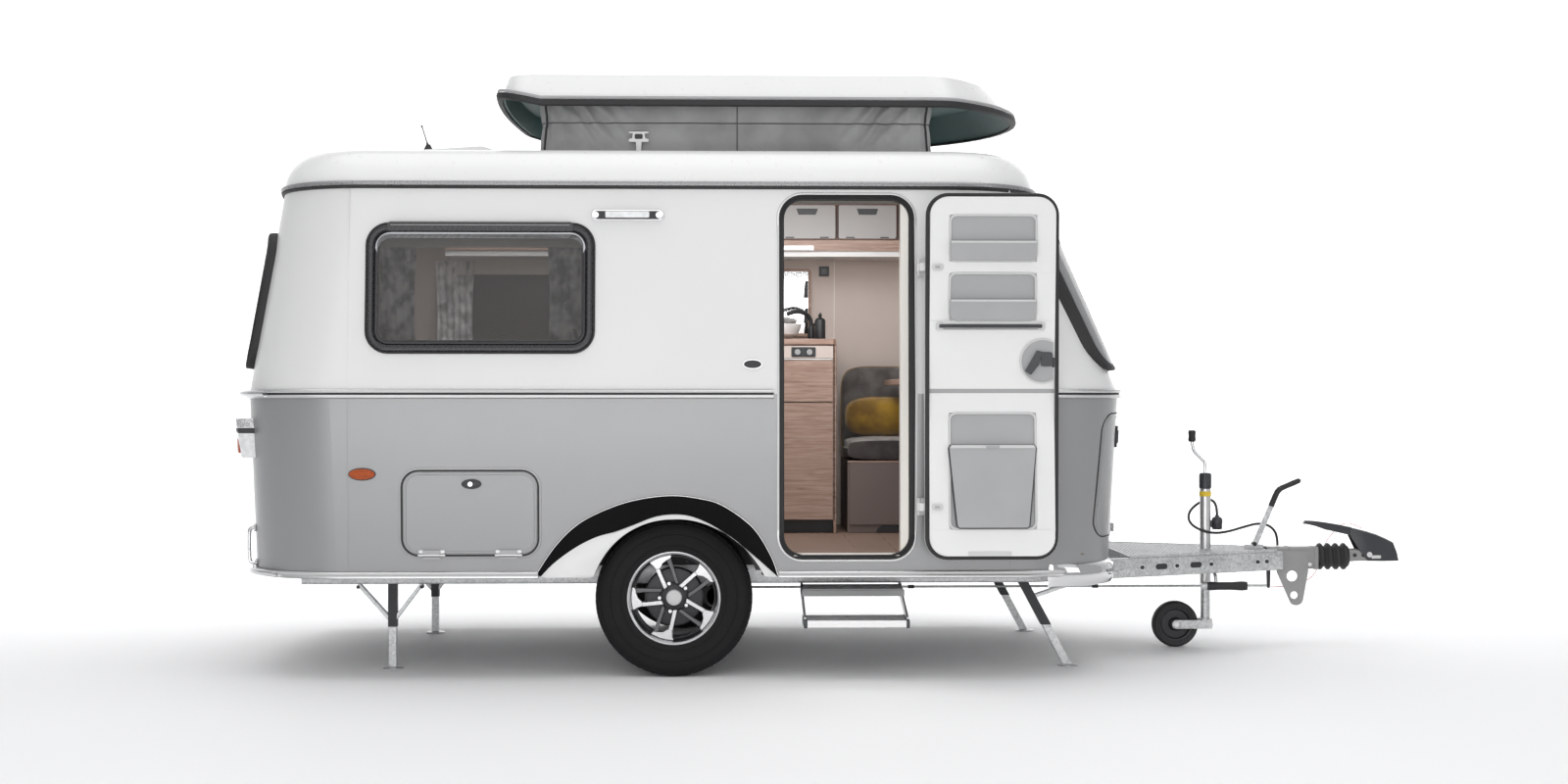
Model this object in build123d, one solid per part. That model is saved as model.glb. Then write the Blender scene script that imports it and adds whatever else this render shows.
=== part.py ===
from build123d import *
import math
import os

# Touring caravan with a raised pop-top roof and its entry door open.
# Millimetres. Model space: +X forward (drawbar), +Z up, ground at z = 0, centre plane at y = 0.
# The door side is -Y. What is written to file is moved so that the coupling ball's centre is
# the origin.

# Coupling ball, the reference point of the written parts
BALL_X = 2360.0
BALL_Z = 392.0
BALL_R = 25.0
SOCKET_CLEARANCE = 0.3

# Body shell: plan outline at three heights
BOTTOM_Z = 420.0
BELT_Z = 1103.0
GUTTER_Z = 1900.0
BOTTOM_HALF_WIDTH = 965.0
BELT_HALF_WIDTH = 1000.0
GUTTER_HALF_WIDTH = 940.0
BOTTOM_REAR_X = -2440.0
BELT_REAR_X = -2470.0
GUTTER_REAR_X = -2330.0
BOTTOM_FRONT_X = 1110.0
BELT_FRONT_X = 1150.0
GUTTER_FRONT_X = 800.0
END_BOW_R = 3000.0
CORNER_R = 380.0
WALL = 30.0
PANEL_SPLIT_REAR_X = -1950.0
PANEL_SPLIT_FRONT_X = 600.0
FLOOR_TOP_Z = 474.0
FLOOR_CLEARANCE = 0.5
SEAT_GAP = 0.3

# Entry door. The closed leaf fills the frame; it is stored open by half a turn.
DOOR_REAR_X = -290.0
DOOR_FRONT_X = 222.0
DOOR_LOW_Z = 468.0
DOOR_HIGH_Z = 1868.0
DOOR_CORNER_R = 85.0
DOOR_GAP = 6.0
DOOR_SKIN = 12.0
DOOR_THICK = 34.0
DOOR_OVERLAP = 10.0
DOOR_FRAME_LINING = 5.0
DOOR_FRAME_FLANGE = 14.0
DOOR_FLANGE_THICK = 3.0
HINGE_X = 240.0
HINGE_Y = -1014.0
HINGE_ZS = (669.0, 1589.0)
HINGE_PIN_R = 4.0
HINGE_BARREL_R = 8.0
HINGE_LEAF_HALF = 15.0
HINGE_HALF = 32.0
HINGE_GAP = 1.0
HINGE_PLAY = 0.1
HINGE_ARM = 42.0
HINGE_FOOT = 24.0
HINGE_ARM_OFF = 6.0
HINGE_BRACKET = 20.0
HINGE_BRACKET_HALF = 4.0
HINGE_SINK = 3.0

# Side windows and end windows
SIDE_WINDOW_REAR_X = -1884.0
SIDE_WINDOW_FRONT_X = -1005.0
SIDE_WINDOW_LOW_Z = 1257.0
SIDE_WINDOW_HIGH_Z = 1762.0
SIDE_WINDOW_CORNER_R = 90.0
WINDOW_FRAME_WIDTH = 45.0
WINDOW_FRAME_PROUD = 22.0
WINDOW_HOLE_INSET = 20.0
PANE_THICK = 6.0
PANE_CLEARANCE = 0.3
END_WINDOW_HALF_WIDTH = 730.0
END_WINDOW_CORNER_R = 110.0
FRONT_WINDOW_LOW_Z = 1200.0
FRONT_WINDOW_HIGH_Z = 1740.0
REAR_WINDOW_LOW_Z = 1205.0
REAR_WINDOW_HIGH_Z = 1745.0
END_WINDOW_PROUD = 34.0
END_SEAL_WIDTH = 36.0

# Service hatch in the door side, and the gas locker's lid in the nose
HATCH_REAR_X = -1740.0
HATCH_FRONT_X = -1226.0
HATCH_LOW_Z = 486.0
HATCH_HIGH_Z = 804.0
HATCH_CORNER_R = 60.0
HATCH_GAP = 6.0
HATCH_HINGE_OUT = 8.0
HATCH_HINGE_Z = 482.0
HATCH_HINGE_INSET = 110.0
LOCKER_LOW_Z = 540.0
LOCKER_HIGH_Z = 1022.0
LOCKER_HALF_WIDTH = 860.0
LOCKER_CORNER_R = 70.0
LOCKER_GAP = 6.0
LOCKER_HINGE_X = 1130.0
LOCKER_HINGE_Z = 536.0
LOCKER_HINGE_YS = (-250.0, 250.0)
LID_HINGE_HALF = 34.0
LID_BARREL_R = 5.0
LID_SEAT_THICK = 8.0

# Rails round the body
RAIL_PROUD = 14.0
BELT_RAIL_HEIGHT = 34.0
GUTTER_RAIL_PROUD = 18.0
GUTTER_RAIL_HEIGHT = 24.0
SILL_RAIL_LOW_Z = 392.0
RAIL_DOOR_MARGIN = 30.0
BEAM_NOTCH_CLEARANCE = 2.0

# Roof shell and the rear hump
ROOF_TOP_Z = 2060.0
ROOF_SHOULDER_R = 150.0
ROOF_SKIN = 25.0
HUMP_HALF_WIDTH = 620.0
HUMP_REAR_X = -2040.0
HUMP_CREST_X = -1480.0
HUMP_FRONT_X = -1360.0
HUMP_CREST_Z = 2098.0

# Pop-top opening, fabric wall and lid
POP_REAR_X = -1249.0
POP_FRONT_X = 331.0
POP_HALF_WIDTH = 600.0
POP_CORNER_R = 70.0
POP_CURB = 25.0
FABRIC_THICK = 5.0
FABRIC_CLEARANCE = 0.5
LID_RAISED = 202.0
LID_HEIGHT = 124.0
LID_RIM_Z = ROOF_TOP_Z + LID_RAISED
LID_TOP_Z = LID_RIM_Z + LID_HEIGHT
LID_HALF_WIDTH = 680.0
LID_REAR_X = -1447.0
LID_FRONT_X = 744.0
LID_REAR_BOW_R = 6000.0
LID_FRONT_BOW_R = 850.0
LID_REAR_CORNER_R = 120.0
LID_FRONT_CORNER_R = 150.0
LID_TOP_HALF_WIDTH = 626.0
LID_TOP_REAR_X = -1405.0
LID_TOP_FRONT_X = 640.0
LID_WALL = 14.0
LID_SWEEP_X = -1240.0
LID_SWEEP_RISE = 44.0
LATCH_X = -852.0
LATCH_Y = 618.0
LATCH_HEIGHT = 96.0
# Latch blocks. columns: half length, half width, low z, high z above the roof
LATCH_BLOCKS = (
    (40.0, 7.0, 0.0, 9.0),
    (10.0, 4.0, 9.0, LATCH_HEIGHT),
    (46.0, 6.0, LATCH_HEIGHT - 40.0, LATCH_HEIGHT),
)

# Wheels and axle
WHEEL_X = -704.0
TYRE_R = 307.0
TYRE_WIDTH = 185.0
TYRE_BEAD_R = 178.0
TYRE_SHOULDER_R = 34.0
RIM_CLEARANCE = 0.3
RIM_BARREL = 7.0
RIM_LIP_WIDTH = 12.0
WHEEL_Y = 812.0
SPOKE_COUNT = 5
SPOKE_ROOT_WIDTH = 62.0
SPOKE_TIP_WIDTH = 104.0
SPOKE_THICK = 26.0
HUB_R = 62.0
STUB_R = 17.5
STUB_PLAY = 0.05
DRUM_R = 118.0
DRUM_DEPTH = 48.0
SPOKE_INSET = 44.0
SPOKE_ROOT_OVERLAP = 8.0
SPOKE_SKEW = 24.0
SPOKE_ROOT_SKEW = 14.0
FIRST_SPOKE_ANGLE = 107.0
HUB_EXTRA = 12.0
HUB_OFFSET = 4.0
RIM_LIP_OFFSET = 10.0
DRUM_OFFSET = 10.0
DRUM_BACK = 12.0
STUB_SHORT = 16.0
AXLE_X = -540.0
AXLE_Z = 291.0
AXLE_R = 44.0
ARM_Y = 640.0
ARM_THICK = 26.0
ARM_HALF_HEIGHT = 34.0

# Wheel arches
ARCH_LIP_R = 327.0
ARCH_REAR_X = -1222.0
ARCH_FRONT_X = -298.0
ARCH_CREST_Z = 710.0
ARCH_SHOULDER_Z = 615.0
ARCH_SHOULDER_REAR_X = -985.0
ARCH_SHOULDER_FRONT_X = -440.0
FENDER_PROUD = 12.0
FENDER_THICK = 20.0
FENDER_CLEARANCE = 0.5
HOUSING_R = 345.0
HOUSING_WALL = 8.0
HOUSING_INNER_Y = 690.0

# Chassis
RAIL_Y = 600.0
RAIL_WIDTH = 45.0
BEAM_LOW_Z = 340.0
BEAM_HIGH_Z = 419.5
RAIL_REAR_X = -2200.0
KINK_X = 750.0
NOSE_X = 1900.0
NOSE_Y = 62.0
CROSS_XS = (-2150.0, -1200.0, -60.0, 700.0)
CROSS_THICK = 40.0
DECK_REAR_X = 1175.0
DECK_FRONT_X = 1880.0
DECK_THICK = 8.0
DECK_TUBE_GAP = 8.0
DECK_HOUSING_GAP = 2.0
DECK_LEVER_SLOT = (60.0, 30.0)
BRIDGE_HALF = 50.0
BRIDGE_THICK = 30.0

# Corner steadies
STEADY_Y = 600.0
STEADY_TUBE = 36.0
STEADY_FOOT = 86.0
STEADY_FOOT_THICK = 6.0
# columns: top x, foot x, knee height, then the far ends of the braces along x
STEADIES = (
    ("rear", -1838.0, -1838.0, 186.0, (-1975.0, -1722.0)),
    ("front", 703.0, 886.0, 279.0, (913.0,)),
)
BRACE_THICK = 14.0
STEADY_OVERRUN = 40.0

# Jockey wheel
JOCKEY_X = 1590.0
JOCKEY_WHEEL_X = 1456.0
JOCKEY_WHEEL_R = 100.0
JOCKEY_WHEEL_WIDTH = 56.0
JOCKEY_TUBE_R = 24.0
JOCKEY_TUBE_WALL = 3.0
JOCKEY_TUBE_LOW_Z = 262.0
JOCKEY_TUBE_HIGH_Z = 690.0
JOCKEY_LEG_HIGH_Z = 520.0
JOCKEY_FORK_Z = 118.0
JOCKEY_FORK_THICK = 6.0
JOCKEY_AXLE_R = 8.0
JOCKEY_PLAY = 0.1
JOCKEY_SIDE_GAP = 5.0
COLLAR_R = 27.0
COLLAR_HIGH_Z = 757.0
CRANK_R = 7.0
CRANK_POINTS = ((1590.0, 750.0), (1590.0, 806.0), (1540.0, 856.0), (1532.0, 893.0))
CRANK_GRIP_R = 17.0
CRANK_GRIP_HIGH_Z = 944.0
JOCKEY_CAP = 6.0
JOCKEY_LEG_GAP = 0.5
JOCKEY_BRIDGE_HALF = 22.0
JOCKEY_BRIDGE_DROP = 40.0
JOCKEY_ARM_WIDTH = 40.0
JOCKEY_AXLE_OVER = 4.0
JOCKEY_TREAD_R = 14.0
PLUG_REST_LOW = 10.0
PLUG_REST_HIGH = 40.0
PLUG_REST_SINK = 2.0

# Overrun device and coupling
HOUSING_BOX_LENGTH = 225.0
BOOT_LENGTH = 139.0
BOOT_FRONT_X = BALL_X - 146.0
HOUSING_BOX_FRONT_X = BOOT_FRONT_X - BOOT_LENGTH
HOUSING_BOX_REAR_X = HOUSING_BOX_FRONT_X - HOUSING_BOX_LENGTH
HOUSING_BOX_HALF = 48.0
HOUSING_BOX_LOW_Z = 338.0
HOUSING_BOX_HIGH_Z = 436.0
SHAFT_R = 25.0
SHAFT_FRONT_X = BOOT_FRONT_X + 26.0
BOOT_R = 58.5
BOOT_RIBS = 4
BOOT_VALLEY = 14.0
BOOT_RIB_FROM = 0.2
BOOT_RIB_TO = 0.8
HEAD_LOW = 20.0
HEAD_HIGH = 34.0
SOCKET_HIGH = 40.0
SOCKET_RISE = 4.0
SOCKET_DEPTH = 30.0
COUPLING_HALF_WIDTH = 34.0
COUPLING_WALL = 9.0
LEVER_HALF = 20.0
HOOD_HALF = 44.0
HOOD_INNER = 39.0
LEVER_PIVOT_X = 2300.0
LEVER_PIVOT_Z = 402.0
LEVER_PIVOT_R = 7.0
LEVER_HANDLE = ((2023.0, 533.0), (2027.0, 549.0), (2120.0, 540.0), (2226.0, 520.0),
                (2226.0, 482.0), (2120.0, 507.0))
LEVER_HOOD = ((2222.0, 484.0), (2222.0, 521.0), (2334.0, 491.0), (2409.0, 456.0),
              (2436.0, 374.0), (2292.0, 374.0))
LEVER_HOLLOW = ((2230.0, 360.0), (2230.0, 478.0), (2331.0, 484.0), (2404.0, 450.0),
                (2430.0, 373.0), (2430.0, 360.0))
EYE_PLATE_Y = -58.0
EYE_PLATE_THICK = 7.0
EYE_PLATE_REAR_X = HOUSING_BOX_FRONT_X - 186.0
EYE_PLATE_FRONT_X = HOUSING_BOX_FRONT_X - 48.0
EYE_PLATE_TOP_Z = 337.0
EYE_TAB_TOP_Z = 420.0
EYE_PLATE_POINTS = (
    (EYE_PLATE_REAR_X, EYE_PLATE_TOP_Z), (EYE_PLATE_FRONT_X, EYE_PLATE_TOP_Z),
    (HOUSING_BOX_FRONT_X - 75.0, 200.0), (HOUSING_BOX_FRONT_X - 95.0, 184.0),
    (HOUSING_BOX_FRONT_X - 125.0, 190.0),
)
EYE_HOLE = (HOUSING_BOX_FRONT_X - 119.0, 311.0, 24.0)
EYE_HOLE_LOW = (HOUSING_BOX_FRONT_X - 110.0, 228.0, 17.0)
HANDBRAKE_Y = -20.0
HANDBRAKE_POINTS = ((1799.0, 438.0), (1876.0, 617.0), (1905.0, 685.0), (2007.0, 728.0))
HANDBRAKE_WIDTH = 10.0
HANDBRAKE_GRIP_R = 12.0
BRAKE_ROD_R = 5.0
BRAKE_ROD_Z = 268.0
BRAKE_ROD_Y = -36.0
BRAKE_ARM_LENGTH = 16.0
BRAKE_ARM_HALF = 8.0
BRAKE_ARM_DROP = 12.0
HANDBRAKE_BLADE = 22.0
HANDBRAKE_BASE_REAR_X = 1760.0
HANDBRAKE_BASE_FRONT_X = 1838.0
HANDBRAKE_BASE_HALF = 14.0
HANDBRAKE_BASE_HIGH_Z = 446.0

# Entry step
STEP_REAR_X = -200.0
STEP_FRONT_X = 205.0
STEP_UPPER_Z = 332.0
STEP_LOWER_Z = 232.0
STEP_THICK = 30.0
STEP_DEPTH = 200.0
STEP_UPPER_Y = -780.0
STEP_LOWER_Y = -1010.0
STEP_CHEEK = 8.0
STEP_CHEEK_INSET = 40.0
STEP_HANGER_OUT = 60.0
STEP_HANGER_IN = 20.0

# Lamps, handles and aerial
TAIL_LAMP_Y = 730.0
TAIL_LAMP_HALF_WIDTH = 58.0
TAIL_LAMP_LOW_Z = 849.0
TAIL_LAMP_HIGH_Z = 1012.0
TAIL_LAMP_OUT = 62.0
TAIL_LAMP_DEPTH = 200.0
MARKER_X = -1894.0
MARKER_Z = 795.0
MARKER_LENGTH = 98.0
MARKER_HEIGHT = 41.0
MARKER_PROUD = 12.0
PORCH_LAMP_REAR_X = -1023.0
PORCH_LAMP_FRONT_X = -739.0
PORCH_LAMP_Z = 1793.0
PORCH_LAMP_HEIGHT = 46.0
PORCH_LAMP_PROUD = 26.0
GRAB_Y = 700.0
GRAB_LOW_Z = 440.0
GRAB_HIGH_Z = 570.0
GRAB_OUT = 34.0
GRAB_R = 8.0
GRAB_BAR_X = -2386.0
GRAB_STUB_REAR_X = -2500.0
GRAB_STUB_FRONT_X = -2300.0
AERIAL_X = -1712.0
AERIAL_Y = -500.0
AERIAL_LENGTH = 108.0
AERIAL_R = 3.0
AERIAL_LEAN = -14.0
AERIAL_BASE_R = 22.0
AERIAL_BASE_HEIGHT = 34.0
AERIAL_MAST_LOW = 24.0
AERIAL_ROOF_GAP = 1.6

# Furniture
FURNITURE_CLEARANCE = 4.0
KITCHEN_REAR_X = -760.0
KITCHEN_FRONT_X = -10.0
KITCHEN_FACE_Y = 340.0
KITCHEN_BACK_Y = 925.0
KITCHEN_TOP_Z = 1350.0
WORKTOP_THICK = 28.0
WORKTOP_FRONT_OVER = 12.0
WORKTOP_END_OVER = 10.0
TOE_HEIGHT = 60.0
TOE_INSET = 45.0
BENCH_REAR_X = 48.0
BENCH_FRONT_X = 900.0
BENCH_FACE_Y = 340.0
BENCH_BACK_Y = 880.0
BENCH_TOP_Z = 800.0
CUSHION_THICK = 110.0
BACKREST_THICK = 110.0
BACKREST_TOP_Z = 1230.0
BACKREST_SHORT = 220.0
TABLE_REAR_X = 235.0
TABLE_FRONT_X = 860.0
TABLE_BACK_Y = 700.0
TABLE_FACE_Y = -280.0
TABLE_TOP_Z = 1165.0
TABLE_THICK = 24.0
TABLE_LEG_R = 28.0
PILLOW_THICK = 130.0
PILLOW_REAR_X = 56.0
PILLOW_FRONT_X = 430.0
PILLOW_FACE_Y = 480.0
PILLOW_HEIGHT = 170.0
BED_REAR_X = -2420.0
BED_FRONT_X = -1180.0
BED_HALF_WIDTH = 915.0
BED_TOP_Z = 880.0
MATTRESS_THICK = 130.0
LOCKERS_REAR_X = -1800.0
LOCKERS_FRONT_X = 480.0
LOCKERS_FACE_Y = 640.0
LOCKERS_BACK_Y = 855.0
LOCKERS_LOW_Z = 1740.0
LOCKERS_HIGH_Z = 1990.0
CURTAIN_THICK = 24.0
CURTAIN_WIDTH = 190.0
CURTAIN_LOW_Z = 1243.0
CURTAIN_TOP_Z = LOCKERS_LOW_Z - 5.0

# Connecting lead: from the overrun housing, once round the jockey tube, to its parked plug
LEAD_R = 5.5
LEAD_POINTS = (
    (1917.0, 34.0, 436.3),
    (1917.0, 34.0, 484.0),
    (1886.0, 34.0, 524.0),
    (1832.0, 33.0, 536.0),
    (1762.0, 20.0, 519.0),
    (1690.0, -14.0, 502.0),
    (1622.0, -44.0, 496.0),
    (1560.0, -50.0, 508.0),
    (1514.0, -22.0, 540.0),
    (1522.0, 28.0, 584.0),
    (1572.0, 56.0, 624.0),
    (1624.0, 44.0, 644.0),
    (1643.0, 4.0, 616.0),
    (1643.0, 4.0, 572.0),
)
PLUG_R = 24.0
PLUG_LENGTH = 62.0
PLUG_REST_HALF = 12.0
# Breakaway cable: from the brake lever, behind the boot and over the coupling's lever
SAFETY_R = 1.5
SAFETY_POINTS = (
    (1866.3, -36.0, 262.0),
    (1910.0, -36.0, 262.0),
    (1966.0, -26.0, 270.0),
    (2026.0, 2.0, 280.0),
    (2078.0, 42.0, 302.0),
    (2110.0, 70.0, 346.0),
    (2124.0, 76.0, 402.0),
    (2140.0, 62.0, 452.0),
    (2166.0, 42.0, 494.0),
    (2196.0, 34.0, 530.0),
    (2240.0, 18.0, 538.0),
    (2284.0, 6.0, 512.0),
)

FRAME_SHIFT = Location((-BALL_X, 0, -BALL_Z))
PLAN_HALF = 1500.0
FAR = 4000.0


def save(name, shape):
    """Write one sub-part, moved so that the coupling ball's centre is the origin."""
    os.makedirs("parts", exist_ok=True)
    solids = shape.solids()
    whole = solids[0] if len(solids) == 1 else Compound(children=list(solids))
    export_step(whole.moved(FRAME_SHIFT), f"parts/{name}.step")


def end_points(tip, sign, half_width, bow_r, corner_r):
    """Side end, corner's middle, and start of the bowed end, on the +Y side of one end."""
    centre_x = tip - sign * bow_r
    reach = math.sqrt((bow_r - corner_r) ** 2 - (half_width - corner_r) ** 2)
    corner_x = centre_x + sign * reach
    corner_y = half_width - corner_r
    lean = math.atan2(corner_y, reach)
    bow = (centre_x + sign * bow_r * math.cos(lean), bow_r * math.sin(lean))
    half = (math.pi / 2 + lean) / 2
    middle = (corner_x + sign * corner_r * math.cos(half), corner_y + corner_r * math.sin(half))
    return (corner_x, half_width), middle, bow


def outline(rear, front, half_width, rear_bow=END_BOW_R, front_bow=END_BOW_R,
            rear_corner=CORNER_R, front_corner=CORNER_R):
    """Closed plan outline: two straight sides, two bowed ends and four round corners."""
    f_side, f_mid, f_bow = end_points(front, 1, half_width, front_bow, front_corner)
    r_side, r_mid, r_bow = end_points(rear, -1, half_width, rear_bow, rear_corner)

    def low(point):
        return (point[0], -point[1])

    edges = [
        Line(r_side, f_side),
        ThreePointArc(f_side, f_mid, f_bow),
        ThreePointArc(f_bow, (front, 0), low(f_bow)),
        ThreePointArc(low(f_bow), low(f_mid), low(f_side)),
        Line(low(f_side), low(r_side)),
        ThreePointArc(low(r_side), low(r_mid), low(r_bow)),
        ThreePointArc(low(r_bow), (rear, 0), r_bow),
        ThreePointArc(r_bow, r_mid, r_side),
    ]
    return Wire(edges)


def body_outline(level, grow):
    """Body outline at "bottom", "belt" or "gutter", grown outwards by some millimetres."""
    rear, front, half = {
        "bottom": (BOTTOM_REAR_X, BOTTOM_FRONT_X, BOTTOM_HALF_WIDTH),
        "belt": (BELT_REAR_X, BELT_FRONT_X, BELT_HALF_WIDTH),
        "gutter": (GUTTER_REAR_X, GUTTER_FRONT_X, GUTTER_HALF_WIDTH),
    }[level]
    bow = END_BOW_R + grow
    corner = CORNER_R + grow
    return outline(rear - grow, front + grow, half + grow, bow, bow, corner, corner)


def lower_block(grow):
    """Solid of the body below the belt, grown outwards."""
    low = body_outline("bottom", grow).moved(Location((0, 0, BOTTOM_Z)))
    high = body_outline("belt", grow).moved(Location((0, 0, BELT_Z)))
    return Solid.make_loft([low, high], ruled=True)


def upper_block(grow):
    """Solid of the body above the belt, grown outwards."""
    low = body_outline("belt", grow).moved(Location((0, 0, BELT_Z)))
    high = body_outline("gutter", grow).moved(Location((0, 0, GUTTER_Z)))
    return Solid.make_loft([low, high], ruled=True)


def slab(outer, inner):
    """Both halves of a layer of the body wall: depths are measured inwards from the skin."""
    halves = []
    for block in (lower_block, upper_block):
        halves.append(block(-outer) - block(-inner))
    return halves


def cut_layer(outer, inner, prism):
    """What a prism cuts out of a layer of the body wall, as a list without empty pieces."""
    pieces = [half & prism for half in slab(outer, inner)]
    return [piece for piece in pieces if piece is not None and piece.solids()]


def box(x0, x1, y0, y1, z0, z1):
    """Box between two corners."""
    size = (x1 - x0, y1 - y0, z1 - z0)
    return Pos((x0 + x1) / 2, (y0 + y1) / 2, (z0 + z1) / 2) * Box(*size)


def side_prism(x0, x1, z0, z1, radius, side):
    """Rounded rectangle in X and Z, through one side wall. side is -1 for the door side."""
    centre = ((x0 + x1) / 2, (z0 + z1) / 2)
    face = Plane.XZ * Pos(*centre) * RectangleRounded(x1 - x0, z1 - z0, radius)
    solid = extrude(face, amount=PLAN_HALF)
    return solid if side < 0 else solid.mirror(Plane.XZ)


def end_prism(half_width, z0, z1, radius, sign):
    """Rounded rectangle in Y and Z, through one end wall. sign is +1 for the front."""
    face = Plane.YZ * Pos(0, (z0 + z1) / 2) * RectangleRounded(2 * half_width, z1 - z0, radius)
    solid = extrude(face, amount=FAR)
    return solid if sign > 0 else solid.mirror(Plane.YZ)


def mirrored_pair(shape):
    """The shape and its mirror image across the centre plane."""
    return Compound(children=[*shape.solids(), *shape.mirror(Plane.XZ).solids()])


def rod(start, end, radius):
    """Round bar between two points."""
    line = Line(start, end)
    return sweep(Plane(origin=start, z_dir=line % 0) * Circle(radius), path=line)


def bar(points, width, thick, y):
    """Flat bar along points in X and Z, centred at y."""
    pieces = []
    for (x0, z0), (x1, z1) in zip(points, points[1:]):
        length = math.hypot(x1 - x0, z1 - z0)
        turn = math.degrees(math.atan2(z1 - z0, x1 - x0))
        piece = Rot(0, -turn, 0) * Box(length, thick, width)
        pieces.append(Pos((x0 + x1) / 2, y, (z0 + z1) / 2) * piece)
        pieces.append(Pos(x1, y, z1) * Rot(90, 0, 0) * Cylinder(width / 2, thick))
    return Part() + pieces


def xz_plate(points, y0, y1):
    """Plate with an outline given by points in X and Z, between two values of y."""
    wire = Wire.make_polygon([Vector(x, y0, z) for x, z in points])
    return extrude(make_face(wire), amount=y1 - y0, dir=(0, 1, 0))


def disc_y(x, y, z, radius, length):
    """Cylinder with its axis along Y."""
    return Pos(x, y, z) * Rot(90, 0, 0) * Cylinder(radius, length)


def disc_z(x, y, z0, z1, radius):
    """Cylinder with its axis along Z, between two heights."""
    return Pos(x, y, (z0 + z1) / 2) * Cylinder(radius, z1 - z0)


def disc_x(x0, x1, y, z, radius):
    """Cylinder with its axis along X."""
    return Pos((x0 + x1) / 2, y, z) * Rot(0, 90, 0) * Cylinder(radius, x1 - x0)


def wall_y(z):
    """Half width of the outer skin at a height, on the straight sides."""
    if z < BELT_Z:
        share = (z - BOTTOM_Z) / (BELT_Z - BOTTOM_Z)
        return BOTTOM_HALF_WIDTH + share * (BELT_HALF_WIDTH - BOTTOM_HALF_WIDTH)
    share = (z - BELT_Z) / (GUTTER_Z - BELT_Z)
    return BELT_HALF_WIDTH + share * (GUTTER_HALF_WIDTH - BELT_HALF_WIDTH)


# Openings cut through the walls
def door_prism(grow):
    return side_prism(DOOR_REAR_X - grow, DOOR_FRONT_X + grow, DOOR_LOW_Z - grow,
                      DOOR_HIGH_Z + grow, DOOR_CORNER_R + grow, -1)


def hatch_prism(grow):
    return side_prism(HATCH_REAR_X - grow, HATCH_FRONT_X + grow, HATCH_LOW_Z - grow,
                      HATCH_HIGH_Z + grow, HATCH_CORNER_R + grow, -1)


def side_window_prism(shrink, side):
    return side_prism(SIDE_WINDOW_REAR_X + shrink, SIDE_WINDOW_FRONT_X - shrink,
                      SIDE_WINDOW_LOW_Z + shrink, SIDE_WINDOW_HIGH_Z - shrink,
                      SIDE_WINDOW_CORNER_R - shrink, side)


def end_window_prism(shrink, sign):
    low, high = {1: (FRONT_WINDOW_LOW_Z, FRONT_WINDOW_HIGH_Z),
                 -1: (REAR_WINDOW_LOW_Z, REAR_WINDOW_HIGH_Z)}[sign]
    return end_prism(END_WINDOW_HALF_WIDTH - shrink, low + shrink, high - shrink,
                     END_WINDOW_CORNER_R - shrink, sign)


def locker_prism(grow):
    return end_prism(LOCKER_HALF_WIDTH + grow, LOCKER_LOW_Z - grow, LOCKER_HIGH_Z + grow,
                     LOCKER_CORNER_R + grow, 1)


def arch_face(grow):
    """Outline of the fender's outer edge on the side wall."""
    rear = (ARCH_REAR_X - grow, SILL_RAIL_LOW_Z)
    rear_shoulder = (ARCH_SHOULDER_REAR_X - grow, ARCH_SHOULDER_Z)
    crest = ((ARCH_SHOULDER_REAR_X + ARCH_SHOULDER_FRONT_X) / 2, ARCH_CREST_Z + grow)
    front_shoulder = (ARCH_SHOULDER_FRONT_X + grow, ARCH_SHOULDER_Z)
    front = (ARCH_FRONT_X + grow, SILL_RAIL_LOW_Z)
    with BuildSketch(Plane.XZ) as sketch:
        with BuildLine():
            Line(rear, rear_shoulder)
            ThreePointArc(rear_shoulder, crest, front_shoulder)
            Line(front_shoulder, front)
            Line(front, rear)
        make_face()
    return sketch.sketch


def arch_prism(grow):
    return extrude(arch_face(grow), amount=PLAN_HALF)


def walls():
    """Eight wall panels: below and above the belt, on the sides and at the ends."""
    lower = lower_block(0) - lower_block(-WALL)
    upper = upper_block(0) - upper_block(-WALL)
    arch = arch_prism(FENDER_CLEARANCE)
    door_hole = door_prism(DOOR_GAP + DOOR_FRAME_LINING)
    lower -= [door_hole, hatch_prism(HATCH_GAP), arch, arch.mirror(Plane.XZ),
              locker_prism(LOCKER_GAP)]
    upper -= [door_hole, side_window_prism(WINDOW_HOLE_INSET, -1),
              side_window_prism(WINDOW_HOLE_INSET, 1),
              end_window_prism(WINDOW_HOLE_INSET, 1), end_window_prism(WINDOW_HOLE_INSET, -1)]
    hatch_seats, locker_seats = hinge_seats()
    lower += hatch_seats + locker_seats
    rear, front = PANEL_SPLIT_REAR_X, PANEL_SPLIT_FRONT_X
    # columns: panel, x from, x to, y from, y to
    parts = (
        ("side_right", rear, front, -FAR, 0),
        ("side_left", rear, front, 0, FAR),
        ("rear", -FAR, rear, -FAR, FAR),
        ("nose", front, FAR, -FAR, FAR),
    )
    for panel, x0, x1, y0, y1 in parts:
        save(f"lower_{panel}", lower & box(x0, x1, y0, y1, 0, FAR))
        save(f"upper_{panel}", upper & box(x0, x1, y0, y1, 0, FAR))


def floor():
    """Floor board inside the lower walls, cut away over the wheels."""
    gap = WALL + FLOOR_CLEARANCE
    inner = body_outline("bottom", -gap)
    board = extrude(make_face(inner), amount=FLOOR_TOP_Z - BOTTOM_Z)
    board = Pos(0, 0, BOTTOM_Z) * board
    for side in (-1, 1):
        well = disc_y(WHEEL_X, side * (HOUSING_INNER_Y + PLAN_HALF), TYRE_R,
                      HOUSING_R + FLOOR_CLEARANCE, 2 * PLAN_HALF)
        board -= well
    save("floor_board", board)


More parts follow.
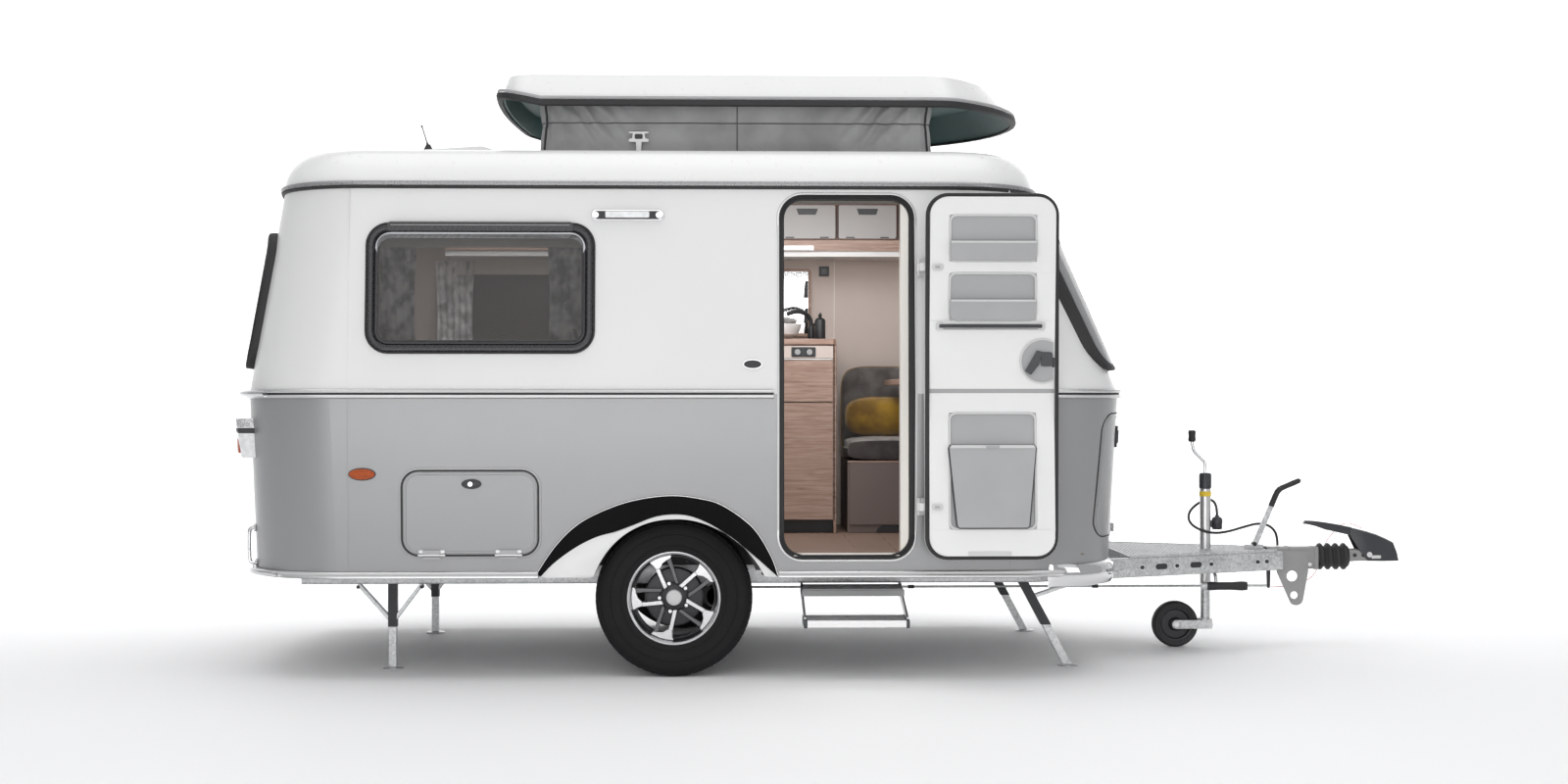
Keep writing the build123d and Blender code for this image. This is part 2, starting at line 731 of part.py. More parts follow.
def wheel_housings():
    """Half-round covers over the wheels, closed towards the cabin."""
    outer_y = wall_y(BOTTOM_Z) - WALL - FLOOR_CLEARANCE
    length = outer_y - HOUSING_INNER_Y
    middle = (outer_y + HOUSING_INNER_Y) / 2
    outer = disc_y(WHEEL_X, -middle, TYRE_R, HOUSING_R, length)
    inner = disc_y(WHEEL_X, -middle - HOUSING_WALL, TYRE_R, HOUSING_R - HOUSING_WALL, length)
    cover = (outer - inner) & box(-FAR, FAR, -FAR, FAR, BOTTOM_Z, FAR)
    save("wheel_housings", mirrored_pair(cover))


def fenders():
    """Painted arch panels that close the wall down to the tyre."""
    proud = lower_block(FENDER_PROUD) - lower_block(FENDER_PROUD - FENDER_THICK)
    plate = proud & arch_prism(0)
    skirt = extrude(arch_face(0), amount=PLAN_HALF)
    skirt &= box(-FAR, FAR, -FAR, 0, SILL_RAIL_LOW_Z, BOTTOM_Z)
    outer_y = wall_y(BOTTOM_Z) + FENDER_PROUD
    skirt &= box(-FAR, FAR, -outer_y, -outer_y + FENDER_THICK, 0, FAR)
    wheel_hole = disc_y(WHEEL_X, -PLAN_HALF, TYRE_R, ARCH_LIP_R, 2 * PLAN_HALF)
    fender = (plate + skirt) - wheel_hole
    save("wheel_arch_panels", mirrored_pair(fender))


def ring(level, proud, z0, z1, clearance):
    """Rail round the body: a strip that lies on the skin at one of its levels."""
    outer = extrude(make_face(body_outline(level, proud)), amount=z1 - z0)
    inner = extrude(make_face(body_outline(level, clearance)), amount=z1 - z0)
    return Pos(0, 0, z0) * (outer - inner)


def rails():
    belt = ring("belt", RAIL_PROUD, BELT_Z - BELT_RAIL_HEIGHT / 2, BELT_Z + BELT_RAIL_HEIGHT / 2, 0)
    belt -= box(DOOR_REAR_X - RAIL_DOOR_MARGIN, HINGE_X + RAIL_DOOR_MARGIN, -FAR, 0, 0, FAR)
    gutter = ring("gutter", GUTTER_RAIL_PROUD, GUTTER_Z, GUTTER_Z + GUTTER_RAIL_HEIGHT, 0)
    sill = ring("bottom", RAIL_PROUD, SILL_RAIL_LOW_Z, BOTTOM_Z - SEAT_GAP, -WALL)
    arch = arch_prism(FENDER_CLEARANCE)
    sill -= [arch, arch.mirror(Plane.XZ), *nose_beams(RAIL_WIDTH + 2 * BEAM_NOTCH_CLEARANCE)]
    save("body_rails", Compound(children=[*belt.solids(), *gutter.solids(), *sill.solids()]))


def roof_block(grow, top):
    """Solid under the roof skin with its round shoulder."""
    rear = GUTTER_REAR_X - grow
    front = GUTTER_FRONT_X + grow
    half = GUTTER_HALF_WIDTH + grow
    bow = END_BOW_R + grow
    corner = CORNER_R + grow
    plan = outline(rear, front, half, bow, bow, corner, corner)
    block = Pos(0, 0, GUTTER_Z) * extrude(make_face(plan), amount=top - GUTTER_Z)
    upper_edges = block.edges().group_by(Axis.Z)[-1]
    return fillet(upper_edges, min(ROOF_SHOULDER_R + grow, top - GUTTER_Z - 1))


def pop_face(grow):
    centre_x = (POP_REAR_X + POP_FRONT_X) / 2
    length = POP_FRONT_X - POP_REAR_X
    rect = RectangleRounded(length + 2 * grow, 2 * (POP_HALF_WIDTH + grow), POP_CORNER_R + grow)
    return Pos(centre_x, 0) * rect


def roof():
    """Roof skin with the pop-top opening and the hump behind it."""
    hump_points = [(HUMP_REAR_X, ROOF_TOP_Z - ROOF_SKIN), (HUMP_REAR_X, ROOF_TOP_Z),
                   (HUMP_CREST_X, HUMP_CREST_Z), (HUMP_FRONT_X, ROOF_TOP_Z),
                   (HUMP_FRONT_X, ROOF_TOP_Z - ROOF_SKIN)]
    face = make_face(Wire.make_polygon([Vector(x, 0, z) for x, z in hump_points]))
    hump = extrude(face, amount=HUMP_HALF_WIDTH, dir=(0, 1, 0), both=True)
    hollow = extrude(Pos(0, 0, GUTTER_Z) * pop_face(-FABRIC_THICK - POP_CURB), amount=FAR)
    skin = roof_block(0, ROOF_TOP_Z) - roof_block(-ROOF_SKIN, ROOF_TOP_Z - ROOF_SKIN)
    save("roof_shell", skin + hump - hollow)


def lid_outline(inset, top):
    """Plan outline of the lid at its rim or at its top."""
    if top:
        return outline(LID_TOP_REAR_X + inset, LID_TOP_FRONT_X - inset, LID_TOP_HALF_WIDTH - inset,
                       LID_REAR_BOW_R, LID_FRONT_BOW_R, LID_REAR_CORNER_R, LID_FRONT_CORNER_R)
    return outline(LID_REAR_X + inset, LID_FRONT_X - inset, LID_HALF_WIDTH - inset,
                   LID_REAR_BOW_R, LID_FRONT_BOW_R, LID_REAR_CORNER_R, LID_FRONT_CORNER_R)


def pop_top():
    """Fabric wall and the lid above it."""
    def block(inset, low, high):
        rim = lid_outline(inset, False).moved(Location((0, 0, low)))
        crown = lid_outline(inset, True).moved(Location((0, 0, high)))
        return Solid.make_loft([rim, crown], ruled=True)

    lid = block(0, LID_RIM_Z, LID_TOP_Z) - block(LID_WALL, LID_RIM_Z, LID_TOP_Z - LID_WALL)
    sweep_points = [(LID_REAR_X - LID_WALL, LID_RIM_Z - 1), (LID_SWEEP_X, LID_RIM_Z - 1),
                    (LID_SWEEP_X, LID_RIM_Z), (LID_REAR_X, LID_RIM_Z + LID_SWEEP_RISE),
                    (LID_REAR_X - LID_WALL, LID_RIM_Z + LID_SWEEP_RISE)]
    face = make_face(Wire.make_polygon([Vector(x, 0, z) for x, z in sweep_points]))
    lid -= extrude(face, amount=PLAN_HALF, dir=(0, 1, 0), both=True)
    save("pop_top_lid", lid)
    low = ROOF_TOP_Z + FABRIC_CLEARANCE
    high = LID_TOP_Z - LID_WALL - FABRIC_CLEARANCE
    sheet = pop_face(0) - pop_face(-FABRIC_THICK)
    save("pop_top_fabric", Pos(0, 0, low) * extrude(sheet, amount=high - low))


def latches():
    """Roof latches beside the fabric, one on each side."""
    latch = Part()
    for half_length, half_width, low, high in LATCH_BLOCKS:
        latch += box(LATCH_X - half_length, LATCH_X + half_length, -LATCH_Y - half_width,
                     -LATCH_Y + half_width, ROOF_TOP_Z + low, ROOF_TOP_Z + high)
    save("roof_latches", mirrored_pair(latch))


def half_turn(shape):
    """The door's pieces turned from closed to open about the hinge line."""
    return Pos(HINGE_X, HINGE_Y, 0) * Rot(0, 0, 180) * Pos(-HINGE_X, -HINGE_Y, 0) * shape


def door():
    """Frame on the body, and the leaf with its inner panel and hinges."""
    rebate = door_prism(DOOR_GAP)
    hole = door_prism(DOOR_GAP + DOOR_FRAME_LINING)
    clear = door_prism(-DOOR_OVERLAP)
    lining = cut_layer(0, WALL, hole - rebate)
    lip = cut_layer(DOOR_SKIN + DOOR_GAP, WALL, rebate - clear)
    flange = cut_layer(-DOOR_FLANGE_THICK, 0, door_prism(DOOR_FRAME_FLANGE) - rebate)
    fixed, moving = hinges()
    save("door_frame", Part() + lining + lip + flange + fixed)

    core = door_prism(-DOOR_OVERLAP - DOOR_GAP)
    skin = cut_layer(0, DOOR_SKIN, door_prism(0))
    body = cut_layer(DOOR_SKIN, DOOR_THICK, core)
    save("door_leaf", half_turn(Part() + skin + body) + moving)
    save("door_inner_panel", half_turn(door_panel(core)))


# Pockets on the leaf's inner face. columns: half width, low z, high z, how far it stands out
DOOR_POCKETS = (
    (168.0, 1610.0, 1700.0, 30.0),
    (168.0, 1382.0, 1470.0, 30.0),
    (160.0, 585.0, 905.0, 26.0),
)
POCKET_CORNER_R = 18.0


def door_panel(core):
    """Thin moulded inner panel that carries the pockets and the bin."""
    panel_thick = 4.0
    pieces = cut_layer(DOOR_THICK, DOOR_THICK + panel_thick, core)
    centre_x = (DOOR_REAR_X + DOOR_FRONT_X) / 2
    for half_width, low, high, out in DOOR_POCKETS:
        prism = side_prism(centre_x - half_width, centre_x + half_width, low, high,
                           POCKET_CORNER_R, -1)
        inner = DOOR_THICK + panel_thick
        pieces += cut_layer(inner, inner + out, prism)
    return Part() + pieces


def hinges():
    """Two hinges: a fixed half with its pin on the body, and a moving half on the leaf."""
    fixed = Part()
    moving = Part()
    for z in HINGE_ZS:
        wall = -wall_y(z)
        pin = disc_z(HINGE_X, HINGE_Y, z - HINGE_HALF, z + HINGE_HALF, HINGE_PIN_R)
        fixed += pin
        for low, high in ((z - HINGE_HALF, z - HINGE_LEAF_HALF - HINGE_GAP),
                          (z + HINGE_LEAF_HALF + HINGE_GAP, z + HINGE_HALF)):
            fixed += disc_z(HINGE_X, HINGE_Y, low, high, HINGE_BARREL_R)
            fixed += box(HINGE_X, HINGE_X + HINGE_BRACKET, HINGE_Y - HINGE_BRACKET_HALF,
                         wall + HINGE_SINK, low, high)
        knuckle = disc_z(HINGE_X, HINGE_Y, z - HINGE_LEAF_HALF, z + HINGE_LEAF_HALF,
                         HINGE_BARREL_R)
        leaf_skin = 2 * HINGE_Y - wall
        arm = box(HINGE_X, HINGE_X + HINGE_ARM, leaf_skin + HINGE_ARM_OFF, HINGE_Y + HINGE_SINK,
                  z - HINGE_LEAF_HALF, z + HINGE_LEAF_HALF)
        arm += box(HINGE_X + HINGE_FOOT, HINGE_X + HINGE_ARM, leaf_skin - HINGE_SINK,
                   HINGE_Y, z - HINGE_LEAF_HALF, z + HINGE_LEAF_HALF)
        bore = disc_z(HINGE_X, HINGE_Y, z - HINGE_HALF, z + HINGE_HALF, HINGE_PIN_R + HINGE_PLAY)
        moving += (knuckle + arm) - bore
    return fixed - slab(0, WALL), moving


def windows():
    """Framed side windows and bowed end windows."""
    layer = upper_block(WINDOW_FRAME_PROUD) - upper_block(0)
    pane_out = WINDOW_FRAME_PROUD - PANE_THICK
    pane_layer = upper_block(pane_out) - upper_block(pane_out - PANE_THICK)
    outer = side_window_prism(0, -1)
    inner = side_window_prism(WINDOW_FRAME_WIDTH, -1)
    frames = layer & (outer - inner)
    panes = pane_layer & side_window_prism(WINDOW_FRAME_WIDTH + PANE_CLEARANCE, -1)
    all_frames = mirrored_pair(frames).solids()
    all_panes = mirrored_pair(panes).solids()
    pane_layer = upper_block(END_WINDOW_PROUD) - upper_block(END_WINDOW_PROUD - PANE_THICK)
    seal_layer = upper_block(END_WINDOW_PROUD - PANE_THICK) - upper_block(0)
    for sign in (1, -1):
        seal = end_window_prism(0, sign) - end_window_prism(END_SEAL_WIDTH, sign)
        all_frames += (seal_layer & seal).solids()
        all_panes += (pane_layer & end_window_prism(0, sign)).solids()
    save("window_frames", Compound(children=all_frames))
    save("window_panes", Compound(children=all_panes))


def hatches():
    """Service hatch and gas locker lid, each as thick as the wall."""
    lid = (lower_block(0) - lower_block(-WALL)) & hatch_prism(0)
    hinge_y = -wall_y(HATCH_LOW_Z) - HATCH_HINGE_OUT
    for x in hatch_hinge_xs():
        lid += disc_x(x - LID_HINGE_HALF, x + LID_HINGE_HALF, hinge_y, HATCH_HINGE_Z, LID_BARREL_R)
        lid += box(x - LID_HINGE_HALF, x + LID_HINGE_HALF, hinge_y - LID_BARREL_R,
                   -wall_y(HATCH_LOW_Z) + 4, HATCH_HINGE_Z, HATCH_LOW_Z + LID_HINGE_HALF / 2)
    save("service_hatch", lid)
    locker = (lower_block(0) - lower_block(-WALL)) & locker_prism(0)
    for y in LOCKER_HINGE_YS:
        locker += disc_y(LOCKER_HINGE_X, y, LOCKER_HINGE_Z, LID_BARREL_R, 2 * LID_HINGE_HALF)
        locker += box(BOTTOM_FRONT_X - 12, LOCKER_HINGE_X + LID_BARREL_R, y - LID_HINGE_HALF,
                      y + LID_HINGE_HALF, LOCKER_HINGE_Z, LOCKER_LOW_Z + LID_HINGE_HALF / 2)
    save("gas_locker_lid", locker - lower_block(-WALL))


def hatch_hinge_xs():
    """Middles of the service hatch's two hinges."""
    return HATCH_REAR_X + HATCH_HINGE_INSET, HATCH_FRONT_X - HATCH_HINGE_INSET


def hinge_seats():
    """Fixed halves of the two lids' hinges, on the wall just under each barrel."""
    hinge_y = -wall_y(HATCH_LOW_Z) - HATCH_HINGE_OUT
    top = HATCH_HINGE_Z - LID_BARREL_R - SEAT_GAP
    hatch = [box(x - LID_HINGE_HALF, x + LID_HINGE_HALF, hinge_y - LID_BARREL_R,
                 -wall_y(HATCH_LOW_Z) + WALL / 2, top - LID_SEAT_THICK, top)
             for x in hatch_hinge_xs()]
    top = LOCKER_HINGE_Z - LID_BARREL_R - SEAT_GAP
    locker = [box(BOTTOM_FRONT_X - WALL / 2 - 8, LOCKER_HINGE_X + LID_BARREL_R, y - LID_HINGE_HALF,
                  y + LID_HINGE_HALF, top - LID_SEAT_THICK, top)
              for y in LOCKER_HINGE_YS]
    return hatch, locker


def wheel(side):
    """Tyre, rim and brake drum of one wheel. side is -1 on the door side."""
    name = "right" if side < 0 else "left"
    half = TYRE_WIDTH / 2
    with BuildSketch(Plane.YZ) as section:
        with Locations((0, (TYRE_R + TYRE_BEAD_R + RIM_CLEARANCE) / 2)):
            RectangleRounded(TYRE_WIDTH, TYRE_R - TYRE_BEAD_R - RIM_CLEARANCE, TYRE_SHOULDER_R)
    tyre = revolve(section.sketch, Axis.Y)
    tyre -= Rot(90, 0, 0) * Cylinder(TYRE_BEAD_R + RIM_CLEARANCE, TYRE_WIDTH)
    place = Pos(WHEEL_X, side * WHEEL_Y, TYRE_R)
    save(f"tyre_{name}", place * tyre)

    barrel_outer = Rot(90, 0, 0) * Cylinder(TYRE_BEAD_R, TYRE_WIDTH - TYRE_SHOULDER_R)
    barrel_inner = Rot(90, 0, 0) * Cylinder(TYRE_BEAD_R - RIM_BARREL, TYRE_WIDTH)
    rim = barrel_outer - barrel_inner
    face_y = side * (half - SPOKE_INSET)
    for edge in (-1, 1):
        lip_y = edge * (half - TYRE_SHOULDER_R / 2 - RIM_LIP_WIDTH / 2 + RIM_LIP_OFFSET)
        lip = disc_y(0, lip_y, 0, TYRE_BEAD_R, RIM_LIP_WIDTH)
        rim += lip - disc_y(0, lip_y, 0, TYRE_BEAD_R - RIM_BARREL, RIM_LIP_WIDTH)
    rim += disc_y(0, face_y - side * HUB_OFFSET, 0, HUB_R, SPOKE_THICK + HUB_EXTRA)
    for index in range(SPOKE_COUNT):
        inner = HUB_R - SPOKE_ROOT_OVERLAP
        outer = TYRE_BEAD_R - RIM_BARREL / 2
        points = [(inner, -SPOKE_ROOT_WIDTH / 2), (outer, -SPOKE_TIP_WIDTH / 2 + SPOKE_SKEW),
                  (outer, SPOKE_TIP_WIDTH / 2), (inner, SPOKE_ROOT_WIDTH / 2 - SPOKE_ROOT_SKEW)]
        wire = Wire.make_polygon([Vector(x, 0, z) for x, z in points])
        spoke = extrude(make_face(wire), amount=SPOKE_THICK / 2, dir=(0, 1, 0), both=True)
        turn = FIRST_SPOKE_ANGLE + index * 360 / SPOKE_COUNT
        rim += Rot(0, turn, 0) * Pos(0, face_y, 0) * spoke
    rim &= Rot(90, 0, 0) * Cylinder(TYRE_BEAD_R, 2 * TYRE_WIDTH)
    drum_outer_y = face_y - side * (SPOKE_THICK / 2 + DRUM_OFFSET)
    hub_seat = drum_outer_y - side * DRUM_DEPTH / 2
    drum = disc_y(0, hub_seat, 0, DRUM_R, DRUM_DEPTH)
    bore = disc_y(0, hub_seat - side * DRUM_BACK, 0, STUB_R + STUB_PLAY, DRUM_DEPTH)
    save(f"rim_{name}", place * (rim + drum - bore))


def axle():
    """Axle tube with trailing arms and stub axles."""
    half = ARM_Y + ARM_THICK / 2
    beam = disc_y(AXLE_X, 0, AXLE_Z, AXLE_R, 2 * half)
    face_y = TYRE_WIDTH / 2 - SPOKE_INSET
    drum_inner_y = WHEEL_Y + face_y - SPOKE_THICK / 2 - DRUM_OFFSET - DRUM_DEPTH
    for side in (-1, 1):
        y = side * ARM_Y
        arm = bar([(AXLE_X, AXLE_Z), (WHEEL_X, TYRE_R)], 2 * ARM_HALF_HEIGHT, ARM_THICK, y)
        stub_length = drum_inner_y + DRUM_DEPTH - STUB_SHORT - ARM_Y
        stub = disc_y(WHEEL_X, side * (ARM_Y + stub_length / 2), TYRE_R, STUB_R, stub_length)
        beam = beam + arm + stub
    save("axle_beam", beam)


def chassis():
    """Straight rails under the floor, cross members and the drawbar's two beams."""
    frame = Part()
    height = BEAM_HIGH_Z - BEAM_LOW_Z
    middle_z = (BEAM_HIGH_Z + BEAM_LOW_Z) / 2
    for side in (-1, 1):
        frame += box(RAIL_REAR_X, KINK_X, side * RAIL_Y - RAIL_WIDTH / 2,
                     side * RAIL_Y + RAIL_WIDTH / 2, BEAM_LOW_Z, BEAM_HIGH_Z)
        frame += disc_z(KINK_X, side * RAIL_Y, BEAM_LOW_Z, BEAM_HIGH_Z, RAIL_WIDTH / 2)
        run = NOSE_X - KINK_X
        rise = RAIL_Y - NOSE_Y
        length = math.hypot(run, rise)
        turn = math.degrees(math.atan2(rise, run))
        beam = Rot(0, 0, -side * turn) * Box(length, RAIL_WIDTH, height)
        frame += Pos((KINK_X + NOSE_X) / 2, side * (RAIL_Y + NOSE_Y) / 2, middle_z) * beam
    for x in CROSS_XS:
        frame += box(x - CROSS_THICK / 2, x + CROSS_THICK / 2, -RAIL_Y, RAIL_Y, BEAM_LOW_Z,
                     BEAM_HIGH_Z)
    bridge_half = NOSE_Y + (NOSE_X - JOCKEY_X) * (RAIL_Y - NOSE_Y) / (NOSE_X - KINK_X)
    plate = box(JOCKEY_X - BRIDGE_HALF, JOCKEY_X + BRIDGE_HALF, -bridge_half, bridge_half,
                BEAM_LOW_Z, BEAM_LOW_Z + BRIDGE_THICK)
    plate -= disc_z(JOCKEY_X, 0, 0, FAR, JOCKEY_TUBE_R)
    frame += plate
    save("chassis_frame", frame)

    def half_at(x):
        """Half width across both beams."""
        return NOSE_Y + (NOSE_X - x) * (RAIL_Y - NOSE_Y) / (NOSE_X - KINK_X) + RAIL_WIDTH / 2

    corners = [(DECK_REAR_X, -half_at(DECK_REAR_X)), (DECK_FRONT_X, -half_at(DECK_FRONT_X)),
               (DECK_FRONT_X, half_at(DECK_FRONT_X)), (DECK_REAR_X, half_at(DECK_REAR_X))]
    deck = extrude(make_face(Wire.make_polygon([Vector(x, y, BEAM_HIGH_Z) for x, y in corners])),
                   amount=DECK_THICK, dir=(0, 0, 1))
    deck -= disc_z(JOCKEY_X, 0, 0, FAR, JOCKEY_TUBE_R + DECK_TUBE_GAP)
    room = HOUSING_BOX_HALF + DECK_HOUSING_GAP
    deck -= box(HOUSING_BOX_REAR_X - DECK_HOUSING_GAP, FAR, -room, room, 0, FAR)
    deck -= bar(HANDBRAKE_POINTS[:2], *DECK_LEVER_SLOT, HANDBRAKE_Y)
    save("drawbar_deck", deck)


def steadies():
    """Four legs with feet and braces under the chassis rails."""
    legs = []
    for side in (-1, 1):
        y = side * STEADY_Y
        for _, top_x, foot_x, knee_z, brace_xs in STEADIES:
            top_z = BEAM_LOW_Z - SEAT_GAP
            dx = foot_x - top_x
            length = math.hypot(dx, top_z)
            lean = math.degrees(math.atan2(dx, top_z))
            leg = Rot(0, -lean, 0) * Box(STEADY_TUBE, STEADY_TUBE, length + STEADY_OVERRUN)
            leg = Pos((top_x + foot_x) / 2, y, top_z / 2) * leg
            leg &= box(-FAR, FAR, -FAR, FAR, STEADY_FOOT_THICK / 2, top_z)
            foot = box(foot_x - STEADY_FOOT / 2, foot_x + STEADY_FOOT / 2, y - STEADY_FOOT / 2,
                       y + STEADY_FOOT / 2, 0, STEADY_FOOT_THICK)
            whole = leg + foot
            knee_x = foot_x + (top_x - foot_x) * knee_z / top_z
            for brace_x in brace_xs:
                link = bar([(knee_x, knee_z), (brace_x, top_z)], BRACE_THICK, STEADY_TUBE, y)
                whole += link & box(-FAR, FAR, -FAR, FAR, 0, top_z)
            legs += whole.solids()
    save("corner_steadies", Compound(children=legs))


def jockey():
    """Jockey wheel: clamped tube, swivelling leg with fork, wheel and crank."""
    tube = disc_z(JOCKEY_X, 0, JOCKEY_TUBE_LOW_Z, JOCKEY_TUBE_HIGH_Z,
                  JOCKEY_TUBE_R - SEAT_GAP)
    tube -= disc_z(JOCKEY_X, 0, JOCKEY_TUBE_LOW_Z, JOCKEY_TUBE_HIGH_Z - JOCKEY_CAP,
                   JOCKEY_TUBE_R - JOCKEY_TUBE_WALL)
    leg_r = JOCKEY_TUBE_R - JOCKEY_TUBE_WALL - JOCKEY_LEG_GAP
    leg = disc_z(JOCKEY_X, 0, JOCKEY_FORK_Z, JOCKEY_LEG_HIGH_Z, leg_r)
    gap = JOCKEY_WHEEL_WIDTH / 2 + JOCKEY_SIDE_GAP
    leg += box(JOCKEY_X - JOCKEY_BRIDGE_HALF, JOCKEY_X + JOCKEY_BRIDGE_HALF,
               -gap - JOCKEY_FORK_THICK, gap + JOCKEY_FORK_THICK,
               JOCKEY_FORK_Z - JOCKEY_BRIDGE_DROP, JOCKEY_FORK_Z + JOCKEY_FORK_THICK)
    for side in (-1, 1):
        y = side * (gap + JOCKEY_FORK_THICK / 2)
        leg += bar([(JOCKEY_X, JOCKEY_WHEEL_R), (JOCKEY_WHEEL_X, JOCKEY_WHEEL_R)],
                   JOCKEY_ARM_WIDTH, JOCKEY_FORK_THICK, y)
    leg += disc_y(JOCKEY_WHEEL_X, 0, JOCKEY_WHEEL_R, JOCKEY_AXLE_R,
                  2 * gap + JOCKEY_AXLE_OVER)
    save("jockey_leg", leg)
    tread = disc_y(JOCKEY_WHEEL_X, 0, JOCKEY_WHEEL_R, JOCKEY_WHEEL_R, JOCKEY_WHEEL_WIDTH)
    tread = fillet(tread.edges().filter_by(GeomType.CIRCLE), JOCKEY_TREAD_R)
    tread -= disc_y(JOCKEY_WHEEL_X, 0, JOCKEY_WHEEL_R, JOCKEY_AXLE_R + JOCKEY_PLAY, FAR)
    save("jockey_wheel", tread)
    crank = disc_z(JOCKEY_X, 0, JOCKEY_TUBE_HIGH_Z, COLLAR_HIGH_Z, COLLAR_R)
    for (x0, z0), (x1, z1) in zip(CRANK_POINTS, CRANK_POINTS[1:]):
        crank += rod((x0, 0, z0), (x1, 0, z1), CRANK_R)
        crank += Pos(x1, 0, z1) * Sphere(CRANK_R)
    grip_x, grip_z = CRANK_POINTS[-1]
    crank += disc_z(grip_x, 0, grip_z, CRANK_GRIP_HIGH_Z, CRANK_GRIP_R)
    plug_x, _, plug_z = LEAD_POINTS[-1]
    crank += box(JOCKEY_X + JOCKEY_TUBE_R - PLUG_REST_SINK, plug_x - PLUG_R - SEAT_GAP,
                 -PLUG_REST_HALF, PLUG_REST_HALF, plug_z - PLUG_LENGTH + PLUG_REST_LOW,
                 plug_z - PLUG_LENGTH + PLUG_REST_HIGH)
    save("jockey_tube", tube + crank)


def coupling():
    """Overrun housing, boot, ball coupling with lever, eye plate and handbrake."""
    housing = box(HOUSING_BOX_REAR_X, HOUSING_BOX_FRONT_X, -HOUSING_BOX_HALF, HOUSING_BOX_HALF,
                  HOUSING_BOX_LOW_Z, HOUSING_BOX_HIGH_Z)
    housing += disc_x(HOUSING_BOX_FRONT_X, SHAFT_FRONT_X, 0, BALL_Z, SHAFT_R)
    boot = Part()
    pitch = (BOOT_FRONT_X - HOUSING_BOX_FRONT_X) / BOOT_RIBS
    for index in range(BOOT_RIBS):
        x0 = HOUSING_BOX_FRONT_X + index * pitch
        boot += disc_x(x0, x0 + pitch, 0, BALL_Z, BOOT_R - BOOT_VALLEY)
        boot += disc_x(x0 + pitch * BOOT_RIB_FROM, x0 + pitch * BOOT_RIB_TO, 0, BALL_Z, BOOT_R)
    boot -= disc_x(0, FAR, 0, BALL_Z, SHAFT_R + SEAT_GAP)
    save("overrun_boot", boot)

    wall = BALL_R + SOCKET_CLEARANCE
    head = box(BOOT_FRONT_X, BALL_X, -COUPLING_HALF_WIDTH, COUPLING_HALF_WIDTH,
               BALL_Z - HEAD_LOW, BALL_Z + HEAD_HIGH)
    head += disc_z(BALL_X, 0, BALL_Z - HEAD_LOW, BALL_Z + SOCKET_HIGH, BALL_R + COUPLING_WALL)
    head -= disc_x(BOOT_FRONT_X, SHAFT_FRONT_X, 0, BALL_Z, SHAFT_R + SEAT_GAP)
    head -= disc_z(BALL_X, 0, BALL_Z - SOCKET_DEPTH, BALL_Z + SOCKET_RISE, wall)
    head -= Pos(BALL_X, 0, BALL_Z + SOCKET_RISE) * Sphere(wall)
    save("coupling_head", head)
    handle = xz_plate(LEVER_HANDLE, -LEVER_HALF, LEVER_HALF)
    hood = xz_plate(LEVER_HOOD, -HOOD_HALF, HOOD_HALF)
    hood -= xz_plate(LEVER_HOLLOW, -HOOD_INNER, HOOD_INNER)
    for side in (-1, 1):
        near = COUPLING_HALF_WIDTH + SEAT_GAP
        hood += disc_y(LEVER_PIVOT_X, side * (near + HOOD_HALF) / 2, LEVER_PIVOT_Z, LEVER_PIVOT_R,
                       HOOD_HALF - near)
    save("coupling_lever", handle + hood)

    plate = xz_plate(EYE_PLATE_POINTS, EYE_PLATE_Y, EYE_PLATE_Y + EYE_PLATE_THICK)
    for x, z, radius in (EYE_HOLE, EYE_HOLE_LOW):
        plate -= disc_y(x, EYE_PLATE_Y, z, radius, FAR)
    tab = box(EYE_PLATE_REAR_X, EYE_PLATE_FRONT_X, EYE_PLATE_Y, -HOUSING_BOX_HALF,
              EYE_PLATE_TOP_Z, EYE_TAB_TOP_Z)
    arm = box(HOUSING_BOX_REAR_X, HOUSING_BOX_REAR_X + BRAKE_ARM_LENGTH,
              BRAKE_ROD_Y - BRAKE_ARM_HALF, BRAKE_ROD_Y + BRAKE_ARM_HALF,
              BRAKE_ROD_Z - BRAKE_ARM_DROP, HOUSING_BOX_LOW_Z)
    save("overrun_housing", (housing + tab - nose_beams(RAIL_WIDTH)) + plate + arm)

    brake = bar(HANDBRAKE_POINTS[:3], HANDBRAKE_BLADE, HANDBRAKE_WIDTH, HANDBRAKE_Y)
    brake += box(HANDBRAKE_BASE_REAR_X, HANDBRAKE_BASE_FRONT_X, HANDBRAKE_Y - HANDBRAKE_BASE_HALF,
                 HANDBRAKE_Y + HANDBRAKE_BASE_HALF, BEAM_HIGH_Z + DECK_THICK,
                 HANDBRAKE_BASE_HIGH_Z)
    x0, z0 = HANDBRAKE_POINTS[2]
    x1, z1 = HANDBRAKE_POINTS[3]
    brake += rod((x0, HANDBRAKE_Y, z0), (x1, HANDBRAKE_Y, z1), HANDBRAKE_GRIP_R)
    save("handbrake_lever", brake)
    drop = AXLE_Z - BRAKE_ROD_Z - BRAKE_ROD_R
    rod_start = AXLE_X + math.sqrt(AXLE_R ** 2 - drop ** 2) + SEAT_GAP
    save("brake_rod", disc_x(rod_start, HOUSING_BOX_REAR_X, BRAKE_ROD_Y, BRAKE_ROD_Z, BRAKE_ROD_R))


def nose_beams(width):
    """Room of that width along each drawbar beam, as high as it has to be."""
    run = NOSE_X - KINK_X
    rise = RAIL_Y - NOSE_Y
    turn = math.degrees(math.atan2(rise, run))
    beams = []
    for side in (-1, 1):
        beam = Rot(0, 0, -side * turn) * Box(math.hypot(run, rise), width, FAR)
        beams.append(Pos((KINK_X + NOSE_X) / 2, side * (RAIL_Y + NOSE_Y) / 2, 0) * beam)
    return beams


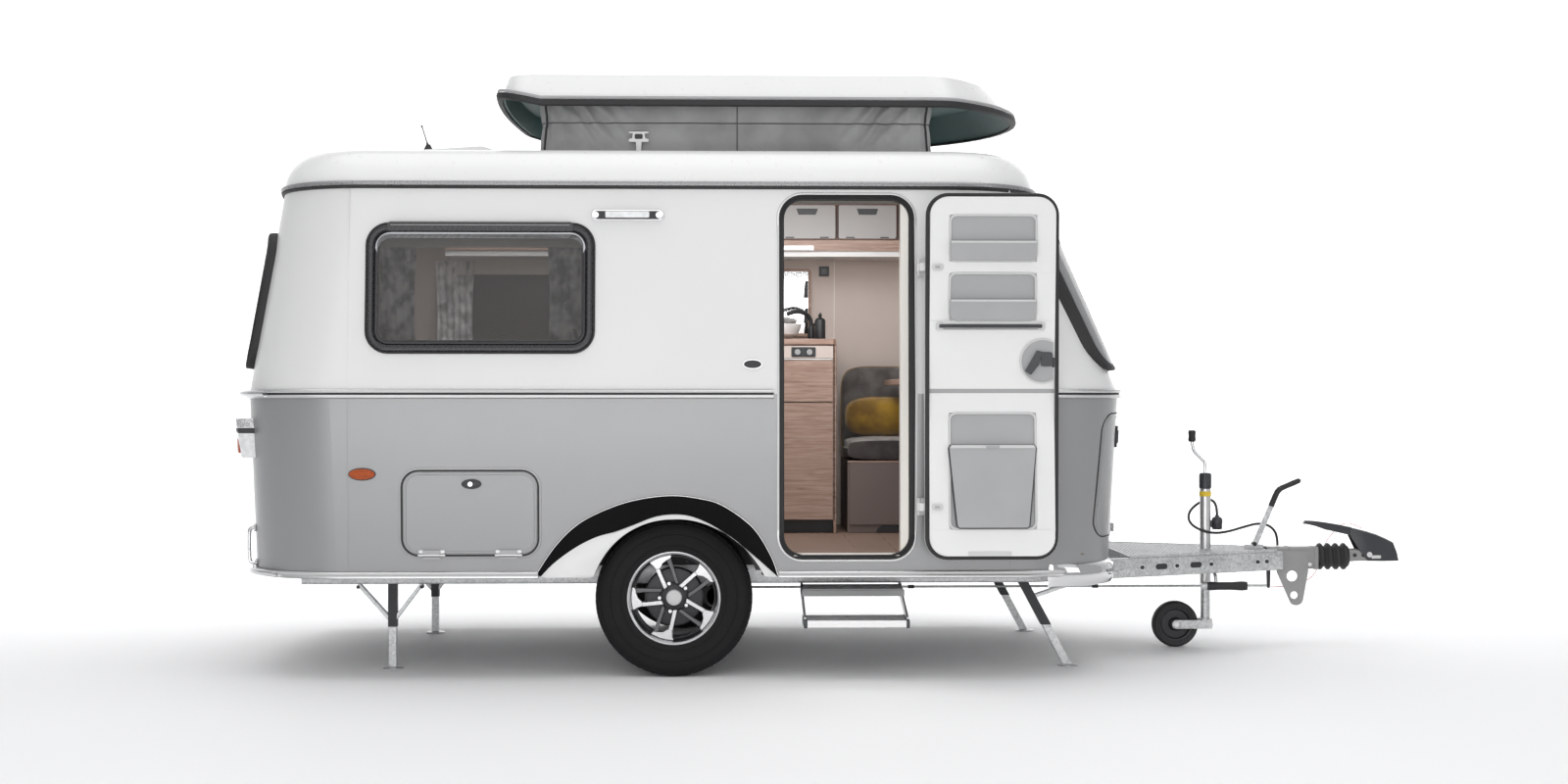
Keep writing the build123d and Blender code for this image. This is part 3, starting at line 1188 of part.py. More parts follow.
def step():
    """Double entry step that hangs from the chassis below the door."""
    pieces = Part()
    for y, z in ((STEP_UPPER_Y, STEP_UPPER_Z), (STEP_LOWER_Y, STEP_LOWER_Z)):
        pieces += box(STEP_REAR_X, STEP_FRONT_X, y, y + STEP_DEPTH, z - STEP_THICK, z)
    for x in (STEP_REAR_X, STEP_FRONT_X - STEP_CHEEK):
        pieces += box(x, x + STEP_CHEEK, STEP_LOWER_Y + STEP_CHEEK_INSET,
                      STEP_UPPER_Y + STEP_DEPTH, STEP_LOWER_Z, STEP_UPPER_Z)
        pieces += box(x, x + STEP_CHEEK, -RAIL_Y - STEP_HANGER_OUT, -RAIL_Y + STEP_HANGER_IN,
                      STEP_UPPER_Z - STEP_THICK, BEAM_LOW_Z)
    save("entry_step", pieces)


def fittings():
    """Lamps, handles and aerial."""
    lamp = box(BELT_REAR_X, BELT_REAR_X + TAIL_LAMP_DEPTH, -TAIL_LAMP_Y - TAIL_LAMP_HALF_WIDTH,
               -TAIL_LAMP_Y + TAIL_LAMP_HALF_WIDTH, TAIL_LAMP_LOW_Z, TAIL_LAMP_HIGH_Z)
    lamp &= lower_block(TAIL_LAMP_OUT) - lower_block(0)
    save("tail_lamps", mirrored_pair(lamp))
    marker = Plane.XZ * Pos(MARKER_X, MARKER_Z) * Ellipse(MARKER_LENGTH / 2, MARKER_HEIGHT / 2)
    marker = extrude(marker, amount=PLAN_HALF) & (lower_block(MARKER_PROUD) - lower_block(0))
    save("side_markers", mirrored_pair(marker))
    lamp = side_prism(PORCH_LAMP_REAR_X, PORCH_LAMP_FRONT_X, PORCH_LAMP_Z - PORCH_LAMP_HEIGHT / 2,
                      PORCH_LAMP_Z + PORCH_LAMP_HEIGHT / 2, 20, -1)
    save("porch_lamp", lamp & (upper_block(PORCH_LAMP_PROUD) - upper_block(0)))
    mast_low = ROOF_TOP_Z + AERIAL_MAST_LOW
    base = disc_z(AERIAL_X, AERIAL_Y, ROOF_TOP_Z, ROOF_TOP_Z + AERIAL_BASE_HEIGHT, AERIAL_BASE_R)
    tip = (AERIAL_X + AERIAL_LENGTH * math.sin(math.radians(AERIAL_LEAN)), AERIAL_Y,
           mast_low + AERIAL_LENGTH)
    mast = rod((AERIAL_X, AERIAL_Y, mast_low), tip, AERIAL_R)
    hump_share = (AERIAL_X - HUMP_REAR_X) / (HUMP_CREST_X - HUMP_REAR_X)
    hump_z = ROOF_TOP_Z + hump_share * (HUMP_CREST_Z - ROOF_TOP_Z)
    base &= box(-FAR, FAR, -FAR, FAR, hump_z + AERIAL_ROOF_GAP, FAR)
    save("aerial", base + mast)
    handle = Part()
    for z in (GRAB_LOW_Z, GRAB_HIGH_Z):
        handle += disc_x(GRAB_STUB_REAR_X, GRAB_STUB_FRONT_X, -GRAB_Y, z, GRAB_R)
    handle &= lower_block(GRAB_OUT) - lower_block(0)
    handle += rod((GRAB_BAR_X, -GRAB_Y, GRAB_LOW_Z), (GRAB_BAR_X, -GRAB_Y, GRAB_HIGH_Z), GRAB_R)
    save("grab_handles", mirrored_pair(handle))


def furniture():
    """Kitchen, dinette, bed, wall lockers and curtains that show through door and windows."""
    floor_z = FLOOR_TOP_Z
    shell = box(KITCHEN_REAR_X, KITCHEN_FRONT_X, KITCHEN_FACE_Y, KITCHEN_BACK_Y, floor_z,
                KITCHEN_TOP_Z - WORKTOP_THICK)
    shell -= box(KITCHEN_REAR_X - 1, KITCHEN_FRONT_X + 1, KITCHEN_FACE_Y - 1,
                 KITCHEN_FACE_Y + TOE_INSET, floor_z, floor_z + TOE_HEIGHT)
    wheel_cover = disc_y(WHEEL_X, PLAN_HALF + HOUSING_INNER_Y - FURNITURE_CLEARANCE, TYRE_R,
                         HOUSING_R + FURNITURE_CLEARANCE, 2 * PLAN_HALF)
    save("kitchen_cabinet", shell - wheel_cover)
    worktop = box(KITCHEN_REAR_X, KITCHEN_FRONT_X + WORKTOP_END_OVER,
                  KITCHEN_FACE_Y - WORKTOP_FRONT_OVER, KITCHEN_BACK_Y,
                  KITCHEN_TOP_Z - WORKTOP_THICK, KITCHEN_TOP_Z)
    save("kitchen_worktop", worktop)
    bench = box(BENCH_REAR_X, BENCH_FRONT_X, BENCH_FACE_Y, BENCH_BACK_Y, floor_z, BENCH_TOP_Z)
    bench &= lower_block(-WALL - FURNITURE_CLEARANCE)
    seat = box(BENCH_REAR_X, BENCH_FRONT_X, BENCH_FACE_Y, BENCH_BACK_Y - BACKREST_THICK,
               BENCH_TOP_Z + SEAT_GAP, BENCH_TOP_Z + CUSHION_THICK)
    seat &= lower_block(-WALL - FURNITURE_CLEARANCE)
    back = box(BENCH_REAR_X, BENCH_FRONT_X - BACKREST_SHORT, BENCH_BACK_Y - BACKREST_THICK + SEAT_GAP,
               BENCH_BACK_Y, BENCH_TOP_Z + SEAT_GAP, BACKREST_TOP_Z)
    save("bench_cushions", Compound(children=[*seat.solids(), *back.solids()]))
    table = box(TABLE_REAR_X, TABLE_FRONT_X, TABLE_FACE_Y, TABLE_BACK_Y,
                TABLE_TOP_Z - TABLE_THICK, TABLE_TOP_Z)
    leg_x = (TABLE_REAR_X + TABLE_FRONT_X) / 2
    table += disc_z(leg_x, 0, floor_z, TABLE_TOP_Z - TABLE_THICK / 2, TABLE_LEG_R)
    save("dinette_table", table)
    pillow_z = BENCH_TOP_Z + CUSHION_THICK + SEAT_GAP
    pillow = box(PILLOW_REAR_X, PILLOW_FRONT_X, PILLOW_FACE_Y, PILLOW_FACE_Y + PILLOW_THICK,
                 pillow_z, pillow_z + PILLOW_HEIGHT)
    save("throw_pillow", pillow)
    bed = box(BED_REAR_X, BED_FRONT_X, -BED_HALF_WIDTH, BED_HALF_WIDTH, floor_z, BED_TOP_Z)
    bed &= lower_block(-WALL - FURNITURE_CLEARANCE)
    save("seat_boxes", Compound(children=[*bench.solids(), *bed.solids()]))
    mattress = box(BED_REAR_X, BED_FRONT_X, -BED_HALF_WIDTH, BED_HALF_WIDTH, BED_TOP_Z + SEAT_GAP,
                   BED_TOP_Z + MATTRESS_THICK)
    save("bed_mattress", mattress & lower_block(-WALL - FURNITURE_CLEARANCE))
    low = box(LOCKERS_REAR_X, LOCKERS_FRONT_X, LOCKERS_FACE_Y, FAR, LOCKERS_LOW_Z, GUTTER_Z)
    high = box(LOCKERS_REAR_X, LOCKERS_FRONT_X, LOCKERS_FACE_Y, LOCKERS_BACK_Y, GUTTER_Z,
               LOCKERS_HIGH_Z)
    save("wall_lockers", (low & upper_block(-WALL - SEAT_GAP)) + high)
    curtains = []
    outer_y = wall_y(CURTAIN_TOP_Z) - WALL - SEAT_GAP
    for rear in (SIDE_WINDOW_REAR_X, SIDE_WINDOW_FRONT_X - CURTAIN_WIDTH):
        piece = box(rear, rear + CURTAIN_WIDTH, -outer_y, -outer_y + CURTAIN_THICK, CURTAIN_LOW_Z,
                    CURTAIN_TOP_Z)
        curtains += [*piece.solids(), *piece.mirror(Plane.XZ).solids()]
    save("curtains", Compound(children=curtains))


def cord(name, points, radius):
    """Round cord along straight runs joined by tangent arcs as large as the runs allow."""
    corners = [Vector(*point) for point in points]
    radii = []
    for before, corner, after in zip(corners, corners[1:], corners[2:]):
        turn = (corner - before).get_angle(after - corner)
        run = min((corner - before).length, (after - corner).length)
        radii.append(0.45 * run / math.tan(math.radians(turn / 2)))
    path = FilletPolyline(*points, radius=radii)
    start = Plane(origin=points[0], z_dir=corners[1] - corners[0])
    tube = sweep(start * Circle(radius), path=path)
    expected = math.pi * radius ** 2 * path.length
    print(name, "length", round(path.length), "radii", [round(r) for r in radii],
          "volume ratio", round(tube.volume / expected, 4))
    save(name, tube)


def cords():
    """Connecting lead with its plug, and the breakaway cable."""
    cord("connecting_lead", LEAD_POINTS, LEAD_R)
    x, y, z = LEAD_POINTS[-1]
    save("lead_plug", disc_z(x, y, z - PLUG_LENGTH, z, PLUG_R))
    cord("breakaway_cable", SAFETY_POINTS, SAFETY_R)


def main():
    walls()
    floor()
    wheel_housings()
    fenders()
    rails()
    roof()
    pop_top()
    latches()
    door()
    windows()
    hatches()
    for side in (-1, 1):
        wheel(side)
    axle()
    chassis()
    steadies()
    jockey()
    coupling()
    step()
    fittings()
    furniture()
    cords()


main()
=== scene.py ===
import math

import bmesh
import bpy
import numpy as np
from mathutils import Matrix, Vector, noise


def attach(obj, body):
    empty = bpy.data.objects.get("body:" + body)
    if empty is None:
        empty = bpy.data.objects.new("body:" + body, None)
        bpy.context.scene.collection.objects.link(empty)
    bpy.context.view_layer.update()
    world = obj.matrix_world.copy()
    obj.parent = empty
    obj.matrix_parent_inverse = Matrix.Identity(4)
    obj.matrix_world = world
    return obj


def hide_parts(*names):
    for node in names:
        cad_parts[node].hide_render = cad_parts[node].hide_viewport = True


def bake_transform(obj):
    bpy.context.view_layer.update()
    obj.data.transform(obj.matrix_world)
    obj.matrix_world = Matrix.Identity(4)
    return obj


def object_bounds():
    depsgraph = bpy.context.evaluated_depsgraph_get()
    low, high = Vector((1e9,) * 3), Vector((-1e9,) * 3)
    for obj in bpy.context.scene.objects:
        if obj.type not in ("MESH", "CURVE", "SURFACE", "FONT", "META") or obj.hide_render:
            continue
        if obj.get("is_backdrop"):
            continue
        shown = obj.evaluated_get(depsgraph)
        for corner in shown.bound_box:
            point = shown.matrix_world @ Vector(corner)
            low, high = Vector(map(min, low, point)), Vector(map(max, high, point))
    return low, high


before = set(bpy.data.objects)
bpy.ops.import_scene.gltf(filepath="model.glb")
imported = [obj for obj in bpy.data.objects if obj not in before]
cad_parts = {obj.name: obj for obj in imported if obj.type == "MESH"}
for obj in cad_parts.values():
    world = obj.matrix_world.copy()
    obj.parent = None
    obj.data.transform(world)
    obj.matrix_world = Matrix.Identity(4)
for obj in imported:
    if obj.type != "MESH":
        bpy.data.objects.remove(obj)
cad_low, cad_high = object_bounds()

# Touring caravan. The tables below are in millimetres in the ground frame: x forward, z up from
# the ground, y 0 on the centre plane. row() moves a point into the row frame, in metres.
BALL_X = 2360
BALL_Z = 392
BOTTOM_Z = 420
BELT_Z = 1103
GUTTER_Z = 1900
# columns: level, z, rear tip x, front tip x, half width
LEVELS = {
    "bottom": (BOTTOM_Z, -2440, 1110, 965),
    "belt": (BELT_Z, -2470, 1150, 1000),
    "gutter": (GUTTER_Z, -2330, 800, 940),
}
END_BOW_R = 3000
CORNER_R = 380
MIDDLE_X = -650


def row(x, y, z):
    return ((x - BALL_X) / 1000, y / 1000, (z - BALL_Z) / 1000)


# Materials
def new_tree(name):
    made = bpy.data.materials.new(name)
    made.use_nodes = True
    tree = made.node_tree
    shader = tree.nodes["Principled BSDF"]
    return made, tree, shader


def texture(tree, kind, vector, **values):
    node = tree.nodes.new(kind)
    for key, value in values.items():
        if key in node.inputs:
            node.inputs[key].default_value = value
        else:
            setattr(node, key, value)
    tree.links.new(vector, node.inputs["Vector"])
    return node


def coordinates(tree, stretch=(1, 1, 1), turn=(0, 0, 0)):
    source = tree.nodes.new("ShaderNodeTexCoord")
    mapping = tree.nodes.new("ShaderNodeMapping")
    mapping.inputs["Scale"].default_value = stretch
    mapping.inputs["Rotation"].default_value = turn
    tree.links.new(source.outputs["Object"], mapping.inputs["Vector"])
    return mapping.outputs["Vector"]


def ramp(tree, source, stops):
    node = tree.nodes.new("ShaderNodeValToRGB")
    elements = node.color_ramp.elements
    while len(elements) < len(stops):
        elements.new(0.5)
    for element, (place, color) in zip(elements, stops):
        element.position = place
        element.color = (*color, 1)
    tree.links.new(source, node.inputs["Fac"])
    return node.outputs["Color"]


def map_range(tree, source, low, high, from_low=0.3, from_high=0.7):
    node = tree.nodes.new("ShaderNodeMapRange")
    node.inputs["From Min"].default_value = from_low
    node.inputs["From Max"].default_value = from_high
    node.inputs["To Min"].default_value = low
    node.inputs["To Max"].default_value = high
    tree.links.new(source, node.inputs["Value"])
    return node.outputs["Result"]


def add_bump(tree, shader, source, strength, distance=0.001):
    node = tree.nodes.new("ShaderNodeBump")
    node.inputs["Strength"].default_value = strength
    node.inputs["Distance"].default_value = distance
    tree.links.new(source, node.inputs["Height"])
    tree.links.new(node.outputs["Normal"], shader.inputs["Normal"])


def finish_of(name, color, rough=0.4, metal=0, spread=0.05, scale=3, fine=160, bump=0.05,
              coat=0, stretch=(1, 1, 1), alpha=1, vary=0.06, specular=0.5):
    """Procedural finish: broad shifts of colour, fine shifts of gloss and a slight bump."""
    made, tree, shader = new_tree(name)
    vector = coordinates(tree, stretch)
    broad = texture(tree, "ShaderNodeTexNoise", vector, Scale=scale, Detail=4)
    small = texture(tree, "ShaderNodeTexNoise", vector, Scale=fine, Detail=3)
    dark = tuple(max(c * (1 - spread), 0) for c in color)
    light = tuple(min(c * (1 + spread), 1) for c in color)
    tree.links.new(ramp(tree, broad.outputs["Fac"], [(0.35, dark), (0.65, light)]),
                   shader.inputs["Base Color"])
    tree.links.new(map_range(tree, small.outputs["Fac"], max(rough - vary, 0.02), rough + vary),
                   shader.inputs["Roughness"])
    if bump:
        add_bump(tree, shader, small.outputs["Fac"], bump)
    shader.inputs["Metallic"].default_value = metal
    shader.inputs["Coat Weight"].default_value = coat
    shader.inputs["Coat Roughness"].default_value = 0.12
    shader.inputs["Specular IOR Level"].default_value = specular
    shader.inputs["Alpha"].default_value = alpha
    return made


def wood_of(name, dark, mid, light, rough=0.42, upright=False):
    """Wood grain that runs along x, or along z when upright."""
    made, tree, shader = new_tree(name)
    stretch = (26, 26, 1.6) if upright else (1.6, 26, 26)
    vector = coordinates(tree, stretch)
    grain = texture(tree, "ShaderNodeTexNoise", vector, Scale=3.2, Detail=8, Roughness=0.62,
                    Distortion=0.6)
    tree.links.new(ramp(tree, grain.outputs["Fac"], [(0.3, dark), (0.48, mid), (0.62, light),
                                                     (0.72, mid)]), shader.inputs["Base Color"])
    tree.links.new(map_range(tree, grain.outputs["Fac"], rough - 0.06, rough + 0.1),
                   shader.inputs["Roughness"])
    add_bump(tree, shader, grain.outputs["Fac"], 0.15)
    return made


def cloth_of(name, dark, light, weave=420, rough=0.85, depth=0.5, mottled=14, sheen=0.25):
    """Woven cloth: crossed waves for the threads over a mottled colour."""
    made, tree, shader = new_tree(name)
    vector = coordinates(tree)
    broad = texture(tree, "ShaderNodeTexNoise", vector, Scale=mottled, Detail=6)
    tree.links.new(ramp(tree, broad.outputs["Fac"], [(0.36, dark), (0.62, light)]),
                   shader.inputs["Base Color"])
    across = texture(tree, "ShaderNodeTexWave", vector, Scale=weave, bands_direction="X")
    along = texture(tree, "ShaderNodeTexWave", vector, Scale=weave, bands_direction="Z")
    both = tree.nodes.new("ShaderNodeMath")
    both.operation = "ADD"
    tree.links.new(across.outputs["Fac"], both.inputs[0])
    tree.links.new(along.outputs["Fac"], both.inputs[1])
    tree.links.new(map_range(tree, both.outputs[0], rough - 0.05, rough + 0.08, 0, 2),
                   shader.inputs["Roughness"])
    add_bump(tree, shader, both.outputs[0], depth, 0.0004)
    shader.inputs["Sheen Weight"].default_value = sheen
    return made


def spangle_of(name, dark, light, scale=110, rough=0.38):
    """Hot-dip zinc: small crystal patches of slightly different grey."""
    made, tree, shader = new_tree(name)
    vector = coordinates(tree)
    cells = texture(tree, "ShaderNodeTexVoronoi", vector, Scale=scale)
    broad = texture(tree, "ShaderNodeTexNoise", vector, Scale=7, Detail=5)
    blend = tree.nodes.new("ShaderNodeMix")
    blend.data_type = "FLOAT"
    blend.inputs[0].default_value = 0.55
    tree.links.new(cells.outputs["Color"], blend.inputs[2])
    tree.links.new(broad.outputs["Fac"], blend.inputs[3])
    tree.links.new(ramp(tree, blend.outputs[0], [(0.3, dark), (0.7, light)]),
                   shader.inputs["Base Color"])
    tree.links.new(map_range(tree, blend.outputs[0], rough - 0.08, rough + 0.12),
                   shader.inputs["Roughness"])
    add_bump(tree, shader, cells.outputs["Distance"], 0.06)
    shader.inputs["Metallic"].default_value = 0.75
    return made


WHITE = finish_of("body_white", (0.7, 0.7, 0.695), 0.34, spread=0.012, coat=0.2, bump=0,
                  scale=1.2, fine=60, vary=0.03)
SILVER = finish_of("body_silver", (0.285, 0.287, 0.29), 0.36, metal=0.4, spread=0.03, coat=0.25,
                   bump=0, scale=1, fine=90, vary=0.03)
ROOF = finish_of("roof_white", (0.8, 0.8, 0.795), 0.3, spread=0.012, coat=0.3, bump=0,
                 scale=1, fine=40, vary=0.03)
ALU = finish_of("trim_aluminium", (0.6, 0.6, 0.6), 0.32, metal=0.85, spread=0.04, bump=0.03,
                stretch=(0.2, 0.2, 6), fine=220)
GALVANISED = spangle_of("galvanised", (0.42, 0.425, 0.43), (0.66, 0.665, 0.67))
CAST = finish_of("cast_zinc", (0.3, 0.3, 0.298), 0.5, metal=0.6, spread=0.12, bump=0.25, fine=300)
BLACK_STEEL = finish_of("black_steel", (0.025, 0.026, 0.028), 0.45, metal=0.1, bump=0.06)
RUBBER = finish_of("rubber", (0.018, 0.018, 0.019), 0.62, spread=0.15, bump=0.12, fine=500)
TYRE = finish_of("tyre_rubber", (0.008, 0.008, 0.0085), 0.75, spread=0.2, bump=0.2, fine=420,
                 specular=0.25)
RIM = finish_of("rim_polished", (0.5, 0.5, 0.51), 0.24, metal=0.95, spread=0.03, bump=0.02,
                fine=500)
RIM_MID = finish_of("rim_satin", (0.1, 0.1, 0.105), 0.35, metal=0.5, spread=0.06, bump=0.03)
GLOSS_BLACK = finish_of("gloss_black_trim", (0.02, 0.02, 0.022), 0.27, spread=0.05, bump=0.02)
# painted highlight: pale finish for the pane's top edge, where it catches the light from above
PANE_TOP_HIGHLIGHT = finish_of("pane_edge_painted_highlight", (0.62, 0.63, 0.66), 0.25, spread=0.05, bump=0.02)
PANE_BORDER = finish_of("printed_pane", (0.14, 0.14, 0.145), 0.16, spread=0.05, bump=0.02, coat=0.3)
FAR_GLASS = finish_of("tinted_glass_far", (0.05, 0.036, 0.03), 0.08, spread=0.05, bump=0, alpha=0.9)
# painted shadow: near-black finish for the band where the wheel arch's recess lies in shade
SHADOW = finish_of("arch_painted_shadow", (0.004, 0.004, 0.0045), 0.85, spread=0.2, bump=0.05,
    specular=0.15)
SEAM = finish_of("seam_thread", (0.09, 0.09, 0.092), 0.8, spread=0.1, bump=0.2, fine=700)
GUTTER = finish_of("gutter_trim", (0.3, 0.3, 0.305), 0.3, metal=0.5, spread=0.04, bump=0.02)
BOARD = finish_of("pale_board", (0.4, 0.385, 0.38), 0.5, spread=0.03, bump=0.03)
TAUPE = finish_of("taupe_board", (0.15, 0.115, 0.105), 0.5, spread=0.05, bump=0.06, fine=500)
RIM_DARK = finish_of("rim_dark", (0.022, 0.022, 0.024), 0.4, metal=0.2, spread=0.06, bump=0.03)
DARK = finish_of("dark_plastic", (0.03, 0.032, 0.037), 0.36, spread=0.08, bump=0.06, fine=380)
GREY = finish_of("grey_plastic", (0.36, 0.362, 0.366), 0.42, spread=0.05, bump=0.08, fine=420)
PALE_GREY = finish_of("pale_grey_plastic", (0.56, 0.56, 0.56), 0.4, spread=0.04, bump=0.06)
INNER_WHITE = finish_of("inner_white", (0.74, 0.74, 0.735), 0.42, spread=0.015, bump=0.05, fine=500)
GLASS = finish_of("tinted_glass", (0.03, 0.027, 0.025), 0.06, spread=0.05, bump=0, alpha=0.5,
                  vary=0.01, specular=0.45)
LINING = finish_of("wall_lining", (0.6, 0.52, 0.475), 0.6, spread=0.03, bump=0.1, fine=600)
CEILING = finish_of("ceiling_lining", (0.72, 0.69, 0.65), 0.7, spread=0.02, bump=0.1, fine=500)
LID_LINING = finish_of("lid_lining", (0.07, 0.14, 0.135), 0.55, spread=0.12, bump=0.15, fine=340)
CREAM = finish_of("cream_trim", (0.82, 0.79, 0.74), 0.45, spread=0.02, bump=0.03)
WOOD = wood_of("rosy_wood", (0.23, 0.13, 0.097), (0.35, 0.228, 0.176), (0.44, 0.31, 0.25))
WOOD_UP = wood_of("rosewood_frame", (0.05, 0.02, 0.012), (0.1, 0.045, 0.03), (0.16, 0.08, 0.05),
                  upright=True)
FLOOR_WOOD = wood_of("floor_wood", (0.14, 0.087, 0.065), (0.2, 0.132, 0.1), (0.25, 0.17, 0.135),
                     rough=0.5)
GREY_CLOTH = cloth_of("grey_cloth", (0.075, 0.066, 0.062), (0.135, 0.122, 0.115))
# painted shade: a darker copy of the seat cloth for the cushion's front face
SEAT_FRONT_SHADE_CLOTH = cloth_of("seat_cloth_painted_shade", (0.03, 0.026, 0.025), (0.055, 0.048, 0.046))
PALE_CLOTH = cloth_of("pale_seat_cloth", (0.2, 0.18, 0.17), (0.3, 0.275, 0.26))
MUSTARD = cloth_of("mustard_cloth", (0.14, 0.07, 0.003), (0.33, 0.185, 0.008), mottled=9,
                   depth=0.35, sheen=0.6)
CANVAS = cloth_of("canvas", (0.25, 0.25, 0.25), (0.34, 0.34, 0.34), weave=260, mottled=5,
                  depth=0.25)
CURTAIN = cloth_of("curtain_cloth", (0.3, 0.3, 0.31), (0.95, 0.95, 0.95), weave=300,
                   mottled=19, depth=0.3)
AMBER = finish_of("amber_lens", (0.36, 0.055, 0.001), 0.3, spread=0.12, scale=60, bump=0.15,
                  fine=220, specular=0.3)
RED_LENS = finish_of("red_lens", (0.35, 0.012, 0.012), 0.16, spread=0.12, scale=60, bump=0.15,
                     fine=220, coat=0.6)
CLEAR_LENS = finish_of("clear_lens", (0.72, 0.73, 0.74), 0.12, spread=0.1, scale=50, bump=0.2,
                       fine=240, coat=0.8)
CHROME = finish_of("chrome", (0.72, 0.72, 0.73), 0.1, metal=1, spread=0.03, bump=0.01)
SAFETY_RED = finish_of("red_cable", (0.42, 0.008, 0.006), 0.4, spread=0.15, bump=0.2, fine=900)
YELLOW = finish_of("yellow_band", (0.72, 0.5, 0.03), 0.5, spread=0.08, bump=0.1)
MIRROR = finish_of("mirror_glass", (0.7, 0.7, 0.7), 0.06, metal=1, spread=0.02, bump=0)

# The finish of each node that is carried over from the solids
CARRIED = (
    (WHITE, "upper_side_left upper_side_right upper_nose upper_rear wheel_arch_panels door_leaf"),
    (SILVER, "lower_side_left lower_side_right lower_nose lower_rear service_hatch gas_locker_lid"),
    (ROOF, "roof_shell pop_top_lid"),
    (RUBBER, "wheel_housings jockey_wheel overrun_boot connecting_lead"),
    (BLACK_STEEL, "floor_board axle_beam"),
    (ALU, "body_rails entry_step"),
    (GALVANISED, "chassis_frame drawbar_deck corner_steadies brake_rod jockey_tube jockey_leg"
     " handbrake_lever"),
    (CAST, "overrun_housing coupling_head"),
    (DARK, "coupling_lever window_frames aerial lead_plug"),
    (PALE_GREY, "door_frame"),
    (INNER_WHITE, "door_inner_panel roof_latches wall_lockers"),
    (GLASS, "window_panes"),
    (RED_LENS, "tail_lamps"),
    (AMBER, "side_markers"),
    (CLEAR_LENS, "porch_lamp"),
    (CHROME, "grab_handles"),
    (WOOD, "kitchen_cabinet kitchen_worktop dinette_table"),
    (LINING, "seat_boxes"),
    (GREY_CLOTH, "bench_cushions"),
    (MUSTARD, "throw_pillow"),
    (PALE_CLOTH, "bed_mattress"),
    (CURTAIN, "curtains"),
    (CANVAS, "pop_top_fabric"),
    (SAFETY_RED, "breakaway_cable"),
    (RIM, "rim_left rim_right"),
    (TYRE, "tyre_left tyre_right"),
)
for finish, names in CARRIED:
    for name in names.split():
        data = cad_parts[name].data
        data.materials.clear()
        data.materials.append(finish)


def mark_faces(node, finish, test):
    """Gives the faces of a carried node that pass the test a second finish."""
    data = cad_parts[node].data
    data.materials.append(finish)
    index = len(data.materials) - 1
    for face in data.polygons:
        if test(face.center, face.normal):
            face.material_index = index


def faces_cabin(centre, normal):
    """True on a wall's inner face, whose normal points to the cabin's middle."""
    to_middle = Vector((-3 - centre.x, -centre.y, 0))
    return abs(normal.z) < 0.9 and to_middle.normalized().dot(normal) > 0.25


for level in ("upper", "lower"):
    for part in ("side_left", "side_right", "nose", "rear"):
        mark_faces(level + "_" + part, LINING, faces_cabin)
mark_faces("roof_shell", CEILING, lambda centre, normal: normal.z < -0.3)
mark_faces("pop_top_lid", LID_LINING, lambda centre, normal: normal.z < -0.05)
mark_faces("window_panes", FAR_GLASS, lambda centre, normal: centre.y > 0.8)
# the door frame is black inside its opening, given here in row metres
OPENING_XS = (-2.6565, -2.1315)
OPENING_ZS = (0.0695, 1.4825)
mark_faces("door_frame", RUBBER, lambda centre, normal: OPENING_XS[0] < centre.x < OPENING_XS[1]
           and OPENING_ZS[0] < centre.z < OPENING_ZS[1])
mark_faces("floor_board", FLOOR_WOOD, lambda centre, normal: normal.z > 0.5)


def put(name, data):
    """New object, linked into the scene."""
    made = bpy.data.objects.new(name, data)
    bpy.context.scene.collection.objects.link(made)
    return made


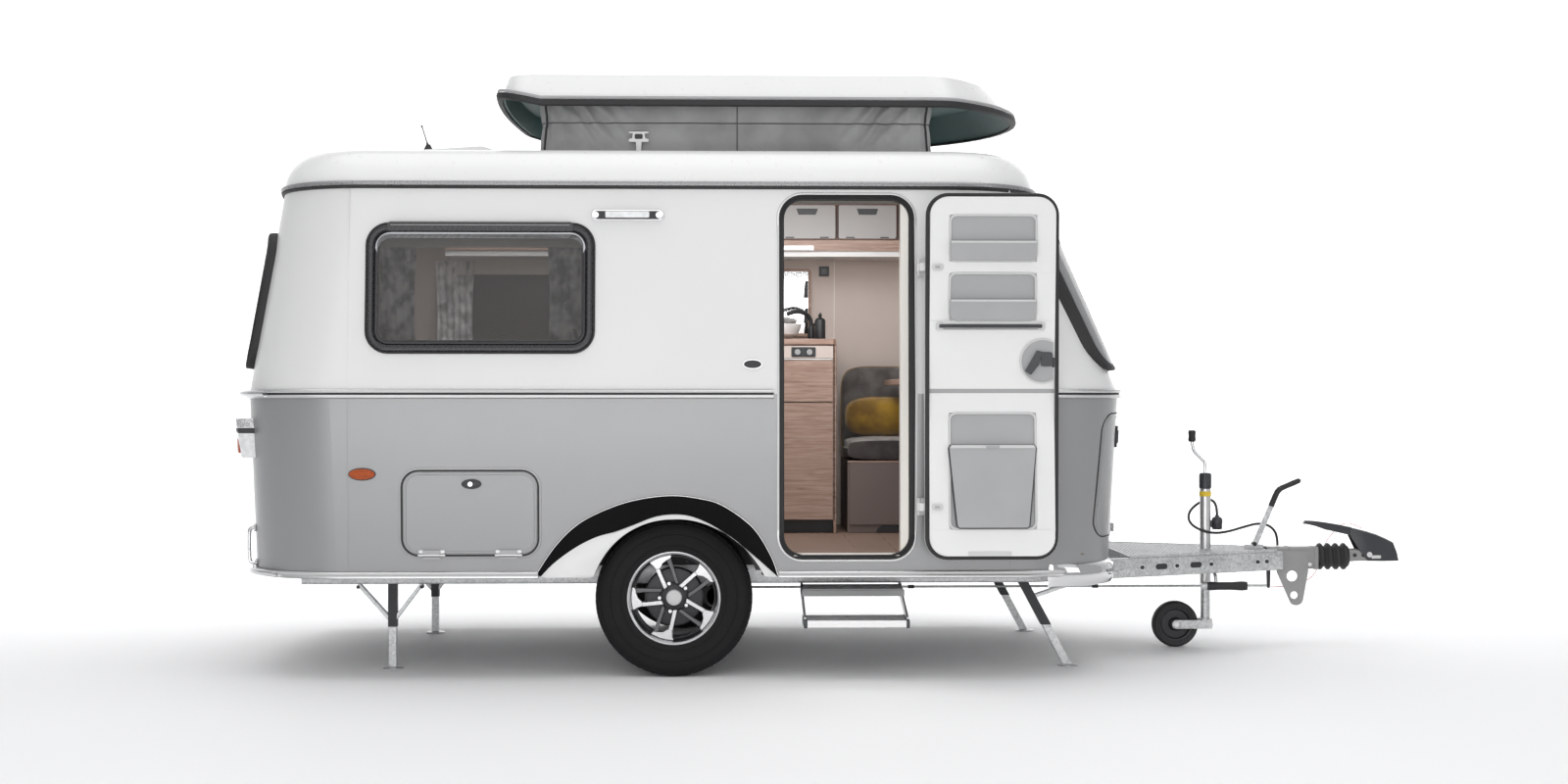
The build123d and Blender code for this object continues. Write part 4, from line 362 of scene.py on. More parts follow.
# Mesh building. Points are in ground-frame millimetres.
class Build:
    def __init__(self, name):
        self.name = name
        self.verts = []
        self.faces = []
        self.marks = []
        self.palette = []

    def add(self, points, faces, finish):
        if finish not in self.palette:
            self.palette.append(finish)
        base = len(self.verts)
        self.verts += [row(*p) for p in points]
        self.faces += [tuple(base + i for i in face) for face in faces]
        self.marks += [self.palette.index(finish)] * len(faces)

    def loft(self, rings, finish, closed=True, wrap=False, caps=True):
        count = len(rings)
        n = len(rings[0])
        faces = []
        for i in range(count if wrap else count - 1):
            j = (i + 1) % count
            for k in range(n if closed else n - 1):
                m = (k + 1) % n
                faces.append((i * n + k, i * n + m, j * n + m, j * n + k))
        if caps and closed and not wrap:
            faces.append(tuple(range(n)))
            faces.append(tuple((count - 1) * n + k for k in range(n)))
        self.add([p for ring in rings for p in ring], faces, finish)

    def prism(self, outline, axis, low, high, finish):
        """Outline extruded along an axis. The outline's pairs are the other two axes in order."""
        def place(pair, t):
            point = list(pair)
            point.insert("xyz".index(axis), t)
            return tuple(point)
        self.loft([[place(p, t) for p in outline] for t in (low, high)], finish)

    def block(self, x0, x1, y0, y1, z0, z1, finish):
        self.prism(box_of(x0, x1, y0, y1), "z", z0, z1, finish)

    def lathe(self, centre, axis, profile, finish, steps=40, wrap=False):
        """Profile of radius and distance along the axis, turned round it."""
        u, v = {"x": (1, 2), "y": (0, 2), "z": (0, 1)}[axis]
        w = "xyz".index(axis)
        rings = []
        for radius, along in profile:
            ring = []
            for angle in angles(steps):
                point = list(centre)
                point[u] += radius * math.cos(angle)
                point[v] += radius * math.sin(angle)
                point[w] += along
                ring.append(tuple(point))
            rings.append(ring)
        self.loft(rings, finish, wrap=wrap)

    def pipe(self, points, radius, finish, steps=12):
        """Round bar along points."""
        line = [Vector(p) for p in points]
        ways = [(b - a).normalized() for a, b in zip(line, line[1:])]
        side = ways[0].orthogonal().normalized()
        rings = []
        for i, point in enumerate(line):
            before = ways[max(i - 1, 0)]
            after = ways[min(i, len(ways) - 1)]
            way = (before + after).normalized()
            side = (side - way * side.dot(way)).normalized()
            up = way.cross(side)
            stretch = 1 / max(way.dot(after), 0.5)
            rings.append([tuple(point + (side * math.cos(a) + up * math.sin(a)) * radius * stretch)
                          for a in angles(steps)])
        self.loft(rings, finish)

    def strip(self, path, profile, place, finish, closed=True):
        """Profile of offset and height, carried along a path that place() lays on a surface.
        A positive offset is to the path's left."""
        n = len(path)
        rings = []
        for i, (u, v) in enumerate(path):
            before = path[i - 1] if closed or i else path[0]
            after = path[(i + 1) % n] if closed or i < n - 1 else path[-1]
            run = Vector((after[0] - before[0], after[1] - before[1])).normalized()
            rings.append([place(u - run.y * off, v + run.x * off, out) for off, out in profile])
        self.loft(rings, finish, wrap=closed)

    def plate(self, outline, place, low, high, finish):
        """Outline laid on a surface by place(), as a plate between two heights."""
        self.loft([[place(u, v, out) for u, v in outline] for out in (low, high)], finish)

    def done(self, body="trailer", replaces=(), slot=None, bevel=0, angle=35, segments=2):
        data = bpy.data.meshes.new(self.name)
        data.from_pydata(self.verts, [], self.faces)
        for finish in self.palette:
            data.materials.append(finish)
        data.polygons.foreach_set("material_index", self.marks)
        shape = bmesh.new()
        shape.from_mesh(data)
        bmesh.ops.remove_doubles(shape, verts=shape.verts, dist=1e-6)
        bmesh.ops.recalc_face_normals(shape, faces=shape.faces)
        shape.to_mesh(data)
        shape.free()
        data.shade_smooth()
        data.set_sharp_from_angle(angle=math.radians(angle))
        made = put(self.name, data)
        if bevel:
            edge = made.modifiers.new("edge", "BEVEL")
            edge.width = bevel / 1000
            edge.segments = segments
            edge.limit_method = "ANGLE"
            edge.angle_limit = math.radians(40)
            edge.harden_normals = True
        if body:
            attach(made, body)
        if replaces:
            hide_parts(*replaces)
        return made


def angles(steps):
    return [2 * math.pi * k / steps for k in range(steps)]


def arc(cu, cv, radius, start, end, steps):
    return [(cu + radius * math.cos(math.radians(start + (end - start) * k / steps)),
             cv + radius * math.sin(math.radians(start + (end - start) * k / steps)))
            for k in range(steps + 1)]


def rounded(u0, u1, v0, v1, radius, steps=6):
    """Rounded rectangle, anticlockwise from its low right corner."""
    middles = ((u1 - radius, v0 + radius), (u1 - radius, v1 - radius), (u0 + radius, v1 - radius),
               (u0 + radius, v0 + radius))
    return [p for k, (cu, cv) in enumerate(middles)
            for p in arc(cu, cv, radius, 90 * k - 90, 90 * k, steps)]


def box_of(u0, u1, v0, v1):
    """Square-cornered outline, anticlockwise from its low left corner."""
    return [(u0, v0), (u1, v0), (u1, v1), (u0, v1)]


def ellipse(cu, cv, ru, rv, steps=24):
    return [(cu + ru * math.cos(a), cv + rv * math.sin(a)) for a in angles(steps)]


def pin(radius, low, high):
    """Profile of a plain round pin or disc, for lathe()."""
    return [(0.5, low), (radius, low), (radius, high), (0.5, high)]


def hand(side):
    return "left" if side > 0 else "right"


def smooth_line(points, steps=6):
    """Catmull-Rom curve through points."""
    line = [Vector(p) for p in points]
    line = [line[0] * 2 - line[1], *line, line[-1] * 2 - line[-2]]
    out = []
    for a, b, c, d in zip(line, line[1:], line[2:], line[3:]):
        for k in range(steps):
            t = k / steps
            out.append(tuple(0.5 * (2 * b + (c - a) * t + (2 * a - 5 * b + 4 * c - d) * t * t
                                    + (3 * b - a - 3 * c + d) * t ** 3)))
    return out + [tuple(line[-2])]


# The body's surfaces
def bowed_end(tip, sign, bow, corner, side_y, corner_steps, bow_steps):
    """Plan points round one end: a corner, the bow and the other corner. sign is 1 in front."""
    centre = tip - sign * bow
    reach = math.sqrt((bow - corner) ** 2 - side_y ** 2)
    lean = math.degrees(math.atan2(side_y, reach))
    corner_x = centre + sign * reach
    ahead = 0 if sign > 0 else 180
    return (arc(corner_x, -sign * side_y, corner, ahead - 90, ahead - lean, corner_steps)
            + arc(centre, 0, bow, ahead - lean, ahead + lean, bow_steps)[1:-1]
            + arc(corner_x, sign * side_y, corner, ahead + lean, ahead + 90, corner_steps))


def level_outline(level, out, gap):
    """Plan outline at one level, grown outwards. It starts and ends on the door side, at the two
    x of gap, so that a rail can leave the door free."""
    _, rear, front, half = LEVELS[level]
    half += out
    points = [(gap[1], -half)]
    for tip, sign in ((front + out, 1), (rear - out, -1)):
        points += bowed_end(tip, sign, END_BOW_R + out, CORNER_R + out, half - CORNER_R - out, 8,
            16)
    return points + [(gap[0], -half)]


def share_of(z):
    """The two levels that z lies between, and how far it is from the lower one."""
    low, high = ("bottom", "belt") if z <= BELT_Z else ("belt", "gutter")
    return low, high, (z - LEVELS[low][0]) / (LEVELS[high][0] - LEVELS[low][0])


def plan(z, out, gap=(MIDDLE_X, MIDDLE_X)):
    low, high, share = share_of(z)
    share = min(max(share, 0), 1)
    return [(a[0] + (b[0] - a[0]) * share, a[1] + (b[1] - a[1]) * share)
            for a, b in zip(level_outline(low, out, gap), level_outline(high, out, gap))]


def wall_y(z):
    low, high, share = share_of(z)
    return LEVELS[low][3] + share * (LEVELS[high][3] - LEVELS[low][3])


def on_side(sign):
    """place() for a side wall. sign is -1 on the door side."""
    return lambda x, z, out: (x, sign * (wall_y(z) + out), z)


def on_end(sign):
    """place() for an end wall, over y and z. sign is 1 at the front."""
    def place(y, z, out):
        points = [p for p in plan(z, out) if (p[0] - MIDDLE_X) * sign > 700]
        points.sort(key=lambda p: p[1])
        ys = [p[1] for p in points]
        xs = [p[0] for p in points]
        return (float(np.interp(y, ys, xs)), y, z)
    return place


OPEN_LEAF_Y = -2028
LEAF_DEPTH = 38


def on_door(x, z, out):
    """place() for the open leaf's inner face, which is turned towards -Y."""
    return (x, OPEN_LEAF_Y + wall_y(z) - LEAF_DEPTH - out, z)


NEAR = on_side(-1)
NOSE = on_end(1)
REAR = on_end(-1)


# Rails round the body
def rail(build, at_z, profile, finish, gap=None):
    """Profile of outwards and z, carried round the body. A gap leaves the door free."""
    lines = [plan(at_z, out, gap or (MIDDLE_X, MIDDLE_X)) for out, z in profile]
    rings = [[(*line[k], z) for line, (out, z) in zip(lines, profile)]
             for k in range(len(lines[0]))]
    if gap is None:
        rings.pop()
    build.loft(rings, finish, wrap=gap is None)


def end_line(z, out, sign, reach_x):
    """Plan line round one end of the body, from reach_x on one side to reach_x on the other."""
    points = plan(z, out)
    half = points[0][1]
    turn = points[1:34] if sign > 0 else points[34:67]
    return [(reach_x, half * sign), *turn, (reach_x, -half * sign)]


DOOR_GAP_XS = (-318, 272)
rails = Build("rails")
rail(rails, BELT_Z, [(0.5, 1121), (9, 1121), (14, 1117), (15, 1112), (12, 1107), (0.5, 1105)], ALU,
     DOOR_GAP_XS)
rail(rails, BELT_Z, box_of(0.5, 7, 1105, 1099), RUBBER, DOOR_GAP_XS)
rail(rails, BELT_Z, [(0.5, 1099), (12, 1099), (15, 1095), (14, 1089), (8, 1085), (0.5, 1085)], ALU,
     DOOR_GAP_XS)
rail(rails, GUTTER_Z, [(0.5, 1924), (11, 1924), (16, 1920), (18, 1914), (17, 1908), (12, 1906),
                       (0.5, 1906)], GUTTER)
rail(rails, GUTTER_Z, [(0.5, 1906), (13, 1906), (12, 1899), (6, 1895), (0.5, 1895)], RUBBER)
SILL = [(-30, 419), (10, 419), (14, 415), (14, 409), (11, 405), (14, 401), (14, 395), (9, 392),
        (-30, 392)]
for sign, reach_x in ((1, -296), (-1, -1224)):
    lines = [end_line(BOTTOM_Z, out, sign, reach_x) for out, z in SILL]
    rails.loft([[(*line[k], z) for line, (out, z) in zip(lines, SILL)]
                for k in range(len(lines[0]))], ALU)
# columns: z, outwards, radius, end, how far forward the bead starts
for z, out, radius, sign, start_x in ((1103, 34, 13, -1, -2245),
                                      (420, 26, 12, -1, -2240),
                                      (420, 10, 16, 1, 860)):
    drop = 12 if z < BELT_Z else 0
    line = [(x, y, z - drop) for x, y in end_line(z, out, sign, start_x)[1:-1]]
    if sign < 0:
        rails.pipe([p for p in line if p[0] < start_x], radius, CHROME)
    else:
        for side in (-1, 1):
            rails.pipe([p for p in line if p[1] * side > 560 and p[0] > start_x], radius, CHROME)
rails.done(replaces=["body_rails"], slot="trim_alu", angle=40)

# Lid of the pop-top: black seal round its rim, and a grey channel above it. LID_PLAN's columns:
# rear tip x, front tip x, half width, rear bow, front bow, rear corner, front corner
LID_PLAN = (-1447, 744, 680, 6000, 850, 120, 150)
LID_SIDE_XS = (-400, -900, -1240)


def lid_line(out):
    """Plan line of the lid's rim, grown outwards."""
    rear, front, half, rear_bow, front_bow, rear_corner, front_corner = LID_PLAN
    half += out
    points = []
    for tip, sign, bow, corner in ((front, 1, front_bow, front_corner),
                                   (rear, -1, rear_bow, rear_corner)):
        side_y = half - corner - out
        points += bowed_end(tip + sign * out, sign, bow + out, corner + out, side_y, 6, 14)
        points += [(x, sign * half) for x in LID_SIDE_XS[::sign]]
    return points


def rim_rise(x):
    """How far the rim sweeps up towards the rear."""
    return 44 * min(max((-1240 - x) / 207, 0), 1.02)


# columns: profile of outwards and z, finish
LID_RIMS = (
    ([(1, 2280), (7, 2276), (9, 2266), (7, 2256), (0, 2253), (-16, 2253), (-16, 2261), (1, 2262)],
     RUBBER),
    ([(-4, 2292), (2, 2292), (5, 2287), (3, 2281), (-1, 2281)], GREY),
)
lid_trim = Build("lid_trim")
for profile, finish in LID_RIMS:
    lines = [lid_line(out) for out, z in profile]
    lid_trim.loft([[(line[k][0], line[k][1], z + rim_rise(line[k][0]))
                    for line, (out, z) in zip(lines, profile)] for k in range(len(lines[0]))],
                  finish, wrap=True)
# lifting struts and ribs under the lid, inside the fabric's ends
STRUT_XS = (-1232, 314)
for x in STRUT_XS:
    for y in (-560, 560):
        lid_trim.block(x - 9, x + 9, y - 14, y + 14, 2268, 2368, DARK)
    lid_trim.block(x - 12, x + 12, -590, 590, 2352, 2370, DARK)
lid_trim.done(body="pop_top", slot="rubber", bevel=1.5, angle=40)

# Fabric wall between roof and lid: a closed band with gathers at its corners and soft folds
FABRIC_LOW_Z = 2060.8
FABRIC_HIGH_Z = 2371
SEAM_Z = 2191
LID_RIM_Z = 2253
FABRIC_XS = (-1247, 329)
FABRIC_Y = 598
fabric_line = rounded(*FABRIC_XS, -FABRIC_Y, FABRIC_Y, 68, 8)
dense = []
for (xa, ya), (xb, yb) in zip(fabric_line, fabric_line[1:] + fabric_line[:1]):
    count = max(int(math.hypot(xb - xa, yb - ya) / 6.5), 1)
    dense += [(xa + (xb - xa) * k / count, ya + (yb - ya) * k / count) for k in range(count)]
FABRIC_ROWS = 30


def run_at(i):
    """Direction of the fabric's line at its point i."""
    before = dense[i - 1]
    after = dense[(i + 1) % len(dense)]
    return Vector((after[0] - before[0], after[1] - before[1])).normalized()


rings = []
for r in range(FABRIC_ROWS + 1):
    t = r / FABRIC_ROWS
    z = FABRIC_LOW_Z + (FABRIC_HIGH_Z - FABRIC_LOW_Z) * t
    ring = []
    for i, (x, y) in enumerate(dense):
        run = run_at(i)
        # distance to the nearest corner along the wall, and depth below the lid's rim
        on_long_side = abs(y) > 560
        corner = min(abs(x - end) for end in FABRIC_XS) if on_long_side else FABRIC_Y - abs(y)
        depth = LID_RIM_Z - z
        hang = min(math.sin(math.pi * t) * 1.5, 1)
        # upright gathers at the corners, and slanted folds that run down and away from them
        upright = math.sin(corner / 6) * math.exp(-corner / 80) * (1 - depth / 400)
        sway = noise.noise(Vector((x / 90, y / 90, 3)))
        reach = math.exp(-((corner - 185 - 0.5 * depth) / 125) ** 2) * math.exp(-(depth / 150) ** 2)
        slanted = math.sin((corner - 0.85 * depth) / 12 + 2.2 * sway) * reach
        wave = noise.noise(Vector((x / 170, y / 170, t * 1.4)))
        drawn = float(np.interp(z, (2061, 2088, SEAM_Z, LID_RIM_Z, FABRIC_HIGH_Z),
            (0, 7, -5, 2, 0)))
        out = hang * (8 * upright + 13 * slanted + 6 * wave) + drawn
        out -= 3 * math.exp(-((z - SEAM_Z) / 6) ** 2)
        ring.append((x + run.y * out, y - run.x * out, z))
    rings.append(ring)
fabric = Build("fabric_wall")
fabric.loft(rings, CANVAS, caps=False)
fabric_object = fabric.done(body=None, replaces=["pop_top_fabric"], slot="canvas", angle=80)
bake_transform(fabric_object)
# The cloth's own size is what its folds take up round the wall and up it
around = [sum(math.dist(p, q) for p, q in zip(ring, ring[1:] + ring[:1])) for ring in rings]
upward = [sum(math.dist(p[k], q[k]) for p, q in zip(rings, rings[1:])) for k in range(len(dense))]


# Seams, and the zip beside each corner, laid on the fabric
def fabric_point(r, i, along, out):
    """Point beside the fabric's mesh point, along the wall and outwards from it."""
    x, y, z = rings[r][i]
    run = run_at(i)
    return (x + run.x * along + run.y * out, y + run.y * along - run.x * out, z)


seams = Build("fabric_seams")
seam_row = round((SEAM_Z - FABRIC_LOW_Z) / (FABRIC_HIGH_Z - FABRIC_LOW_Z) * FABRIC_ROWS)
seams.loft([[fabric_point(seam_row, i, 0, out)[:2] + (rings[seam_row][i][2] + dz,)
             for dz, out in ((-2.5, 0), (-2, 3.4), (2, 3.4), (2.5, 0))]
            for i in range(len(dense))], SEAM, wrap=True)
# columns: x, finish, half width
for at_x, finish, half in ((-457, SEAM, 2), *((x, BLACK_STEEL, 4.5) for x in STRUT_XS)):
    for side in (-1, 1):
        i = min(range(len(dense)),
                key=lambda k: abs(dense[k][0] - at_x) + abs(dense[k][1] - side * FABRIC_Y))
        seams.loft([[fabric_point(r, i, along, out)
                     for along, out in ((-half, -1), (-half, 3), (half, 3), (half, -1))]
                    for r in range(1, FABRIC_ROWS)], finish)
seams_object = seams.done(body=None, slot="canvas", angle=50)
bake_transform(seams_object)

binding = Build("fabric_binding")
binding.strip(rounded(-1252, 334, -603, 603, 72, 8),
              [(0, 0), (0, 12), (6, 13), (8, 0)], lambda u, v, out: (u, v, 2060.6 + out), PALE_GREY)
binding.done(slot="grey_plastic", angle=50)

# Roof catches on each side of the fabric
catches = Build("roof_catches")
for side in (-1, 1):
    def place(x, z, out):
        return (x, side * (612 + out), z)
    y0, y1 = sorted((side * 609, side * 627))
    catches.block(-896, -808, y0, y1, 2060.5, 2071, DARK)
    catches.plate([(-862, 2071), (-842, 2071), (-840, 2120), (-864, 2120)], place, 2, 9,
        INNER_WHITE)
    catches.plate([(-892, 2116), (-812, 2116), (-812, 2128), (-826, 2132), (-828, 2150),
        (-812, 2152), (-812, 2158), (-892, 2158), (-892, 2152), (-876, 2150), (-878, 2132),
        (-892, 2128)], place, 1, 10, INNER_WHITE)
    catches.plate(rounded(-868, -836, 2128, 2148, 5), place, 8, 13, BLACK_STEEL)
catches.done(replaces=["roof_latches"], slot="body_white", bevel=2)

# Aerial with its rubber foot
AERIAL_Y = -500
aerial = Build("aerial_mast")
aerial.lathe((-1712, AERIAL_Y, 0), "z", [(0, 2118), (9, 2117), (13, 2108), (18, 2098), (24, 2090),
                                         (26, 2082.5), (0, 2082.5)], RUBBER)
tip = (-1738, AERIAL_Y, 2192)
aerial.pipe([(-1712, AERIAL_Y, 2110), (-1716.5, AERIAL_Y, 2124)], 5, DARK)
aerial.pipe([(-1716, AERIAL_Y, 2122), tip], 2.6, DARK)
aerial.lathe(tip, "z", [(0, -6), (4.5, -4), (4.5, 2), (0, 5)], DARK, 12)
aerial.done(replaces=["aerial"], slot="dark_plastic", angle=45)


# Side windows: rubber edge, wide frame, thick top bar with a painted highlight line, the pane's
# upper edge as a pale painted highlight, stays, blind
WINDOW = (-1884, -1005, 1257, 1762)


def side_window(side):
    place = on_side(side)
    x0, x1, z0, z1 = WINDOW
    path = rounded(x0, x1, z0, z1, 88, 8)
    build = Build("window_frame_" + hand(side))
    build.strip(path, [(0, 0.6), (-1, 6), (2, 11), (7, 11), (8, 0.6)], place, RUBBER)
    build.strip(path, [(8, 0.6), (8, 13), (12, 19), (20, 21), (29, 19), (34, 12), (36, 0.6)], place,
                GLOSS_BLACK)
    build.strip(path, [(36, 0.6), (36, 7), (40, 9), (45, 8), (52, 5), (53, 0.6)], place, DARK)
    build.plate([(x0 + 84, z1 - 34), (x1 - 84, z1 - 34), (x1 - 82, z1 - 6), (x1 - 94, z1 + 2),
                 (x0 + 94, z1 + 2), (x0 + 82, z1 - 6)], place, 12, 24, GLOSS_BLACK)
    # painted highlight: a thin grey line across the top bar's face, standing in for the light it
    # catches
    build.plate(box_of(x0 + 96, x1 - 96, z1 - 12, z1 - 9), place, 20, 25, GREY)
    # painted highlight: a pale crescent along the bowed pane's top and round its upper corners,
    # where the edge catches light from above; the lower edge gets none
    crescent = []
    for inset, drop, radius, way in ((37, 37, 62, -1), (45, 62, 56, 1)):
        ring = rounded(x0 + inset, x1 - inset, z0 + inset, z1 - drop, radius, 8)
        ring = [p for p in ring if p[1] > z1 - drop - radius * 1.1]
        middle = ((x0 + x1) / 2, (z0 + z1) / 2)
        crescent += sorted(ring, key=lambda p: way * math.atan2(p[1] - middle[1], p[0] - middle[0]))
    build.plate(crescent, place, 4, 10, PANE_TOP_HIGHLIGHT)
    for end in (-1, 1):
        x = (x0 + x1) / 2 + end * ((x1 - x0) / 2 - 66)
        build.plate([(x - 7, z0 + 44), (x + 7, z0 + 44), (x + 7 - end * 14, z0 + 96),
                     (x - 7 - end * 14, z0 + 96)], place, -22, -8, DARK)
        build.plate(rounded(x - 15, x + 15, z0 + 30, z0 + 52, 6), place, -24, -4, DARK)
    # blind cassette and inner frame, behind the glass
    build.strip(rounded(x0 + 22, x1 - 22, z0 + 22, z1 - 22, 66, 6),
                [(0, -46), (0, -31.5), (26, -31.5), (26, -46)], place, CREAM)
    build.plate(box_of(x0 + 46, x1 - 46, z1 - 92, z1 - 44), place, -52, -32, CREAM)
    build.done(slot="dark_plastic", bevel=1.5, angle=40)


for side in (-1, 1):
    side_window(side)


# End windows: bowed acrylic panes in a thick rubber edge. columns: end, low z, high z
END_WINDOWS = ((1, 1200, 1740), (-1, 1205, 1745))
END_HALF = 730
NOSE_HALF = 860
EDGE_R = 108


def edge_path(half, z0, z1, radius, steps=7, long_steps=18):
    """Rounded rectangle over y and z with enough points on its long sides to follow the bow."""
    path = rounded(-half, half, z0, z1, radius, steps)
    out = []
    for (ya, za), (yb, zb) in zip(path, path[1:] + path[:1]):
        count = long_steps if abs(yb - ya) > 300 else 6 if abs(zb - za) > 200 else 1
        out += [(ya + (yb - ya) * k / count, za + (zb - za) * k / count) for k in range(count)]
    return out


end_frames = Build("end_window_edges")
for sign, z0, z1 in END_WINDOWS:
    place = on_end(sign)
    half = END_HALF
    if sign > 0:
        # the nose pane wraps round the corners with a printed border
        half = NOSE_HALF
        start = END_HALF - 36
        for side in (-1, 1):
            border = []
            for k in range(15):
                y = start + (half - 18 - start) * k / 14
                past = max(y - (half - EDGE_R), 0)
                inset = 22 + 100 - math.sqrt(max(100 ** 2 - past ** 2, 0))
                border.append([place(side * y, z, out) for z, out in ((z0 + inset, 1),
                    (z0 + inset, 35), (z1 - inset, 35), (z1 - inset, 1))])
            end_frames.loft(border, PANE_BORDER)
    path = edge_path(half, z0, z1, EDGE_R)[::-sign]
    end_frames.strip(path, [(-sign * off, out) for off, out in ((0, 0.6), (-2, 16), (0, 30),
        (6, 35), (14, 36), (18, 34.4), (30, 34.4), (34, 0.6))], place, RUBBER)
    # stays inside the pane's lower edge
    for y in (-560, 560):
        end_frames.plate(rounded(y - 26, y + 26, z0 + 48, z0 + 72, 6), place, 4, 26, DARK)
end_frames.done(replaces=["window_frames"], slot="dark_plastic", angle=40)

# Curtains: gathered cloth on both sides of each side window
CURTAIN_Y = 904
CURTAIN_ZS = (1246, 1733)
CURTAIN_ROWS = 22
CURTAIN_COLUMNS = 46
# columns: place, rear x, front x, how strongly it is pinched
CURTAINS = (("_rear", -1880, -1698, 0.1), ("_front", -1192, -1010, 0.08))
for side in (-1, 1):
    for end, x0, x1, pinch in CURTAINS:
        rings = []
        for r in range(CURTAIN_ROWS + 1):
            t = r / CURTAIN_ROWS
            z = CURTAIN_ZS[0] + (CURTAIN_ZS[1] - CURTAIN_ZS[0]) * t
            width = (x1 - x0) * (1 - pinch * math.sin(math.pi * min(t * 1.15, 1)))
            ring = []
            for k in range(CURTAIN_COLUMNS + 1):
                s = k / CURTAIN_COLUMNS
                wave = math.sin(s * math.pi * 11 + 0.9 * math.sin(t * 3 + x0)) * (6 + 1.5 * t)
                wave += 2.5 * noise.noise(Vector((s * 5, t * 3, x0)))
                ring.append(((x0 + x1) / 2 + (s - 0.5) * width, side * (CURTAIN_Y + wave * 0.9), z))
            rings.append(ring)
        cloth = Build("curtain_" + hand(side) + end)
        cloth.loft(rings, CURTAIN, closed=False)
        made = cloth.done(replaces=["curtains"], slot="fabric_grey", angle=80)
        ring = rings[CURTAIN_ROWS // 2]
        length = sum(math.dist(a, b) for a, b in zip(ring, ring[1:]))

# Doorway: aluminium edge, black seal, cream inner jamb and threshold
DOOR = (-290, 222, 468, 1868)
doorway = Build("doorway_trim")
path = rounded(DOOR[0] - 6, DOOR[1] + 6, DOOR[2] - 6, DOOR[3] + 6, 91, 8)
doorway.strip(path, [(-9, 0.4), (-9, 3.4), (-7, 4.6), (-1, 4.6), (0, 3), (0, 0.4)], NEAR, ALU)
doorway.strip(path, [(0.4, -12), (0.4, 1.5), (3, 2.2), (5, 0.5), (5, -12)], NEAR, RUBBER)
doorway.strip(path, [(10.4, -31.5), (10.4, -18.3), (15.4, -16.5), (19.5, -19), (20.5, -31.5)], NEAR,
              RUBBER)
jamb = rounded(DOOR[0] + 4, DOOR[1] - 4, DOOR[2] + 4, DOOR[3] - 4, 80, 8)
doorway.strip(jamb, [(0, -30.5), (0, -46), (8, -47), (10, -33)], NEAR, CREAM)
x0, x1 = DOOR[1] - 44, DOOR[1] + 4
doorway.prism(box_of(x0, x1, -922, -862), "z", 480, 1850, CREAM)
doorway.prism(box_of(DOOR[0] + 50, DOOR[1] - 50, -950, -880), "z", 474.5, 482, CREAM)
doorway.done(slot="trim_alu", bevel=1.2, angle=40)

# Door leaf: rubber edge and a moulded inner panel with pockets, rail, bin and latch
LEAF = (274.5, 753.5, 484.5, 1851.5)
leaf = Build("door_panel")
# The panel is a plate split into bands round its three recesses. columns: x, x, z, z
RECESSES = ((347, 681, 1606, 1784), (347, 681, 1382, 1564), (349, 683, 586, 1032))


def clip_width(z):
    """Half open range in x of the leaf's outline at a height."""
    radius = 70
    edge = min(z - LEAF[2], LEAF[3] - z)
    if edge >= radius:
        return LEAF[0], LEAF[1]
    inset = radius - math.sqrt(max(radius ** 2 - (radius - edge) ** 2, 0))
    return LEAF[0] + inset, LEAF[1] - inset


def slab_between(z0, z1, xa=None, xb=None, steps=6):
    """Band of the panel between two heights, out to the leaf's edge where no x is given."""
    left = []
    right = []
    for k in range(steps + 1):
        z = z0 + (z1 - z0) * k / steps
        lo, hi = clip_width(z)
        left.append((lo if xa is None else xa, z))
        right.append((hi if xb is None else xb, z))
    leaf.plate(right + left[::-1], on_door, -2.6, 3.2, INNER_WHITE)


for z0, z1, steps in ((LEAF[2], 586, 6), (1032, 1106, 1), (1122, 1382, 1),
                      (1564, 1606, 1), (1784, LEAF[3], 6)):
    slab_between(z0, z1, steps=steps)
leaf.plate(box_of(LEAF[0], LEAF[1], 1106, 1122), on_door, -2.6, -1, GREY)
for xa, xb, za, zb in RECESSES:
    slab_between(za, zb, None, xa, 1)
    slab_between(za, zb, xb, None, 1)
# the recess floors below are grey, darker than the white panel: painted shade in the recesses
for xa, xb, za, zb in RECESSES:
    path = rounded(xa + 3, xb - 3, za + 3, zb - 3, 26, 6)
    leaf.strip(path, [(-6, 0), (-6, 3.6), (-3, 6.5), (3, 6.5), (5, 3), (5, 0)], on_door, PALE_GREY)
    leaf.plate(rounded(xa, xb, za, zb, 20, 5), on_door, -2.6, -1.2, GREY)
# pockets with a lip, then the bin
for z0, z1 in ((1606, 1682), (1382, 1460)):
    path = arc(370, z0 + 24, 20, 180, 270, 5) + arc(658, z0 + 24, 20, -90, 0, 5)
    path += [(678, z1), (350, z1)]
    leaf.loft([[on_door(x, z, out + (z - z0) / (z1 - z0) * lean) for x, z in path]
               for out, lean in ((-1, 0), (20, 9))], GREY)
    lip = box_of(352, 676, z1 - 7, z1 + 1)
    leaf.plate(lip, on_door, 22, 31, PALE_GREY)
bin_front = [(386, 594), (646, 594), (652, 602), (679, 896), (676, 904),
             (352, 904), (349, 896), (379, 602)]
leaf.plate(bin_front, on_door, -1, 21, GREY)
leaf.strip(bin_front, [(-5, 0), (-5, 14), (0, 16), (0, 0)], on_door, DARK)
leaf.plate([(352, 896), (676, 896), (672, 908), (356, 908)], on_door, 16, 25, PALE_GREY)
leaf.plate(rounded(488, 540, 896, 906, 4), on_door, 24, 27, GREY)
# towel rail
leaf.pipe([on_door(310, 1361, 16), on_door(702, 1361, 16)], 7, DARK)
for x in (312, 700):
    leaf.plate(rounded(x - 14, x + 14, 1345, 1377, 8), on_door, 2, 14, PALE_GREY)
leaf.plate([(302, 1352), (708, 1352), (700, 1347), (312, 1347)], on_door, 2, 6, GREY)
